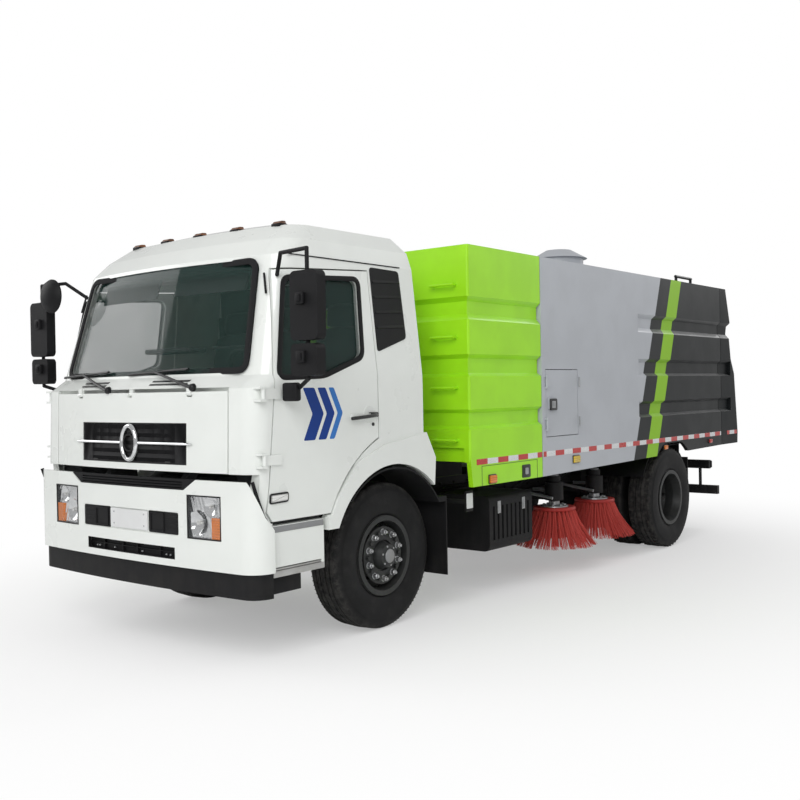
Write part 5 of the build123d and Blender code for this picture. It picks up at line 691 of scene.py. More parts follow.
class Shape:
    """A mesh being made, in metres in the row frame."""

    def __init__(self) -> None:
        """Starts empty."""
        self.bm = bmesh.new()

    def absorb(self, part: bmesh.types.BMesh, outwards: bool = True) -> "Shape":
        """Joins a finished part in and frees it.

        Args:
            part: the part's own mesh.
            outwards: whether its faces are turned to point outwards first.
        Returns:
            This shape.
        """
        if outwards:
            bmesh.ops.recalc_face_normals(part, faces=part.faces)
        held = bpy.data.meshes.new("held")
        part.to_mesh(held)
        part.free()
        self.bm.from_mesh(held)
        bpy.data.meshes.remove(held)
        return self

    def take(self, mesh: bpy.types.Mesh) -> "Shape":
        """Joins a plain mesh in and removes it. Returns this shape."""
        self.bm.from_mesh(mesh)
        bpy.data.meshes.remove(mesh)
        return self

    def faces(self, points: list[Point], faces: list[tuple[int, ...]], bevel: float = 0.0,
              segments: int = 2) -> "Shape":
        """Adds points and faces.

        Args:
            points: the points.
            faces: each face's points, by number.
            bevel: how far every edge is rounded, where above nothing.
            segments: how finely.
        Returns:
            This shape.
        """
        part = bmesh.new()
        made = [part.verts.new(p) for p in points]
        for face in faces:
            part.faces.new([made[i] for i in face])
        if bevel > 0.0:
            bmesh.ops.bevel(part, geom=list(part.edges), offset=bevel, segments=segments,
                            affect="EDGES", profile=0.5, clamp_overlap=True)
        return self.absorb(part)

    def block(self, low: Point, high: Point, bevel: float = 0.003, segments: int = 2) -> "Shape":
        """Adds a rounded block.

        Args:
            low: its lower corner.
            high: the corner across from it.
            bevel: how far its edges are rounded.
            segments: how finely.
        Returns:
            This shape.
        """
        (a, b, c), (d, e, f) = low, high
        points = [(a, b, c), (d, b, c), (d, e, c), (a, e, c), (a, b, f), (d, b, f), (d, e, f), (a, e, f)]
        sides = [(0, 3, 2, 1), (4, 5, 6, 7), (0, 1, 5, 4), (1, 2, 6, 5), (2, 3, 7, 6), (3, 0, 4, 7)]
        return self.faces(points, sides, bevel, segments)

    def prism(self, outline: list[Flat], axis: int, start: float, end: float,
              bevel: float = 0.002, segments: int = 2) -> "Shape":
        """Adds an outline drawn straight along an axis.

        Args:
            outline: its corners, in the two other axes in order.
            axis: 0, 1 or 2.
            start: where it begins on the axis.
            end: where it ends.
            bevel: how far its edges are rounded.
            segments: how finely.
        Returns:
            This shape.
        """
        count = len(outline)
        points = [lifted(axis, level, p) for level in (start, end) for p in outline]
        sides = [tuple(reversed(range(count))), tuple(range(count, 2 * count))]
        sides += [(i, (i + 1) % count, (i + 1) % count + count, i + count) for i in range(count)]
        return self.faces(points, sides, bevel, segments)

    def lathe(self, profile: list[Flat], centre: Point, axis: int, steps: int = 48,
              closed: bool = False) -> "Shape":
        """Adds a turned form.

        Args:
            profile: pairs of distance along the axis and radius.
            centre: the point on the axis that distances start from.
            axis: 0, 1 or 2.
            steps: how many flats it has.
            closed: whether the profile's end meets its start.
        Returns:
            This shape.
        """
        part = bmesh.new()
        rings = []
        for along, radius in profile:
            if radius < 1e-6:
                rings.append([part.verts.new(offset(centre, axis, along, 0.0, 0.0))])
                continue
            rings.append([part.verts.new(offset(centre, axis, along, radius * math.cos(t),
                                                radius * math.sin(t)))
                          for t in (math.tau * i / steps for i in range(steps))])
        pairs = list(zip(rings, rings[1:])) + ([(rings[-1], rings[0])] if closed else [])
        for low, high in pairs:
            for i in range(steps):
                j = (i + 1) % steps
                ring = [low[i % len(low)], low[j % len(low)], high[j % len(high)], high[i % len(high)]]
                unique = list(dict.fromkeys(ring))
                if len(unique) > 2:
                    part.faces.new(unique)
        if not closed:
            for ring in (rings[0], rings[-1]):
                if len(ring) > 2:
                    part.faces.new(ring)
        return self.absorb(part)

    def tube(self, path: list[Point], radius: float, sides: int = 10) -> "Shape":
        """Adds a round tube with closed ends.

        Args:
            path: the points that it runs through.
            radius: its radius.
            sides: how many flats it has.
        Returns:
            This shape.
        """
        points = [Vector(p) for p in path]
        part = bmesh.new()
        up = Vector((0.0, 0.0, 1.0))
        rings = []
        for i, here in enumerate(points):
            way = (points[min(i + 1, len(points) - 1)] - points[max(i - 1, 0)]).normalized()
            across = way.cross(up)
            if across.length < 0.05:
                across = way.cross(Vector((0.0, 1.0, 0.0)))
            across.normalize()
            if rings and across.dot(last) < 0.0:
                across.negate()
            last = across
            over = across.cross(way)
            rings.append([part.verts.new(here + (across * math.cos(t) + over * math.sin(t)) * radius)
                          for t in (math.tau * k / sides for k in range(sides))])
        skinned(part, rings)
        return self.absorb(part)

    def sheet(self, rows: list[list[Point]], thick: float = 0.0) -> "Shape":
        """Adds a surface through rows of points.

        Args:
            rows: the rows, of equal length.
            thick: its wall, where above nothing.
        Returns:
            This shape.
        """
        part = bmesh.new()
        made = [[part.verts.new(p) for p in row] for row in rows]
        for a, b in zip(made, made[1:]):
            for i in range(len(a) - 1):
                part.faces.new([a[i], a[i + 1], b[i + 1], b[i]])
        bmesh.ops.recalc_face_normals(part, faces=part.faces)
        if thick > 0.0:
            bmesh.ops.solidify(part, geom=list(part.faces), thickness=thick)
        return self.absorb(part)

    def loft(self, loops: list[list[Point]], closed: bool = False) -> "Shape":
        """Adds a solid skinned over closed loops of equal length.

        Args:
            loops: the loops, in order.
            closed: whether the last joins the first, or else both ends are capped.
        Returns:
            This shape.
        """
        part = bmesh.new()
        skinned(part, [[part.verts.new(p) for p in loop] for loop in loops], closed)
        return self.absorb(part)

    def moved(self, by: Matrix) -> "Shape":
        """Moves or turns all of it. Returns this shape."""
        self.bm.transform(by)
        return self

    def piece(self, name: str, finish: Finish, body: str, slot: str = "",
              replaces: tuple[str, ...] = (), sharp: float = 34.0) -> bpy.types.Object:
        """Turns the shape into a finished piece that rides on a body.

        Args:
            name: the piece's name.
            finish: what it is dressed with.
            body: the CAD body it rides on.
            slot: the record's material slot, or nothing; not used.
            replaces: CAD nodes that it stands for.
            sharp: the angle in degrees past which an edge stays sharp.
        Returns:
            The object.
        """
        bmesh.ops.remove_doubles(self.bm, verts=self.bm.verts, dist=1e-6)
        limit = math.radians(sharp)
        for edge in self.bm.edges:
            edge.smooth = len(edge.link_faces) == 2 and edge.calc_face_angle(0.0) < limit
        for face in self.bm.faces:
            face.smooth = True
        mesh = bpy.data.meshes.new(name)
        self.bm.to_mesh(mesh)
        self.bm.free()
        made = bpy.data.objects.new(name, mesh)
        bpy.context.scene.collection.objects.link(made)
        mesh.materials.clear()
        mesh.materials.append(finish.material(EFFECTS))
        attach(made, body)
        if replaces:
            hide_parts(*replaces)
        LOG.info("%s rides on %s", name, body)
        return made


def skinned(part: bmesh.types.BMesh, rings: list[list[bmesh.types.BMVert]],
            closed: bool = False) -> None:
    """Joins rings of vertices by faces, each ring to the next.

    Args:
        part: the mesh that holds them.
        rings: the rings, of equal length.
        closed: whether the last joins the first, or else both ends are capped.
    """
    for low, high in zip(rings, rings[1:] + (rings[:1] if closed else [])):
        for k in range(len(low)):
            j = (k + 1) % len(low)
            part.faces.new([low[k], low[j], high[j], high[k]])
    if not closed:
        part.faces.new(rings[0])
        part.faces.new(rings[-1])


def span(sign: float, near: float, far: float) -> Flat:
    """Two distances from the middle as X on one side, the lower first."""
    return tuple(sorted((sign * near, sign * far)))


def oblong(u0: float, z0: float, u1: float, z1: float) -> list[Flat]:
    """The four corners of an upright rectangle."""
    return [(u0, z0), (u1, z0), (u1, z1), (u0, z1)]


def lifted(axis: int, level: float, flat: Flat) -> Point:
    """A flat point put at a level on an axis, its two numbers on the other axes in order."""
    rest = iter(flat)
    return tuple(level if i == axis else next(rest) for i in range(3))


def offset(centre: Point, axis: int, along: float, a: float, b: float) -> Point:
    """A point beside an axis.

    Args:
        centre: the point on the axis that distances start from.
        axis: 0, 1 or 2.
        along: how far along the axis it lies.
        a: how far across, on the next axis.
        b: how far across, on the one after that.
    Returns:
        The point.
    """
    move = [0.0, 0.0, 0.0]
    move[axis], move[(axis + 1) % 3], move[(axis + 2) % 3] = along, a, b
    return tuple(centre[i] + move[i] for i in range(3))


def smooth_path(points: list[Point], steps: int = 8) -> list[Point]:
    """Points on a smooth curve.

    Args:
        points: what it runs through, from end to end.
        steps: how many points each stretch gets.
    Returns:
        The curve's points.
    """
    p = [Vector(q) for q in points]
    p = [p[0] * 2 - p[1]] + p + [p[-1] * 2 - p[-2]]
    made = []
    for i in range(1, len(p) - 2):
        for k in range(steps):
            t = k / steps
            made.append(tuple(0.5 * ((2 * p[i]) + (p[i + 1] - p[i - 1]) * t
                                     + (2 * p[i - 1] - 5 * p[i] + 4 * p[i + 1] - p[i + 2]) * t * t
                                     + (3 * p[i] - p[i - 1] - 3 * p[i + 1] + p[i + 2]) * t ** 3)))
    made.append(tuple(p[-2]))
    return made


def rounded(corners: list[Flat], radius: float, steps: int = 5) -> list[Flat]:
    """An outline whose corners are rounded.

    Args:
        corners: its corners.
        radius: how far each is rounded, or as far as its sides let it.
        steps: how finely.
    Returns:
        The outline's points.
    """
    made = []
    count = len(corners)
    for i in range(count):
        here, back, on = (Vector(corners[j % count]) for j in (i, i - 1, i + 1))
        reach = min(radius, (back - here).length * 0.45, (on - here).length * 0.45)
        a = here + (back - here).normalized() * reach
        b = here + (on - here).normalized() * reach
        for k in range(steps + 1):
            t = k / steps
            made.append(tuple(a * (1 - t) ** 2 + here * 2 * t * (1 - t) + b * t * t))
    return made


def grown(outline: list[Flat], by: float) -> list[Flat]:
    """An outline moved outwards.

    Args:
        outline: its points.
        by: how far, or inwards where it is below nothing.
    Returns:
        The moved points.
    """
    count = len(outline)
    area = sum(outline[i][0] * outline[(i + 1) % count][1] - outline[(i + 1) % count][0] * outline[i][1]
               for i in range(count))
    turn = math.copysign(1.0, area)
    made = []
    for i in range(count):
        back, on = Vector(outline[i - 1]), Vector(outline[(i + 1) % count])
        way = (on - back).normalized()
        made.append((outline[i][0] + way.y * by * turn, outline[i][1] - way.x * by * turn))
    return made


class Repeats:
    """Geometry Nodes trees that repeat an item round a ring or along a row."""

    def __init__(self) -> None:
        """Builds both trees."""
        self.ring_tree = self._tree("Ring Of Items", True)
        self.row_tree = self._tree("Row Of Items", False)

    @staticmethod
    def _tree(name: str, ring: bool) -> bpy.types.NodeTree:
        """Builds one tree.

        Args:
            name: the tree's name.
            ring: whether the items stand round a ring, or else along a row.
        Returns:
            The tree.
        """
        tree = bpy.data.node_groups.new(name, "GeometryNodeTree")
        face = tree.interface
        face.new_socket(name="Geometry", in_out="INPUT", socket_type="NodeSocketGeometry")
        for key, kind in (("Item", "NodeSocketObject"), ("Count", "NodeSocketInt"),
                          ("Radius", "NodeSocketFloat"), ("Step", "NodeSocketVector"),
                          ("Place", "NodeSocketVector"), ("Turn", "NodeSocketVector"),
                          ("Jitter", "NodeSocketVector"), ("Seed", "NodeSocketInt"),
                          ("Finish", "NodeSocketMaterial")):
            face.new_socket(name=key, in_out="INPUT", socket_type=kind)
        face.new_socket(name="Geometry", in_out="OUTPUT", socket_type="NodeSocketGeometry")
        w = Wiring(tree)
        given, out = w.add("NodeGroupInput"), w.add("NodeGroupOutput")
        if ring:
            points = w.add("GeometryNodeMeshCircle")
            w.put(points.inputs["Vertices"], given.outputs["Count"])
            w.put(points.inputs["Radius"], given.outputs["Radius"])
        else:
            points = w.add("GeometryNodeMeshLine")
            w.put(points.inputs["Count"], given.outputs["Count"])
            w.put(points.inputs["Offset"], given.outputs["Step"])
        info = w.add("GeometryNodeObjectInfo")
        w.put(info.inputs["Object"], given.outputs["Item"])
        spread = w.add("GeometryNodeInstanceOnPoints")
        w.put(spread.inputs["Points"], points.outputs["Mesh"])
        w.put(spread.inputs["Instance"], info.outputs["Geometry"])
        if ring:
            face_out = w.add("FunctionNodeAlignRotationToVector", axis="X", pivot_axis="Z")
            w.put(face_out.inputs["Vector"], w.add("GeometryNodeInputPosition").outputs[0])
            w.put(spread.inputs["Rotation"], face_out.outputs["Rotation"])
        loose = w.add("FunctionNodeRandomValue", data_type="FLOAT_VECTOR")
        low = w.add("ShaderNodeVectorMath", operation="SCALE")
        low.inputs["Scale"].default_value = -1.0
        w.put(low.inputs[0], given.outputs["Jitter"])
        w.put(loose.inputs["Min"], low.outputs[0])
        w.put(loose.inputs["Max"], given.outputs["Jitter"])
        w.put(loose.inputs["Seed"], given.outputs["Seed"])
        tilt = w.add("GeometryNodeRotateInstances")
        w.put(tilt.inputs["Instances"], spread.outputs[0])
        w.put(tilt.inputs["Rotation"], loose.outputs["Value"])
        move = w.add("GeometryNodeTransform")
        w.put(move.inputs["Geometry"], tilt.outputs[0])
        w.put(move.inputs["Translation"], given.outputs["Place"])
        w.put(move.inputs["Rotation"], given.outputs["Turn"])
        real = w.add("GeometryNodeRealizeInstances")
        w.put(real.inputs[0], move.outputs[0])
        dress = w.add("GeometryNodeSetMaterial")
        w.put(dress.inputs["Geometry"], real.outputs[0])
        w.put(dress.inputs["Material"], given.outputs["Finish"])
        w.put(out.inputs[0], dress.outputs[0])
        return tree

    def _run(self, tree: bpy.types.NodeTree, item: Shape, values: dict[str, object]) -> bpy.types.Mesh:
        """Runs a tree on an item and gives the result as a plain mesh.

        Args:
            tree: the tree.
            item: the item's shape, about the origin. It is used up.
            values: each input's value by its name.
        Returns:
            The mesh.
        """
        held = bpy.data.meshes.new("item")
        item.bm.to_mesh(held)
        item.bm.free()
        one = bpy.data.objects.new("item", held)
        carrier = bpy.data.objects.new("carrier", bpy.data.meshes.new("carrier"))
        for thing in (one, carrier):
            bpy.context.scene.collection.objects.link(thing)
        modifier = carrier.modifiers.new("repeat", "NODES")
        modifier.node_group = tree
        keys = {s.name: s.identifier for s in tree.interface.items_tree if s.in_out == "INPUT"}
        for key, value in {**values, "Item": one}.items():
            modifier[keys[key]] = value
        bpy.context.view_layer.update()
        ready = carrier.evaluated_get(bpy.context.evaluated_depsgraph_get())
        mesh = bpy.data.meshes.new_from_object(ready)
        carrier.modifiers.remove(modifier)
        for thing in (one, carrier):
            data = thing.data
            bpy.data.objects.remove(thing)
            bpy.data.meshes.remove(data)
        return mesh

    def ring(self, into: Shape, item: Shape, count: int, radius: float, place: Point,
             axis: int = 2, phase: float = 0.0, jitter: Point = (0.0, 0.0, 0.0),
             seed: int = 1) -> Shape:
        """Adds items round a ring, each with its X pointing out from the middle.

        Args:
            into: the shape they join.
            item: one item about the origin, with Z along the ring's axis.
            count: how many.
            radius: the ring's radius.
            place: the ring's centre.
            axis: the axis it turns about, 0, 1 or 2.
            phase: how far it is turned, in degrees.
            jitter: how far each item may be tilted at random, in degrees.
            seed: the tilt's seed.
        Returns:
            The shape.
        """
        spin = Matrix.Rotation(math.radians(phase), 4, "Z")
        lay = {0: Matrix.Rotation(math.pi / 2, 4, "Y"), 1: Matrix.Rotation(-math.pi / 2, 4, "X"),
               2: Matrix.Identity(4)}[axis]
        turn = (lay @ spin).to_euler()
        return into.take(self._run(self.ring_tree, item, {
            "Count": count, "Radius": radius, "Place": place, "Turn": tuple(turn),
            "Jitter": tuple(math.radians(j) for j in jitter), "Seed": seed}))

    def row(self, into: Shape, item: Shape, count: int, start: Point, step: Point,
            jitter: Point = (0.0, 0.0, 0.0), seed: int = 1) -> Shape:
        """Adds items along a row.

        Args:
            into: the shape they join.
            item: one item about the origin.
            count: how many.
            start: where the first one stands.
            step: from each to the next.
            jitter: how far each may be tilted at random, in degrees.
            seed: the tilt's seed.
        Returns:
            The shape.
        """
        return into.take(self._run(self.row_tree, item, {
            "Count": count, "Step": step, "Place": start,
            "Jitter": tuple(math.radians(j) for j in jitter), "Seed": seed}))


EFFECTS = Effects()
REPEATS = Repeats()
PI = math.pi
SIDES = ((1.0, "left"), (-1.0, "right"))


@dataclass
class Dressing:
    """Puts a finish on each CAD node that shows."""

    finishes: dict[str, Finish] = field(default_factory=lambda: {
        "chassis_paint": Paintbox.CHASSIS, "castings": Paintbox.CASTING,
        "black_plastic": Paintbox.PLASTIC, "tank_metal": Paintbox.TANK,
        "white_paint": Paintbox.WHITE, "lamp_glass": Paintbox.REFLECTOR,
        "lime_paint": Paintbox.LIME, "grey_paint": Paintbox.BODY,
        "black_paint": Paintbox.BODY_BLACK, "steel": Paintbox.STEEL,
        "wheel_paint": Paintbox.WHEEL, "tyre": Rubber("tyre_plain", (0.02, 0.02, 0.021), 0.8),
        "glass": Paintbox.GLASS, "seat_fabric": Paintbox.SEAT, "red_bristle": Paintbox.BRISTLE})
    own: dict[str, Finish] = field(default_factory=lambda: {
        "windscreen": Paintbox.SCREEN, "lift_rods": Paintbox.ROD, "dashboard": Paintbox.CABIN,
        "upper_grille": Paintbox.TRIM, "cab_floor": Paintbox.CABIN})

    def dress(self) -> None:
        """Gives every node its slot's finish, or its own."""
        for node, made in frame["nodes"].items():
            slot = made.data.materials[0].name.split(".")[0]
            finish = self.own.get(node, self.finishes.get(slot, Paintbox.PLASTIC))
            made.material_slots[0].link = "DATA"
            made.material_slots[0].material = finish.material(EFFECTS)
            LOG.info("%s wears %s", node, finish.name)


@dataclass
class Studio:
    """The floor, the soft lights and the camera."""

    eye: Point = (5.6430, -7.9570, 1.7138)
    yaw: float = 0.88694
    pitch: float = -0.00969
    roll: float = -0.01793
    lens: float = 44.854
    shift: Flat = (0.00458, -0.00114)
    sky: float = 0.50
    glossy_sky: float = 0.42
    lamp_size: float = 6.0
    lamps: tuple[tuple[str, Point, float], ...] = (
        ("key", (5.6, -10.6, 7.2), 600.0), ("fill", (-8.0, -6.0, 6.0), 220.0),
        ("rear", (3.0, 10.0, 7.0), 320.0))

    def camera(self) -> bpy.types.Object:
        """Makes the camera at the photograph's place. Returns it."""
        ahead = Vector((-math.cos(self.yaw) * math.cos(self.pitch),
                        math.sin(self.yaw) * math.cos(self.pitch), math.sin(self.pitch)))
        right = ahead.cross(Vector((0.0, 0.0, 1.0))).normalized()
        up = right.cross(ahead)
        turned = right * math.cos(self.roll) + up * math.sin(self.roll)
        over = up * math.cos(self.roll) - right * math.sin(self.roll)
        data = bpy.data.cameras.new("photo_camera")
        data.lens, data.sensor_width = self.lens, 36.0
        data.shift_x, data.shift_y = self.shift
        made = bpy.data.objects.new("photo_camera", data)
        bpy.context.scene.collection.objects.link(made)
        made.matrix_world = Matrix((
            (turned.x, over.x, -ahead.x, self.eye[0]), (turned.y, over.y, -ahead.y, self.eye[1]),
            (turned.z, over.z, -ahead.z, self.eye[2]), (0.0, 0.0, 0.0, 1.0)))
        bpy.context.scene.camera = made
        return made

    def lamp(self, name: str, place: Point, power: float) -> None:
        """Hangs one square soft lamp that faces the truck.

        Args:
            name: its name.
            place: where it hangs.
            power: its power in watts.
        """
        data = bpy.data.lights.new(name, "AREA")
        data.shape, data.size, data.energy = "SQUARE", self.lamp_size, power
        made = bpy.data.objects.new(name, data)
        bpy.context.scene.collection.objects.link(made)
        made.location = place
        made.rotation_euler = (Vector((0.0, 0.0, 1.2)) - Vector(place)).to_track_quat("-Z", "Y").to_euler()

    def world(self) -> None:
        """A pale sky that lights softly and shows white."""
        world = bpy.data.worlds.new("pale_studio")
        bpy.context.scene.world = world
        world.use_nodes = True
        w = Wiring(world.node_tree)
        path = w.add("ShaderNodeLightPath")
        seen = w.math("MAXIMUM", path.outputs["Is Camera Ray"],
                      w.math("MAXIMUM", w.math("MULTIPLY", path.outputs["Is Glossy Ray"], self.glossy_sky),
                             path.outputs["Is Transmission Ray"]))
        back = w.add("ShaderNodeBackground")
        back.inputs["Color"].default_value = (1.0, 1.0, 1.0, 1.0)
        w.put(back.inputs["Strength"], w.math("MAXIMUM", seen, self.sky))
        w.put(w.add("ShaderNodeOutputWorld").inputs[0], back.outputs[0])

    def floor(self) -> None:
        """A wide pale floor that keeps the truck's shadow."""
        shape = Shape().block((-60.0, -60.0, -0.06), (60.0, 60.0, 0.0), 0.0)
        bmesh.ops.remove_doubles(shape.bm, verts=shape.bm.verts, dist=1e-6)
        mesh = bpy.data.meshes.new("floor")
        shape.bm.to_mesh(mesh)
        shape.bm.free()
        made = bpy.data.objects.new("floor", mesh)
        bpy.context.scene.collection.objects.link(made)
        mesh.materials.append(self.floor_finish())

    @staticmethod
    def floor_finish() -> bpy.types.Material:
        """White seen by the camera away from the shadow, pale grey to the light."""
        made = bpy.data.materials.new("pale_floor")
        made.use_nodes = True
        w = Wiring(made.node_tree)
        place = w.place()
        speck = w.noise(place, 60.0, 4.0, 0.6)
        matt = w.add("ShaderNodeBsdfDiffuse")
        w.put(matt.inputs["Color"], w.mix(speck, (0.90, 0.90, 0.90), (0.94, 0.94, 0.94)))
        glow = w.add("ShaderNodeEmission")
        glow.inputs["Color"].default_value = (1.0, 1.0, 1.0, 1.0)
        glow.inputs["Strength"].default_value = 1.0
        far = w.add("ShaderNodeVectorMath", operation="LENGTH")
        w.put(far.inputs[0], w.stretched(place, (0.16, 0.11, 1.0)))
        share = w.math("MULTIPLY", w.add("ShaderNodeLightPath").outputs["Is Camera Ray"],
                       w.ramp(far.outputs["Value"], 0.25, 0.85, 0.35, 1.0))
        both = w.add("ShaderNodeMixShader")
        w.put(both.inputs[0], share)
        w.put(both.inputs[1], matt.outputs[0])
        w.put(both.inputs[2], glow.outputs[0])
        w.put(w.add("ShaderNodeOutputMaterial").inputs["Surface"], both.outputs[0])
        return made

    def build(self) -> None:
        """Sets up everything but the truck."""
        bpy.context.scene.view_settings.view_transform = "Standard"
        self.camera()
        self.world()
        for lamp in self.lamps:
            self.lamp(*lamp)
        self.floor()


def clear_start_up() -> None:
    """Removes what a new file holds, such as its cube, lamp and camera."""
    kept = set(frame["nodes"].values()) | set(frame["bodies"].values())
    for thing in list(bpy.data.objects):
        if thing not in kept:
            bpy.data.objects.remove(thing)


@dataclass
class Tyres:
    """Rubber tyres with ribbed treads, which stand for the plain CAD ones."""

    radius: float = WHEEL_R
    half: float = 0.139
    ribs: tuple[Flat, ...] = ((0.0, 0.020), (0.031, 0.059), (0.070, 0.104))
    groove: float = 0.013
    lugs: int = 52
    lug_turn: float = 12.0
    nicks: int = 96

    def profile(self, drop: float) -> list[Flat]:
        """The cross-section, from the middle of the tread round to the bead and back.

        Args:
            drop: how far the shoulder's floor lies below the tread, for the lugs.
        Returns:
            Pairs of distance from the tyre's middle and radius.
        """
        top = self.radius
        half: list[Flat] = []
        for number, (start, end) in enumerate(self.ribs):
            level = top - (drop if number == 2 else 0.0) - 0.002 * number
            half += [(start, level - (0.0 if number == 0 else 0.001)), (start + 0.002, level),
                     (end - 0.002, level - 0.0008), (end, level - 0.002)]
            if number < 2:
                gap = self.ribs[number + 1][0]
                half += [(end + 0.002, top - self.groove), (gap - 0.002, top - self.groove)]
        half[0] = (0.0, top)
        half += [(0.112, 0.5125 - drop), (0.1185, 0.502), (0.1265, 0.484), (0.1315, 0.468),
                 (0.1335, 0.460), (0.1350, 0.462), (0.1372, 0.440), (self.half, 0.408),
                 (0.1384, 0.372), (0.1335, 0.338), (0.1275, 0.318), (0.1270, 0.312), (0.1215, 0.302),
                 (0.1150, 0.2935), (0.1085, 0.2885), (0.1010, 0.276), (0.0985, 0.2625)]
        back = [(-x, r) for x, r in reversed(half[1:])]
        return half + back

    def skin(self, x: float, y: float, drop: float) -> Shape:
        """One tyre about its wheel's centre.

        Args:
            x: the wheel's middle.
            y: its axle.
            drop: how deep the shoulder lugs stand, or nothing for a ribbed tyre.
        Returns:
            Its shape.
        """
        shape = Shape().lathe(self.profile(drop), (x, y, self.radius), 0, 84, closed=True)
        for side in (-1.0, 1.0):
            if drop > 0.0:
                item = Shape().block((-0.010, -0.0105, -0.019), (0.0, 0.0105, 0.019), 0.0015, 1)
                item.moved(Matrix.Rotation(math.radians(self.lug_turn * side), 4, "X"))
                count, down, across = self.lugs, 0.0025, 0.088
            else:
                item = Shape().block((-0.004, -0.0022, -0.006), (0.0, 0.0022, 0.006), 0.0, 1)
                count, down, across = self.nicks, 0.0100, 0.1105
            REPEATS.ring(shape, item, count, self.radius - down,
                         (x + side * across, y, self.radius), 0, 180.0 / self.lugs)
        return shape

    def build(self) -> None:
        """Builds every tyre: one piece for each turning body."""
        front = Rubber("tyre_front_rubber", (0.008, 0.008, 0.0085), 0.66, spread=0.2, depth=0.35,
                       dust=0.0, shine=0.25, centre=(at(0.0), self.radius))
        rear = Rubber("tyre_rear_rubber", (0.008, 0.008, 0.0085), 0.66, spread=0.2, depth=0.35,
                      dust=0.0, shine=0.25, centre=(at(WHEELBASE), self.radius))
        for sign, side in SIDES:
            self.skin(sign * FRONT_WHEEL_X, at(0.0), 0.0).piece(
                f"tyre_skin_front_{side}", front, f"wheel_front_{side}", "tyre",
                (f"front_tyre_{side}",), 28.0)
            pair = self.skin(sign * REAR_WHEEL_X[0], at(WHEELBASE), 0.008)
            other = self.skin(sign * REAR_WHEEL_X[1], at(WHEELBASE), 0.008)
            pair.absorb(other.bm, False).piece(
                f"tyre_skins_rear_{side}", rear, f"wheels_rear_{side}", "tyre",
                (f"rear_tyres_{side}",), 28.0)


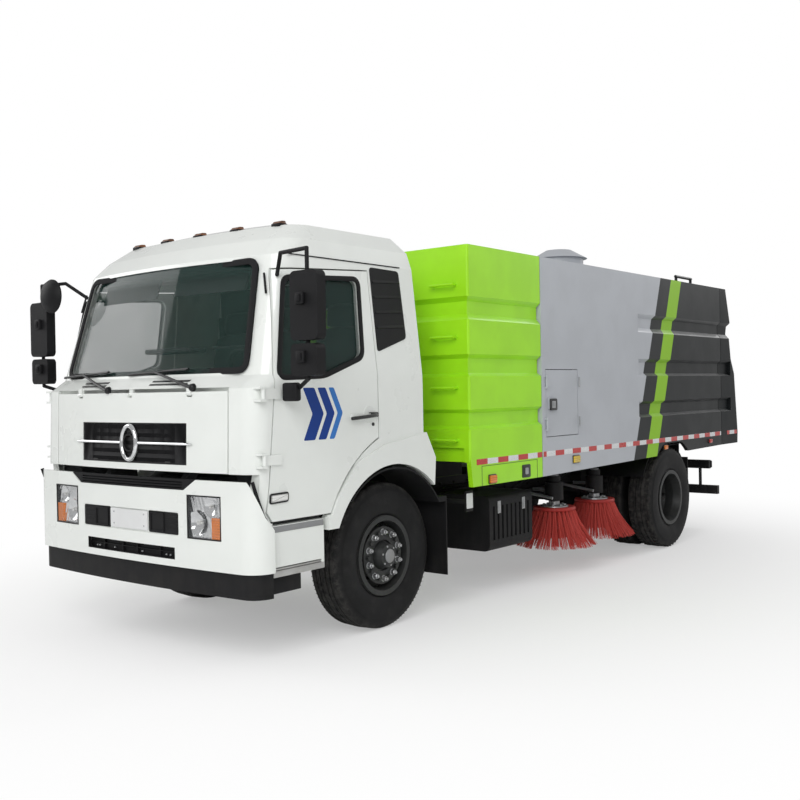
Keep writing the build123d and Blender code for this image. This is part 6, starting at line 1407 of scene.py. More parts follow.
@dataclass
class WheelFittings:
    """Bright nuts, hub caps and valves on the dark wheels."""

    pitch: float = 0.1675
    count: int = 10
    front_face: float = 1.034
    rear_face: float = 0.976
    front_bore: float = 0.108
    rear_bore: float = 0.142
    rim_edge: float = 0.1135
    flange_face: float = 1.0765

    def nut(self, sign: float) -> Shape:
        """A flanged nut with its stud's end, standing out along Z. Returns its shape."""
        shape = Shape()
        rings = [(0.0, 0.0235), (0.004, 0.0235), (0.0055, 0.0205)]
        shape.lathe([(0.0, 0.0)] + rings + [(0.0055, 0.0)], (0.0, 0.0, 0.0), 2, 16)
        shape.lathe([(0.004, 0.0), (0.004, 0.0192), (0.030, 0.0192), (0.0345, 0.0150), (0.0345, 0.0)],
                    (0.0, 0.0, 0.0), 2, 6)
        shape.lathe([(0.030, 0.0), (0.030, 0.0112), (0.0425, 0.0112), (0.045, 0.009), (0.045, 0.0)],
                    (0.0, 0.0, 0.0), 2, 12)
        if sign < 0.0:
            shape.moved(Matrix.Rotation(PI, 4, "X"))
        return shape

    def face(self, body: str, sign: float, wheel: Point, front: bool) -> None:
        """Builds the nuts, the ring that they press on and the rim's edge.

        Args:
            body: the body that turns.
            sign: 1 or -1, the side.
            wheel: the middle of the outer wheel.
            front: whether it is a front wheel.
        """
        x, y, z = wheel
        out = self.front_face if front else self.rear_face
        inner = self.front_bore if front else self.rear_bore
        lift = 0.001 if front else 0.0
        nuts = REPEATS.ring(Shape(), self.nut(sign), self.count, self.pitch, (sign * (out - 0.004), y, z), 0)
        nuts.piece(f"nuts_{body}", Paintbox.STEEL, body, "steel")
        profile = [(0.0, inner), (0.0, 0.206), (0.005, 0.208), (0.009, 0.204), (0.010, inner + 0.004)]
        ring = Shape().lathe([(sign * (a + lift), r) for a, r in profile],
                             (sign * (out - 0.011), y, z), 0, 60, closed=True)
        ring.piece(f"pad_ring_{body}", Paintbox.WHEEL, body, "wheel_paint")
        profile = [(-0.001, 0.2795), (0.0015, 0.2835), (-0.0005, 0.2875), (-0.010, 0.2885), (-0.012, 0.2795)]
        trim = Shape().lathe([(sign * (self.rim_edge + a), r) for a, r in profile], wheel, 0, 84,
                             closed=True)
        trim.piece(f"rim_edge_{body}", Paintbox.WHEEL, body, "wheel_paint")

    def hub(self, sign: float, side: str) -> None:
        """Builds the front hub's cap with its ring of bolts.

        Args:
            sign: 1 or -1, the side.
            side: the side's name.
        """
        cap = Shape().lathe([(0.0, 0.0), (0.0, 0.046), (0.004, 0.050), (0.009, 0.047),
                             (0.012, 0.034), (0.0125, 0.0)], (0.0, 0.0, 0.0), 0, 32)
        cap.moved(Matrix.Diagonal((sign, 1.0, 1.0, 1.0)))
        if sign < 0.0:
            bmesh.ops.reverse_faces(cap.bm, faces=cap.bm.faces)
        cap.moved(Matrix.Translation((sign * (FRONT_WHEEL_X + 0.171), at(0.0), WHEEL_R)))
        cap.piece(f"hub_cap_{side}", Paintbox.STRIPE_GREY, f"wheel_front_{side}", "wheel_paint")
        bolts = REPEATS.ring(Shape(), self.small_bolt(sign), 6, 0.070,
                             (sign * (FRONT_WHEEL_X + 0.160), at(0.0), WHEEL_R), 0, 15.0)
        bolts.piece(f"hub_bolts_{side}", Paintbox.STEEL, f"wheel_front_{side}", "steel")

    def flange(self, sign: float, side: str) -> None:
        """Builds the drive shaft's flange in the middle of the rear wheels.

        Args:
            sign: 1 or -1, the side.
            side: the side's name.
        """
        shaft = REPEATS.ring(Shape(), self.small_bolt(sign), 12, 0.092,
                             (sign * self.flange_face, at(WHEELBASE), WHEEL_R), 0)
        profile = [(0.0, 0.0), (0.0, 0.080), (0.008, 0.078), (0.014, 0.045), (0.022, 0.030), (0.022, 0.0)]
        shaft.lathe([(sign * a, r) for a, r in profile],
                    (sign * (self.flange_face + 0.0015), at(WHEELBASE), WHEEL_R), 0, 40)
        shaft.piece(f"shaft_flange_{side}", Paintbox.CASTING, f"wheels_rear_{side}", "castings")

    def build(self) -> None:
        """Builds the fittings of all four wheel bodies."""
        for sign, side in SIDES:
            self.face(f"wheel_front_{side}", sign, (sign * FRONT_WHEEL_X, at(0.0), WHEEL_R), True)
            self.face(f"wheels_rear_{side}", sign, (sign * REAR_WHEEL_X[1], at(WHEELBASE), WHEEL_R), False)
            self.hub(sign, side)
            self.flange(sign, side)

    @staticmethod
    def small_bolt(sign: float) -> Shape:
        """A flanged bolt head standing along Z. Returns its shape."""
        shape = Shape().lathe([(0.0, 0.0), (0.0, 0.0105), (0.002, 0.0105), (0.003, 0.008), (0.010, 0.008),
                               (0.012, 0.006), (0.012, 0.0)], (0.0, 0.0, 0.0), 2, 6)
        if sign < 0.0:
            shape.moved(Matrix.Rotation(PI, 4, "X"))
        return shape


@dataclass
class Brushes:
    """Disc brushes: a motor plate, a ring and flared tufts of bristle."""

    rows: tuple[tuple[str, int, float], ...] = (("front", 1, BRUSH_ROWS[0]), ("back", 2, BRUSH_ROWS[1]))
    ring_z: float = 0.590
    ring_r: float = 0.195
    tip_r: float = 0.366
    tip_z: float = 0.252
    tufts: int = 28
    strands: int = 26

    def tuft(self, seed: int, root_r: float, tip_r: float, drop: float) -> Shape:
        """A tuft that hangs from the origin, fans out and leans along X.

        Args:
            seed: fixes how its strands spread.
            root_r: the radius where it is set.
            tip_r: the radius that its tips reach.
            drop: how far down they reach.
        Returns:
            Its shape.
        """
        chance = random.Random(seed)
        part = bmesh.new()
        for _ in range(self.strands):
            turn, far = chance.uniform(0.0, math.tau), math.sqrt(chance.random())
            x0, y0 = 0.013 * far * math.cos(turn), 0.010 * far * math.sin(turn)
            reach = tip_r - root_r + chance.uniform(-0.020, 0.006)
            x1, y1 = reach + x0, 4.6 * y0 + chance.uniform(-0.006, 0.006)
            z1 = -drop + chance.uniform(0.0, 0.016)
            rings = []
            for share in (0.0, 0.35, 0.7, 1.0):
                bend = share ** 1.25
                middle = Vector((x0 + (x1 - x0) * bend, y0 + (y1 - y0) * share, z1 * share ** 0.94))
                size = 0.0026 - 0.0008 * share
                rings.append([part.verts.new(middle + Vector((math.cos(a) * size, math.sin(a) * size, 0)))
                              for a in (turn, turn + math.tau / 3, turn + 2 * math.tau / 3)])
            skinned(part, rings)
        return Shape().absorb(part)

    def build(self) -> None:
        """Builds the four brushes."""
        for sign, side in SIDES:
            for row, number, rearwards in self.rows:
                body = f"brush_{side}_{row}"
                place = (sign * BRUSH_X, at(rearwards), self.ring_z)
                bristles = Shape()
                for ring, (radius, tip, count) in enumerate(((0.172, self.tip_r, self.tufts),
                                                             (0.128, self.tip_r - 0.085, 20))):
                    REPEATS.ring(bristles, self.tuft(11 + number + 5 * ring, radius, tip,
                                                     self.ring_z - self.tip_z - 0.012 * ring),
                                 count, radius, place, 2, 4.0 * number, (2.5, 2.0, 3.5), 7 + number)
                bristles.piece(f"bristles_{side}_{row}", Paintbox.BRISTLE, body, "red_bristle",
                               (f"brush_{side}_{number}",), 60.0)
                plate = Shape().lathe([(-0.014, 0.06), (-0.014, 0.188), (-0.004, self.ring_r),
                                       (0.012, self.ring_r), (0.017, 0.190), (0.017, 0.135),
                                       (0.012, 0.130), (0.012, 0.06)], place, 2, 64, closed=True)
                plate.piece(f"brush_ring_{side}_{row}", Paintbox.RING_RED, body, "red_bristle")
                steel = Shape().lathe([(0.008, 0.0), (0.008, 0.132), (0.026, 0.128), (0.030, 0.120),
                                       (0.030, 0.060), (0.036, 0.052), (0.066, 0.050), (0.069, 0.044),
                                       (0.069, 0.0)], place, 2, 48)
                item = Shape().lathe([(0.0, 0.0), (0.0, 0.013), (0.010, 0.013), (0.013, 0.009),
                                      (0.013, 0.0)], (0.0, 0.0, 0.0), 2, 6)
                REPEATS.ring(steel, item, 8, 0.095, (place[0], place[1], place[2] + 0.029), 2, 22.5)
                steel.piece(f"brush_hub_{side}_{row}", Paintbox.STEEL, body, "steel")


class CabForm:
    """The cab's outer faces, for trim that lies on them.

    Each section holds its height, half width, front and how far the front bows back at its ends.
    """

    SECTIONS = ((0.885, 1.150, -1.330, 0.050), (1.205, 1.150, -1.408, 0.060), (1.740, 1.150, -1.396, 0.062),
                (1.822, 1.148, -1.290, 0.072), (2.600, 1.062, -1.103, 0.088), (2.720, 1.030, -0.970, 0.080),
                (2.835, 0.930, -0.800, 0.060), (2.880, 0.640, -0.640, 0.040))

    @classmethod
    def at_height(cls, z: float) -> Point:
        """Half width, front and bow at a height."""
        for low, high in zip(cls.SECTIONS, cls.SECTIONS[1:]):
            if z <= high[0]:
                share = max(0.0, (z - low[0]) / (high[0] - low[0]))
                return tuple(a + (b - a) * share for a, b in zip(low[1:], high[1:]))
        return cls.SECTIONS[-1][1:]

    @classmethod
    def front(cls, x: float, z: float, out: float = 0.0) -> Point:
        """A point on the cab's face, or a little in front of it."""
        half, front, bow = cls.at_height(z)
        return (x, at(front + bow * (x / half) ** 2 - out), z)

    @classmethod
    def side(cls, sign: float, rearwards: float, z: float, out: float = 0.0) -> Point:
        """A point on the cab's side, or a little outside it."""
        return (sign * (cls.at_height(z)[0] + out), at(rearwards), z)

    @classmethod
    def band(cls, outline: list[Flat], inner: float, outer: float, out: float, thick: float,
             sign: float = 0.0) -> Shape:
        """A band along an outline on the cab's face, or on a side where a sign is given.

        Args:
            outline: the line it follows, as X and Z or as distance rearwards and Z.
            inner: how far it reaches inside the line.
            outer: how far it reaches outside it.
            out: how far its outer face stands out.
            thick: its thickness.
            sign: 1 or -1 for a side, 0 for the face.
        Returns:
            Its shape.
        """
        loops = []
        inside, outside = grown(outline, -inner), grown(outline, outer)
        for a, b in zip(inside + inside[:1], outside + outside[:1]):
            loop = []
            for share, level in ((0.0, out - thick), (0.0, out - 0.002), (0.12, out), (0.88, out),
                                 (1.0, out - 0.002), (1.0, out - thick)):
                u, z = a[0] + (b[0] - a[0]) * share, a[1] + (b[1] - a[1]) * share
                loop.append(cls.side(sign, u, z, level) if sign else cls.front(u, z, level))
            loops.append(loop)
        return Shape().loft(loops[:-1], True)


@dataclass
class ScreenTrim:
    """The windscreen's black border and seal, its wipers and the bars of the air intake."""

    pivots: tuple[Flat, ...] = ((-0.246, 1.742), (0.624, 1.750))
    arm: float = 0.46
    blade: float = 0.62
    bars: tuple[Flat, ...] = ((-0.64, -0.34), (0.165, 0.53))

    def wiper(self, pivot: Flat) -> Shape:
        """A parked wiper: spindle cap, tapered arm and jointed blade.

        Args:
            pivot: its spindle's X and Z.
        Returns:
            Its shape.
        """
        x, z = pivot
        foot = Vector(CabForm.front(x, z, 0.006))
        shape = Shape().lathe([(0.012, 0.0), (0.012, 0.026), (-0.012, 0.023), (-0.020, 0.013),
                               (-0.020, 0.0)], tuple(foot), 1, 20)
        tip_x, tip_z = x - self.arm, 1.858
        tip = Vector(CabForm.front(tip_x, tip_z, 0.026))
        knee = foot.lerp(tip, 0.34) + Vector((0.0, -0.022, 0.004))
        shape.tube([tuple(foot + Vector((0.0, -0.010, 0.0))), tuple(knee), tuple(tip)], 0.0095, 8)
        shape.tube([tuple(foot + Vector((0.0, -0.012, 0.0))), tuple(foot.lerp(knee, 0.75))], 0.0125, 8)
        along = []
        for share in (-0.5, -0.3, -0.1, 0.1, 0.3, 0.5):
            along.append(CabForm.front(tip_x + self.blade * share, tip_z + 0.03 * share, 0.010))
        shape.tube(along, 0.0085, 6)
        for reach in (0.16, 0.30):
            ends = [CabForm.front(tip_x + s * reach, tip_z + 0.03 * s * reach, 0.014) for s in (-1.0, 1.0)]
            middle = CabForm.front(tip_x, tip_z, 0.028)
            shape.tube([ends[0], middle, ends[1]], 0.0055, 6)
        return shape

    def build(self) -> None:
        """Builds the trim, which rides on the cab."""
        opening = rounded([(-0.985, 1.838), (0.985, 1.838), (0.905, 2.575), (-0.905, 2.575)], 0.085, 8)
        CabForm.band(opening, 0.034, 0.008, 0.003, 0.010).piece(
            "screen_seal", Paintbox.RUBBER_TRIM, "cab", "black_plastic", sharp=50.0)
        wipers = self.wiper(self.pivots[0])
        wipers.absorb(self.wiper(self.pivots[1]).bm)
        wipers.piece("wipers", Paintbox.TRIM, "cab", "black_plastic")
        bars = Shape()
        for low, high in self.bars:
            steps = [low + (high - low) * k / 6 for k in range(7)]
            for lift in (0.0, 0.021):
                bars.loft([[CabForm.front(x, 1.775 + lift + dz, out) for dz, out in
                            ((-0.006, -0.012), (-0.006, 0.004), (0.004, 0.006), (0.006, -0.012))]
                           for x in steps])
        bars.piece("air_intake_bars", Paintbox.TRIM, "cab", "black_plastic")


@dataclass
class PanelTrim:
    """The grille's mesh with its bright bar and bare ring, on the panel that lifts."""

    middle: float = 1.388
    reach: float = 0.630
    ring: Flat = (0.094, 0.128)

    def build(self) -> None:
        """Builds the grille's trim."""
        bar = Shape()
        for low, high in ((-self.reach, -self.ring[0] + 0.012), (self.ring[0] - 0.012, self.reach)):
            steps = [low + (high - low) * k / 12 for k in range(13)]
            loops = []
            for x in steps:
                slim = 0.35 if abs(x) > self.reach - 0.02 else 1.0
                loops.append([CabForm.front(x, self.middle + dz * slim, out) for dz, out in
                              ((-0.010, 0.001), (-0.007, 0.010), (0.0, 0.0135), (0.007, 0.010),
                               (0.010, 0.001))])
            bar.loft(loops)
        loops = []
        for k in range(64):
            turn = math.tau * k / 64
            loop = []
            for out, across in ((0.000, -0.016), (0.012, -0.014), (0.021, -0.007), (0.023, 0.0),
                                (0.021, 0.007), (0.012, 0.014), (0.000, 0.016)):
                x = (self.ring[0] - 0.016 + across) * math.cos(turn)
                z = self.middle + (self.ring[1] - 0.016 + across) * math.sin(turn)
                loop.append(CabForm.front(x, z, out))
            loops.append(loop)
        bar.loft(loops, True)
        bar.piece("grille_bar_and_ring", Paintbox.CHROME, "service_panel", "steel", sharp=40.0)
        mesh = Shape()
        for side in (-1.0, 1.0):
            for k in range(5):
                item = Shape().block((-0.0013, -0.004, -0.128), (0.0013, 0.0, 0.128), 0.0, 1)
                x = side * (0.06 + 0.10 * k)
                front = CabForm.front(x + side * 0.05, self.middle, 0.0)
                REPEATS.row(mesh, item, 9, (x, front[1] + 0.011, self.middle), (side * 0.0112, 0.0, 0.0))
        mesh.piece("grille_mesh", Paintbox.PLASTIC, "service_panel", "black_plastic")
        seams = Shape()
        for x in (-0.40, 0.40):
            seams.prism(rounded(oblong(x - 0.028, 1.262, x + 0.028, 1.272), 0.004, 2), 1,
                        CabForm.front(x, 1.267, 0.003)[1], CabForm.front(x, 1.267, -0.004)[1], 0.001, 1)
        seams.piece("grille_clips", Paintbox.LATCH, "service_panel", "black_plastic")


class BumperForm:
    """The bumper's outer face: a bowed front between two round corners."""

    FLAT = 1.05
    CORNER = 0.15
    FRONT = -1.43
    BOW = 0.045
    REAR = -1.215

    @classmethod
    def face(cls, x: float, z: float, out: float = 0.0) -> Point:
        """A point on the bumper's face.

        Args:
            x: the point's X.
            z: its height.
            out: how far in front of the face it lies.
        Returns:
            The point.
        """
        past = abs(x) - cls.FLAT
        y = cls.FRONT + cls.BOW * (min(abs(x), cls.FLAT) / cls.FLAT) ** 2
        if past > 0.0:
            share = min(1.0, past / cls.CORNER)
            y += cls.CORNER * (1.0 - math.sqrt(max(0.0, 1.0 - share * share)))
        return (x, at(y - out), z)

    @classmethod
    def wrap(cls, out: float) -> list[Flat]:
        """The bumper's plan from its left rear to its right rear, moved outwards, as X and Y."""
        half: list[Flat] = []
        for k in range(19):
            x = cls.FLAT * k / 18
            half.append((x, cls.FRONT + cls.BOW * (x / cls.FLAT) ** 2 - out))
        middle, reach = cls.FRONT + cls.BOW + cls.CORNER, cls.CORNER + out
        for k in range(1, 10):
            turn = PI / 2 * k / 9
            half.append((cls.FLAT + reach * math.sin(turn), middle - reach * math.cos(turn)))
        half.append((cls.FLAT + reach, cls.REAR))
        return [(-x, at(y)) for x, y in reversed(half[1:])] + [(x, at(y)) for x, y in half]

    @classmethod
    def sheet(cls, box: tuple[float, float, float, float], out: float, thick: float,
              steps: int = 14) -> Shape:
        """A plate that follows the bumper.

        Args:
            box: low X, high X, low Z and high Z.
            out: how far its outer face stands out.
            thick: its thickness.
            steps: how many flats it has.
        Returns:
            Its shape.
        """
        low, high, foot, top = box
        loops = []
        for k in range(steps + 1):
            x = low + (high - low) * k / steps
            loops.append([cls.face(x, foot, out), cls.face(x, top, out), cls.face(x, top, out - thick),
                          cls.face(x, foot, out - thick)])
        return Shape().loft(loops)


@dataclass
class BumperTrim:
    """Headlamps, plate, air dam and the dark recesses of the bumper."""

    lamp: tuple[float, float, float, float] = (0.602, 0.904, 0.792, 1.068)
    bowls: tuple[tuple[float, float, float, float], ...] = ((0.690, 0.893, 0.082, 0.040),
                                                            (0.800, 1.000, 0.060, 0.026))

    def depth(self, x: float, z: float) -> float:
        """How deep the reflector lies behind the bumper's face.

        Args:
            x: distance from the truck's middle.
            z: height.
        Returns:
            The depth.
        """
        deep = 0.012 + 0.0022 * math.sin((x + 0.35 * z) * 190.0)
        for cx, cz, radius, most in self.bowls:
            far = math.hypot(x - cx, z - cz) / radius
            if far < 1.0:
                deep = max(deep, 0.010 + most * (1.0 - far * far))
        return deep

    def headlamp(self, sign: float, side: str) -> None:
        """Builds one headlamp in its pocket.

        Args:
            sign: 1 or -1, the side.
            side: the side's name.
        """
        low, high, foot, top = self.lamp
        rows = []
        for j in range(33):
            z = foot + (top - foot) * j / 32
            rows.append([BumperForm.face(sign * (low + (high - low) * i / 36), z,
                                         -0.006 - self.depth(low + (high - low) * i / 36, z))
                         for i in range(37)])
        Shape().sheet(rows, 0.002).piece(f"lamp_reflector_{side}", Paintbox.REFLECTOR, "chassis",
                                         "lamp_glass", sharp=28.0)
        bulbs = Shape()
        for cx, cz, radius, most in self.bowls:
            centre = BumperForm.face(sign * cx, cz, -0.010)
            bulbs.lathe([(0.0, 0.0), (0.001, radius * 0.16), (0.012, radius * 0.22),
                         (most * 0.8, radius * 0.20), (most * 0.8, 0.0)], centre, 1, 24)
        bulbs.piece(f"lamp_bulbs_{side}", Paintbox.WHITE_LENS, "chassis", "lamp_glass")
        x0, x1 = span(sign, high - 0.086, high - 0.003)
        BumperForm.sheet((x0, x1, foot + 0.003, foot + 0.140), -0.006, 0.016, 6).piece(
            f"turn_lens_{side}", Paintbox.AMBER, "chassis", "lamp_glass")
        frame_piece = Shape()
        edge = 0.0075
        for a, b, c, d in ((low, high, foot, foot + edge), (low, high, top - edge, top),
                           (low, low + edge * 1.6, foot, top), (high - edge, high, foot, top)):
            a, b = span(sign, a, b)
            frame_piece.absorb(BumperForm.sheet((a, b, c, d), 0.0008, 0.032, 8).bm)
        frame_piece.piece(f"lamp_frame_{side}", Paintbox.TRIM, "chassis", "black_plastic")
        x0, x1 = span(sign, low + 0.004, high - 0.004)
        BumperForm.sheet((x0, x1, foot + 0.004, top - 0.004), 0.0, 0.003, 12).piece(
            f"lamp_cover_{side}", Paintbox.CLEAR, "chassis", "lamp_glass", (f"headlamp_{side}",))

    def recesses(self) -> None:
        """Builds the dark pockets beside the plate and behind the slot."""
        dark = Shape()
        floor = at(-1.4160)
        for sign, _ in SIDES:
            x0, x1 = span(sign, 0.212, 0.516)
            dark.prism(rounded(oblong(x0, 0.804, x1, 0.946), 0.012, 4), 1,
                       floor - 0.0025, floor + 0.001, 0.0005, 1)
            x0, x1 = span(sign, 0.235, 0.375)
            for lip in ((x0, 0.815, x1, 0.820), (x0, 0.930, x1, 0.935), (x0, 0.815, x0 + 0.005, 0.935),
                        (x1 - 0.005, 0.815, x1, 0.935)):
                dark.block((lip[0], floor - 0.009, lip[1]), (lip[2], floor - 0.001, lip[3]), 0.001, 1)
            x0, x1 = span(sign, 0.392, 0.502)
            for z in (0.828, 0.856, 0.884, 0.912):
                dark.block((x0, floor - 0.0050, z), (x1, floor - 0.001, z + 0.010), 0.001, 1)
        for lip in ((-0.4795, 0.4795, 0.6455, 0.6475), (-0.4795, 0.4795, 0.7195, 0.7215)):
            dark.absorb(BumperForm.sheet(lip, -0.0015, 0.026, 16).bm)
        for x in (-0.4785, 0.4785):
            dark.absorb(BumperForm.sheet((x - 0.001, x + 0.001, 0.6455, 0.7215), -0.0015, 0.026, 1).bm)
        dark.absorb(BumperForm.sheet((-0.50, 0.50, 0.632, 0.735), -0.042, 0.003, 16).bm)
        for x in (-0.32, -0.10, 0.06, 0.30):
            dark.absorb(BumperForm.sheet((x - 0.004, x + 0.004, 0.634, 0.733), -0.027, 0.016, 1).bm)
        dark.absorb(BumperForm.sheet((-0.47, 0.47, 0.682, 0.687), -0.027, 0.015, 16).bm)
        dark.piece("bumper_recess_linings", Paintbox.PLASTIC, "chassis", "black_plastic")
        fixings = Shape()
        for x in (-0.41, -0.38, -0.20, 0.11, 0.36, 0.40):
            centre = BumperForm.face(x, 0.664, -0.030)
            fixings.lathe([(0.008, 0.0), (0.008, 0.007), (0.0, 0.007), (-0.003, 0.004), (-0.003, 0.0)],
                          centre, 1, 6)
        for x in (-0.165, 0.165):
            for z in (0.838, 0.916):
                fixings.lathe([(0.004, 0.0), (0.004, 0.006), (-0.001, 0.006), (-0.0035, 0.0035),
                               (-0.0035, 0.0)], (x, floor - 0.0075, z), 1, 12)
        fixings.piece("bumper_fixings", Paintbox.STEEL, "chassis", "steel")
        plate = Shape().prism(rounded(oblong(-0.205, 0.810, 0.205, 0.940),
                                      0.010, 3), 1, floor - 0.0075, floor - 0.0030, 0.0008, 1)
        plate.piece("blank_plate", Paintbox.PLATE, "chassis", "white_paint")

    def dam(self) -> None:
        """Covers the air dam in black and carries it on below the steps."""
        outer, inner, back = BumperForm.wrap(-0.0255), BumperForm.wrap(-0.0275), BumperForm.wrap(-0.0560)
        loops = [[(*a, 0.5985), (*a, 0.4400), (*c, 0.4400), (*c, 0.4440), (*b, 0.4440), (*b, 0.5985)]
                 for a, b, c in zip(outer, inner, back)]
        dam = Shape().loft(loops)
        for sign, _ in SIDES:
            outline = [(at(-1.285), 0.444), (at(-0.905), 0.444), (at(-0.905), 0.545), (at(-1.285), 0.552)]
            a, b = span(sign, 1.094, 1.102)
            dam.prism(outline, 0, a, b, 0.002)
            for y in (-1.20, -0.99):
                a, b = span(sign, 1.070, 1.096)
                dam.block((a, at(y) - 0.015, 0.50), (b, at(y) + 0.015, 0.572), 0.002)
        dam.piece("air_dam_cover", Paintbox.PLASTIC, "chassis", "black_plastic", sharp=40.0)

    def seals(self) -> None:
        """Painted shadow: dark strips on the cab's corner along the bumper's rear edge, where the gap between
        them lies in shade.
        """
        edge = [(-1.372, 1.165), (-1.330, 1.050), (-1.289, 0.947), (-1.233, 0.876), (-1.222, 0.862)]
        strip = Shape()
        for sign, _ in SIDES:
            a, b = span(sign, 1.1505, 1.1570)
            outline = [(at(u + 0.001), z) for u, z in edge] + [(at(u + 0.027), z + 0.006)
                                                              for u, z in reversed(edge)]
            strip.prism(outline, 0, a, b, 0.0015, 1)
        # painted shadow of the bumper-cab gap, dressed in the seal rubber finish
        strip.piece("bumper_seals", Paintbox.RUBBER_TRIM, "chassis", "black_plastic", sharp=50.0)

    def build(self) -> None:
        """Builds the bumper's trim."""
        self.seals()
        for sign, side in SIDES:
            self.headlamp(sign, side)
        self.recesses()
        self.dam()


@dataclass
class CabTrim:
    """Small things on the cab: lamps, louvres, handles, mirrors and door marks."""

    window: tuple[Flat, ...] = ((-1.105, 1.805), (-0.700, 1.815), (-0.300, 1.945), (-0.268, 2.480),
                                (-0.985, 2.440))
    louvre: tuple[Flat, ...] = ((-0.137, 1.978), (0.200, 2.082), (0.186, 2.572), (-0.137, 2.578))
    markers: tuple[float, ...] = (-0.770, -0.385, 0.0, 0.385, 0.770)

    def sides(self) -> None:
        """Builds what lies on the two sides of the cab."""
        for sign, side in SIDES:
            line = rounded(list(self.window), 0.055, 6)
            CabForm.band(line, 0.012, 0.022, 0.0035, 0.012, sign).piece(
                f"window_seal_{side}", Paintbox.RUBBER_TRIM, f"door_{side}_body", "black_plastic",
                sharp=50.0)
            self.louvres(sign, side)
            self.grip(sign, side)
            self.repeater(sign, side)
            self.decal(sign, side)
            self.mirror(sign, side)
            self.step(sign, side)

    def louvres(self, sign: float, side: str) -> None:
        """Builds the black panel behind the door, with its four slats.

        Args:
            sign: 1 or -1, the side.
            side: the side's name.
        """
        panel = Shape()
        shape = rounded(list(self.louvre), 0.030, 4)
        loops = [[CabForm.side(sign, u, z, out) for u, z in grown(shape, grow)]
                 for out, grow in ((-0.004, 0.0), (0.0035, 0.0), (0.0050, -0.002))]
        panel.loft(loops)
        for number in range(4):
            z = 2.140 + 0.108 * number
            rise = 0.016
            loops = []
            for k in range(7):
                u = -0.118 + 0.050 * k
                loops.append([CabForm.side(sign, u, z + rise * k / 6 + dz, out) for dz, out in
                              ((0.0, 0.003), (0.006, 0.0105), (0.030, 0.003))])
            panel.loft(loops)
        panel.piece(f"louvre_panel_{side}", Paintbox.PLASTIC, "cab", "black_plastic")

    @staticmethod
    def grip(sign: float, side: str) -> None:
        """Builds the door's grip, its lock and the dish behind it.

        Args:
            sign: 1 or -1, the side.
            side: the side's name.
        """
        grip = Shape()
        path = [CabForm.side(sign, u, z, out) for u, z, out in (
            (-0.452, 1.523, 0.012), (-0.440, 1.524, 0.030), (-0.330, 1.531, 0.036),
            (-0.235, 1.538, 0.034), (-0.200, 1.540, 0.012))]
        grip.tube(smooth_path(path, 6), 0.0125, 10)
        a, b = span(sign, 1.150, 1.176)
        grip.block((a, at(-0.270), 1.524), (b, at(-0.182), 1.560), 0.009, 3)
        lock = CabForm.side(sign, -0.221, 1.476)
        grip.lathe([(sign * -0.004, 0.0), (sign * -0.004, 0.013), (sign * 0.005, 0.012),
                    (sign * 0.006, 0.009), (sign * 0.003, 0.0)], lock, 0, 20)
        grip.piece(f"door_grip_{side}", Paintbox.LATCH, f"door_{side}_body", "black_plastic")
        dish = Shape().lathe([(0.0, 0.0), (sign * 0.0006, 0.052), (sign * 0.003, 0.058),
                              (sign * 0.0012, 0.064), (sign * -0.002, 0.066), (sign * -0.002, 0.0)],
                             CabForm.side(sign, -0.255, 1.548, 0.0006), 0, 40)
        dish.piece(f"grip_dish_{side}", Paintbox.WHITE, f"door_{side}_body", "white_paint")

    def repeater(self, sign: float, side: str) -> None:
        """The side turn lamp on the door's front foot."""
        line = rounded([(-1.212, 1.022), (-1.060, 1.026), (-1.056, 1.080), (-1.208, 1.078)], 0.014, 4)
        lens = Shape().loft([[CabForm.side(sign, u, z, out) for u, z in grown(line, grow)]
                             for out, grow in ((-0.002, -0.006), (0.010, -0.006), (0.014, -0.012))])
        lens.piece(f"side_lamp_{side}", Paintbox.WHITE_LENS, f"door_{side}_body", "lamp_glass")
        CabForm.band(line, 0.007, 0.005, 0.007, 0.009, sign).piece(
            f"side_lamp_rim_{side}", Paintbox.TRIM, f"door_{side}_body", "black_plastic")

    def decal(self, sign: float, side: str) -> None:
        """A plain mark in two blues: three slanted bars that step back."""
        for name, finish, bars in (("deep", Paintbox.DECAL, ((-0.905, 0.105), (-0.770, 0.075))),
                                   ("pale", Paintbox.DECAL_LIGHT, ((-0.665, 0.050),))):
            mark = Shape()
            for start, wide in bars:
                line = rounded([(start, 1.395), (start + wide, 1.395), (start + wide + 0.085, 1.565),
                                (start + wide, 1.735), (start, 1.735), (start + 0.085, 1.565)], 0.012, 4)
                mark.loft([[CabForm.side(sign, u, z, out) for u, z in line] for out in (-0.001, 0.0008)])
            mark.piece(f"door_mark_{name}_{side}", finish, f"door_{side}_body", "white_paint")

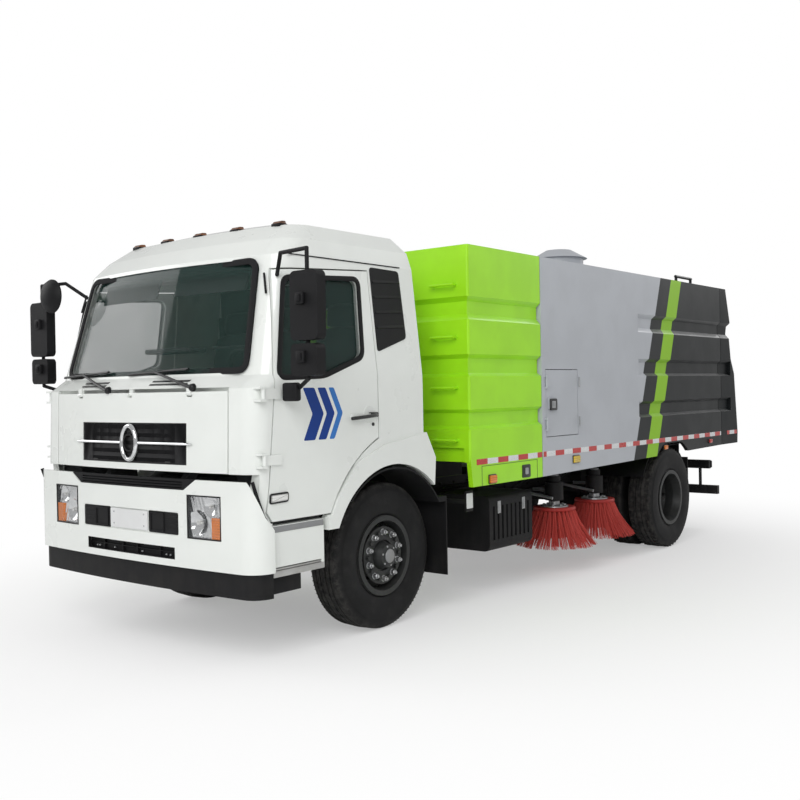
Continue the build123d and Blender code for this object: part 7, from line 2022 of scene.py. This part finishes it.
    def mirror(self, sign: float, side: str) -> None:
        """Mirror glasses, clamps and the small kerb mirror."""
        glass = Shape()
        for x0, x1, z0, z1, r in ((1.349, 1.541, 2.040, 2.420, 0.034), (1.347, 1.533, 1.822, 1.984, 0.030)):
            line = rounded(oblong(sign * x0, z0, sign * x1, z1), r, 6)
            glass.prism(line, 1, at(-1.1135), at(-1.1095), 0.0012, 1)
        glass.piece(f"mirror_glass_{side}", Paintbox.MIRROR, f"door_{side}_body", "glass")
        fittings = Shape()
        for z in (2.235, 1.885):
            a, b = span(sign, 1.395, 1.462)
            fittings.block((a, at(-1.214), z), (b, at(-1.180), z + 0.072), 0.008, 3)
            a, b = span(sign, 1.410, 1.447)
            fittings.block((a, at(-1.224), z + 0.014), (b, at(-1.205), z + 0.058), 0.005, 2)
        a, b = span(sign, 1.163, 1.290)
        fittings.block((a, at(-1.108), 1.652), (b, at(-1.056), 1.768), 0.016, 4)
        fittings.tube(smooth_path([(sign * 1.240, at(-1.075), 1.700), (sign * 1.205, at(-1.030), 1.694),
                                   (sign * 1.146, at(-0.985), 1.694)], 5), 0.009, 8)
        fittings.lathe([(sign * -0.004, 0.0), (sign * -0.004, 0.034), (sign * 0.004, 0.032),
                        (sign * 0.012, 0.020), (sign * 0.012, 0.0)], (sign * 1.150, at(-0.990), 1.692), 0, 20)
        fittings.piece(f"mirror_fittings_{side}", Paintbox.PLASTIC, f"door_{side}_body", "black_plastic")
        if sign < 0.0:
            self.dome(side)

    @staticmethod
    def dome(side: str) -> None:
        """The round wide-angle mirror on the far side's arm."""
        centre = (-1.235, at(-1.205), 2.475)
        shell = Shape().lathe([(-0.052, 0.0), (-0.046, 0.060), (-0.022, 0.112), (0.004, 0.130),
                               (0.012, 0.130), (0.014, 0.122), (0.008, 0.120), (0.006, 0.0)],
                              centre, 1, 48)
        shell.tube(smooth_path([(-1.235, at(-1.235), 2.490), (-1.225, at(-1.190), 2.560),
                                (-1.195, at(-1.115), 2.574)], 5), 0.011, 8)
        shell.piece(f"dome_mirror_{side}", Paintbox.PLASTIC, f"door_{side}_body", "black_plastic")
        glass = Shape().lathe([(0.004, 0.0), (0.005, 0.121), (0.012, 0.119), (0.021, 0.070),
                               (0.025, 0.0)], centre, 1, 48)
        glass.piece(f"dome_glass_{side}", Paintbox.MIRROR, f"door_{side}_body", "glass")

    def step(self, sign: float, side: str) -> None:
        """The step's alloy treads and its grey strip."""
        tread = Shape()
        for z in (0.600, 0.744):
            a, b = span(sign, 0.905, 1.143)
            tread.block((a, at(-1.166), z), (b, at(-0.764), z + 0.012), 0.003)
            for k in range(7):
                item = Shape().prism([(-0.009, -0.003), (0.0, -0.0045), (0.009, -0.003),
                                      (0.009, 0.003), (0.0, 0.0045), (-0.009, 0.003)], 2, 0.0, 0.003,
                                     0.001, 1)
                REPEATS.row(tread, item, 13, (sign * (0.925 + 0.033 * k), at(-1.150), z + 0.0115),
                            (0.0, 0.0308, 0.0))
        a, b = span(sign, 1.128, 1.1535)
        tread.block((a, at(-1.190), 0.5585), (b, at(-0.740), 0.598), 0.003)
        tread.piece(f"step_treads_{side}", Paintbox.TREAD_PLATE, "cab", "steel")
        a, b = span(sign, 1.146, 1.1535)
        strip = Shape().block((a, at(-1.192), 0.838), (b, at(-0.738), 0.876), 0.002)
        strip.piece(f"step_strip_{side}", Paintbox.STRIPE_GREY, "cab", "black_plastic")

    def roof(self) -> None:
        """The five marker lamps and the gutters."""
        lens, base = Shape(), Shape()
        for x in self.markers:
            y = CabForm.front(x, 2.835)[1] + 0.035
            base.block((x - 0.042, y - 0.030, 2.815), (x + 0.042, y + 0.050, 2.850), 0.006)
            lens.prism(rounded([(y - 0.026, 2.848), (y + 0.044, 2.848), (y + 0.034, 2.870),
                                (y - 0.008, 2.866)], 0.008, 3), 0, x - 0.034, x + 0.034, 0.004)
        base.piece("marker_bases", Paintbox.PLASTIC, "cab", "black_plastic")
        lens.piece("marker_lenses", Paintbox.SMOKED, "cab", "lamp_glass")
        gutter = Shape()
        for sign, _ in SIDES:
            path = [CabForm.side(sign, u, 2.601, 0.003) for u in (-0.940, -0.6, -0.2, 0.205)]
            gutter.tube(path, 0.0042, 6)
        gutter.piece("roof_gutters", Paintbox.RUBBER_TRIM, "cab", "black_plastic")
        slots = Shape()
        for sign, _ in SIDES:
            low, high = (sign * 1.014, at(-1.083), 2.340), (sign * 0.976, at(-1.060), 2.472)
            slots.tube([low, high], 0.0075, 8)
        slots.piece("pillar_slots", Paintbox.RUBBER_TRIM, "cab", "black_plastic")

    def build(self) -> None:
        """Builds the cab's small things."""
        self.sides()
        self.roof()


@dataclass
class BodyTrim:
    """Reflecting tape, latches, lamps and seams on the sweeper's body."""

    half: float = 1.25
    tape_z: Flat = (1.116, 1.161)
    spans: tuple[tuple[str, float, float], ...] = (("chassis", 0.887, 1.864),
                                                   ("hopper_body", 1.892, 5.870))

    def tapes(self) -> None:
        """Tape along both sides, on the tailgate's sides too."""
        low, top = self.tape_z
        for sign, side in SIDES:
            a, b = span(sign, self.half - 0.002, self.half + 0.0016)
            for number, (body, start, end) in enumerate(self.spans):
                tape = Shape()
                tape.prism(oblong(at(start), low, at(end), top), 0, a, b, 0.0004, 1)
                tape.piece(f"tape_{side}_{number}", Paintbox.TAPE, body, "white_paint")
            tape = Shape()
            tape.prism([(at(6.060), low), (at(6.372), low), (at(6.368), top), (at(6.060), top)], 0, a, b,
                       0.0004, 1)
            tape.piece(f"tape_{side}_gate", Paintbox.TAPE, "tailgate_body", "white_paint")

    def lamp(self, shape: Shape, base: Shape, sign: float, start: float, end: float, z0: float,
             z1: float) -> None:
        """Adds a side lamp at a place on the skirt.

        Args:
            shape: what the lens joins.
            base: what the base joins.
            sign: 1 or -1, the side.
            start: the lens's front end, behind the front axle.
            end: its rear end.
            z0: its foot.
            z1: its top.
        """
        a, b = span(sign, self.half - 0.002, self.half + 0.007)
        base.prism(rounded(oblong(at(start) - 0.007, z0 - 0.007, at(end) + 0.007, z1 + 0.007), 0.010, 3),
                   0, a, b, 0.002)
        a, b = span(sign, self.half + 0.004, self.half + 0.019)
        shape.prism(rounded(oblong(at(start), z0, at(end), z1), 0.008, 3), 0, a, b, 0.005, 3)

    def lamps(self) -> None:
        """Side marker lamps on the skirt."""
        for sign, side in SIDES:
            for name, finish, body, places in (
                    ("front", Paintbox.AMBER, "chassis", ((1.052, 1.145, 0.962, 1.024),)),
                    ("mid", Paintbox.YELLOW, "hopper_body", ((2.392, 2.498, 1.032, 1.092),)),
                    ("rear", Paintbox.AMBER, "hopper_body", ((4.300, 4.372, 1.042, 1.082),)),
                    ("tail", Paintbox.RED, "hopper_body", ((5.500, 5.572, 1.046, 1.086),))):
                lens, base = Shape(), Shape()
                for place in places:
                    self.lamp(lens, base, sign, *place)
                lens.piece(f"skirt_lamp_{name}_{side}", finish, body, "lamp_glass")
                base.piece(f"skirt_lamp_base_{name}_{side}", Paintbox.LATCH, body, "black_plastic")

    def latches(self) -> None:
        """The hatch's latch, the skirt door's seam and latch."""
        hatch = Shape()
        outer = 1.2722
        hatch.prism(rounded(oblong(at(1.972), 1.510, at(2.088), 1.610), 0.012, 4), 0,
                    outer - 0.004, outer + 0.0045, 0.002)
        hatch.piece("hatch_latch_plate", Paintbox.LATCH, "hatch_body", "black_plastic")
        catch = Shape()
        catch.prism(rounded(oblong(at(2.000), 1.530, at(2.060), 1.590), 0.008, 3), 0,
                    outer + 0.003, outer + 0.0065, 0.0015)
        catch.prism(rounded(oblong(at(2.018), 1.545, at(2.042), 1.575), 0.005, 3), 0,
                    outer + 0.005, outer + 0.013, 0.003)
        catch.piece("hatch_catch", Paintbox.STEEL, "hatch_body", "steel")
        edge = Shape()
        for z in (1.40, 1.75):
            edge.tube([(outer + 0.004, at(2.482), z - 0.045), (outer + 0.004, at(2.482), z + 0.045)],
                      0.0075, 10)
        edge.piece("hatch_hinges", Paintbox.STEEL, "hatch_body", "steel")
        for sign, side in SIDES:
            skirt = Shape()
            a, b = span(sign, self.half - 0.002, self.half + 0.005)
            skirt.prism(rounded(oblong(at(1.542), 0.966, at(1.668), 1.072), 0.010, 4), 0, a, b, 0.002)
            a, b = span(sign, self.half - 0.001, self.half + 0.0012)
            for low, high, start, end in ((0.948, 1.105, 0.956, 0.961), (1.101, 1.105, 0.958, 1.780),
                                          (0.948, 1.105, 1.780, 1.785)):
                skirt.block((a, at(start), low), (b, at(end), high), 0.0004, 1)
            skirt.piece(f"skirt_latch_{side}", Paintbox.LATCH, "chassis", "black_plastic")
            a, b = span(sign, self.half + 0.004, self.half + 0.011)
            lever = Shape().prism(rounded(oblong(at(1.582), 0.992, at(1.628), 1.046), 0.008, 3), 0,
                                  a, b, 0.0025)
            lever.piece(f"skirt_lever_{side}", Paintbox.STEEL, "chassis", "steel")

    def packer_gap_shadows(self) -> None:
        """Painted shade: black sheets between the body and the rails, and across their front end, where that
        gap lies in shadow.
        """
        front, low, high = at(0.867), 0.9410, 1.139
        for sign, side in SIDES:
            a, b = span(sign, 0.4305, 0.4335)
            # painted shadow: dark sheets over the shaded gap above the rails and in front of the body
            shadow_sheet = Shape().block((a, front - 0.003, low), (b, at(1.8370), high), 0.0008, 1)
            a, b = span(sign, 0.3510, 0.4330)
            shadow_sheet.block((a, front - 0.004, low), (b, front - 0.0005, high), 0.0008, 1)
            shadow_sheet.piece(f"packer_cover_{side}", Paintbox.CHASSIS, "chassis", "chassis_paint")

    def build(self) -> None:
        """Builds the body's trim."""
        self.tapes()
        self.lamps()
        self.latches()
        self.packer_gap_shadows()


@dataclass
class ChassisTrim:
    """Fittings on the frame: rear lamps, bolts, hoses, straps and the blank label plate."""

    bar_rear: float = 3.6950
    bar_z: Flat = (0.700, 0.800)

    def rear_lamps(self) -> None:
        """Lamp clusters on the upper rear bar."""
        housing, red, amber, clear = Shape(), Shape(), Shape(), Shape()
        z0, z1 = self.bar_z[0] + 0.008, self.bar_z[1] - 0.008
        for sign, _ in SIDES:
            a, b = span(sign, 0.665, 1.010)
            housing.block((a, self.bar_rear - 0.003, z0), (b, self.bar_rear + 0.022, z1), 0.008, 3)
            for shape, start, end in ((amber, 0.905, 1.000), (red, 0.775, 0.897), (clear, 0.675, 0.767)):
                a, b = span(sign, start, end)
                shape.block((a, self.bar_rear + 0.016, z0 + 0.009), (b, self.bar_rear + 0.034, z1 - 0.009),
                            0.007, 3)
        housing.piece("rear_lamp_housings", Paintbox.PLASTIC, "chassis", "black_plastic")
        for shape, finish, name in ((red, Paintbox.RED, "red"), (amber, Paintbox.AMBER, "amber"),
                                    (clear, Paintbox.WHITE_LENS, "white")):
            shape.piece(f"rear_lamp_{name}", finish, "chassis", "lamp_glass")
        plate = Shape().block((-0.225, self.bar_rear - 0.001, 0.582), (0.225, self.bar_rear + 0.0025, 0.702),
                              0.001)
        plate.block((-0.20, self.bar_rear - 0.012, 0.690), (0.20, self.bar_rear + 0.0, 0.712), 0.002)
        plate.piece("rear_blank_plate", Paintbox.PLATE, "chassis", "white_paint")
        tape = Shape().prism(oblong(-1.09, 0.432, 1.09, 0.472), 1,
                             self.bar_rear - 0.002, self.bar_rear + 0.0016, 0.0004, 1)
        tape.piece("rear_bar_tape", Paintbox.REAR_TAPE, "chassis", "white_paint")

    def rails(self) -> None:
        """Rows of bolt heads along the rails' webs."""
        bolts = Shape()
        for sign, _ in SIDES:
            for z in (0.768, 0.882):
                item = Shape().lathe([(0.0, 0.0), (0.0, 0.013), (sign * 0.003, 0.013),
                                      (sign * 0.004, 0.0105), (sign * 0.011, 0.0100),
                                      (sign * 0.012, 0.007), (sign * 0.012, 0.0)], (0.0, 0.0, 0.0), 0, 6)
                REPEATS.row(bolts, item, 34, (sign * 0.4295, at(-0.95), z), (0.0, 0.205, 0.0))
        bolts.piece("rail_bolts", Paintbox.CHASSIS, "chassis", "steel")
        lines = Shape()
        for offset_z, size, start in ((0.845, 0.008, 0.9), (0.828, 0.006, 0.9), (0.861, 0.005, 1.1)):
            path = [(0.4415 + size, at(start + 0.35 * k), offset_z + 0.004 * math.sin(2.1 * k))
                    for k in range(13)]
            lines.tube(smooth_path(path, 3), size, 8)
        lines.piece("frame_pipes", Paintbox.RUBBER_TRIM, "chassis", "black_plastic", sharp=50.0)

    def label(self) -> None:
        """The blank white plate on its bracket ahead of the battery box."""
        bracket = Shape().block((0.43, at(0.960), 0.800), (1.118, at(0.985), 0.830), 0.003)
        bracket.block((1.100, at(0.925), 0.740), (1.118, at(1.020), 0.905), 0.003)
        bracket.piece("label_bracket", Paintbox.CHASSIS, "chassis", "chassis_paint")
        plate = Shape().prism(rounded(oblong(at(0.930), 0.765, at(1.015), 0.885), 0.008, 3), 0,
                              1.1165, 1.1195, 0.0008, 1)
        plate.piece("label_plate", Paintbox.PLATE, "chassis", "white_paint")

    def boxes(self) -> None:
        """Straps and a filler cap on the tank, lid catches on the battery box."""
        straps = Shape()
        for y in (1.33, 1.72):
            straps.block((-1.1455, at(y) - 0.022, 0.390), (-1.1405, at(y) + 0.022, 0.820), 0.001)
        straps.lathe([(0.0, 0.0), (0.0, 0.050), (0.010, 0.052), (0.030, 0.052), (0.034, 0.046),
                      (0.034, 0.0)], (-0.98, at(1.30), 0.838), 2, 32)
        straps.piece("tank_straps", Paintbox.STEEL, "chassis", "steel")
        catch = Shape()
        for y in (1.34, 1.71):
            catch.block((1.1485, at(y) - 0.022, 0.690), (1.1555, at(y) + 0.022, 0.790), 0.0025)
            catch.block((1.1530, at(y) - 0.012, 0.705), (1.1610, at(y) + 0.012, 0.760), 0.003)
        catch.piece("box_catches", Paintbox.STEEL, "chassis", "steel")

    def hydraulics(self) -> None:
        """Motors' hoses and the bright guard bars above each pair of brushes."""
        for sign, side in SIDES:
            hoses, bars = Shape(), Shape()
            for rearwards in BRUSH_ROWS:
                for shift in (-0.028, 0.028):
                    path = [(sign * 0.905, at(rearwards) + shift, 0.886),
                            (sign * 0.870, at(rearwards) + shift, 0.925),
                            (sign * 0.760, at(rearwards - 0.05) + shift, 0.905),
                            (sign * 0.620, at(rearwards - 0.12) + shift, 0.800),
                            (sign * 0.565, at(rearwards - 0.20) + shift, 0.738)]
                    hoses.tube(smooth_path(path, 6), 0.011, 8)
                cap = Shape().lathe([(0.0, 0.0), (0.0, 0.046), (0.010, 0.044), (0.014, 0.020),
                                     (0.014, 0.0)], (sign * BRUSH_X, at(rearwards), 0.8885), 2, 24)
                bars.absorb(cap.bm)
                bars.tube([(sign * 0.960, at(rearwards) + 0.105, 0.742),
                           (sign * 0.640, at(rearwards) + 0.105, 0.742)], 0.014, 10)
                bars.tube([(sign * 0.975, at(rearwards) - 0.105, 0.690),
                           (sign * 0.590, at(rearwards) - 0.105, 0.748)], 0.014, 10)
            hoses.piece(f"motor_hoses_{side}", Paintbox.RUBBER_TRIM, f"arm_{side}_body", "black_plastic",
                        sharp=50.0)
            bars.piece(f"motor_bars_{side}", Paintbox.STEEL, f"arm_{side}_body", "steel")

    def build(self) -> None:
        """Builds the chassis fittings."""
        self.rear_lamps()
        self.rails()
        self.label()
        self.boxes()
        self.hydraulics()


@dataclass
class Interior:
    """Upholstered seats, sun blinds, gauges and cab linings."""

    seats: tuple[tuple[str, float, float], ...] = (("driver_seat", 0.31, 0.83),
                                                   ("passenger_seat", -0.86, 0.19))

    @staticmethod
    def pad(box: tuple[Point, Point], puff: float, lean: float, pivot: Point) -> Shape:
        """A stuffed block whose faces crown outwards.

        Args:
            box: its two corners.
            puff: how far the crown rises.
            lean: how far in radians it leans back about the pivot.
            pivot: the point that it leans about.
        Returns:
            Its shape.
        """
        part = bmesh.new()
        bmesh.ops.create_cube(part, size=2.0)
        bmesh.ops.subdivide_edges(part, edges=part.edges, cuts=7, use_grid_fill=True)
        low, high = Vector(box[0]), Vector(box[1])
        middle, half = (low + high) / 2, (high - low) / 2
        for v in part.verts:
            p = v.co.copy()
            soft = Vector([p[i] * (1.0 - 0.10 * (p[(i + 1) % 3] ** 4 + p[(i + 2) % 3] ** 4) / 2)
                           for i in range(3)])
            crown = [(1 - min(1.0, abs(p[(i + 1) % 3])) ** 2) * (1 - min(1.0, abs(p[(i + 2) % 3])) ** 2)
                     for i in range(3)]
            v.co = middle + Vector([soft[i] * half[i] + math.copysign(
                puff * crown[i], p[i]) * (1.0 if abs(p[i]) > 0.99 else 0.0) for i in range(3)])
        shape = Shape().absorb(part)
        turn = (Matrix.Translation(pivot) @ Matrix.Rotation(-lean, 4, "X")
                @ Matrix.Translation([-c for c in pivot]))
        return shape.moved(turn)

    def seat(self, node: str, low: float, high: float) -> None:
        """Builds a seat of cushion, back and head rest on its plinth.

        Args:
            node: the CAD seat that it stands for.
            low: its lower X.
            high: its higher X.
        """
        count = 1 if high - low < 0.7 else 2
        wide = (high - low) / count
        base = Shape()
        base.block((low + 0.06, at(-0.43), 1.243), (high - 0.06, at(0.10), 1.470), 0.012, 3)
        base.block((low + 0.02, at(-0.49), 1.455), (high - 0.02, at(0.06), 1.500), 0.014, 3)
        base.piece(f"{node}_base", Paintbox.CABIN, "cab", "black_plastic", (node,))
        for k in range(count):
            a, b = low + wide * k, low + wide * (k + 1)
            parts = {
                "cushion": ((a + 0.012, at(-0.515), 1.490), (b - 0.012, at(0.005), 1.625), 0.022, 0.06),
                "back": ((a + 0.020, at(0.000), 1.560), (b - 0.020, at(0.112), 2.190), 0.020, 0.13),
                "headrest": ((a + 0.110, at(0.010), 2.205), (b - 0.110, at(0.098), 2.370), 0.014, 0.13)}
            for name, (c0, c1, puff, lean) in parts.items():
                shape = self.pad((c0, c1), puff, lean if name != "cushion" else -lean,
                                 ((a + b) / 2, at(0.03), 1.56))
                made = shape.piece(f"{node}_{name}_{k}", Paintbox.SEAT, "cab", "seat_fabric", sharp=60.0)

    def lining(self) -> None:
        """Dark linings on the cab's back wall and below its roof, and a painted shadow strip on its fire wall
        where the gap behind the bumper lies in shade.
        """
        back = Shape()
        rear = at(0.2955)
        for x0, x1, z0, z1 in ((-1.03, 1.03, 1.252, 1.838), (-1.00, 1.00, 2.362, 2.578),
                               (-1.03, -0.572, 1.838, 2.362), (0.572, 1.03, 1.838, 2.362)):
            back.block((x0, rear - 0.004, z0), (x1, rear, z1), 0.0012, 1)
        for z in (1.45, 1.65):
            back.block((-0.95, rear - 0.009, z), (0.95, rear - 0.003, z + 0.018), 0.002, 1)
        back.piece("back_lining", Paintbox.CABIN, "cab", "black_plastic")
        roof = Shape().block((-0.93, at(-0.90), 2.586), (0.93, at(0.285), 2.594), 0.003)
        for y in (-0.55, -0.15):
            roof.block((-0.90, at(y), 2.582), (0.90, at(y) + 0.012, 2.588), 0.002, 1)
        roof.piece("roof_lining", Paintbox.HEAD_LINING, "cab", "black_plastic")
        # painted shade: a black strip on the fire wall where the gap between the bumper and the cab lies in
        # shadow
        wall = Shape().block((-0.985, at(-1.3120), 1.218), (0.985, at(-1.3095), 1.255), 0.0008, 1)
        wall.piece("fire_wall_lining", Paintbox.PLASTIC, "cab", "black_plastic")

    def build(self) -> None:
        """Builds what shows through the glass."""
        self.lining()
        for node, low, high in self.seats:
            self.seat(node, low, high)
        blinds = Shape()
        for low, high in ((0.10, 0.78), (-0.78, -0.10)):
            blinds.loft([[(x, CabForm.front(x, z)[1] + 0.065 + dy, z) for z, dy in
                          ((2.380, 0.0), (2.520, 0.012), (2.520, 0.030), (2.380, 0.018))]
                         for x in (low + (high - low) * k / 8 for k in range(9))])
        blinds.piece("sun_blinds", Paintbox.BLIND, "cab", "black_plastic")
        gauges = Shape()
        for x in (0.47, 0.65):
            gauges.lathe([(0.0, 0.0), (0.0, 0.060), (0.012, 0.066), (0.018, 0.062), (0.010, 0.056),
                          (0.010, 0.0)], (x, at(-0.985), 2.006), 2, 28)
        gauges.block((-0.28, at(-1.06), 1.995), (0.22, at(-0.90), 2.030), 0.012, 3)
        gauges.piece("dash_gauges", Paintbox.CABIN, "cab", "black_plastic")


PARTS = (Tyres(), WheelFittings(), Brushes(), ScreenTrim(), PanelTrim(), BumperTrim(), CabTrim(),
         BodyTrim(), ChassisTrim(), Interior())


def main() -> None:
    """Builds every sub-assembly in order."""
    logging.basicConfig(level=logging.INFO, format="%(name)s: %(message)s")
    clear_start_up()
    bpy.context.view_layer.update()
    Studio().build()
    Dressing().dress()
    for part in PARTS:
        LOG.info("building %s", type(part).__name__)
        part.build()


if __name__ == "__main__":
    main()
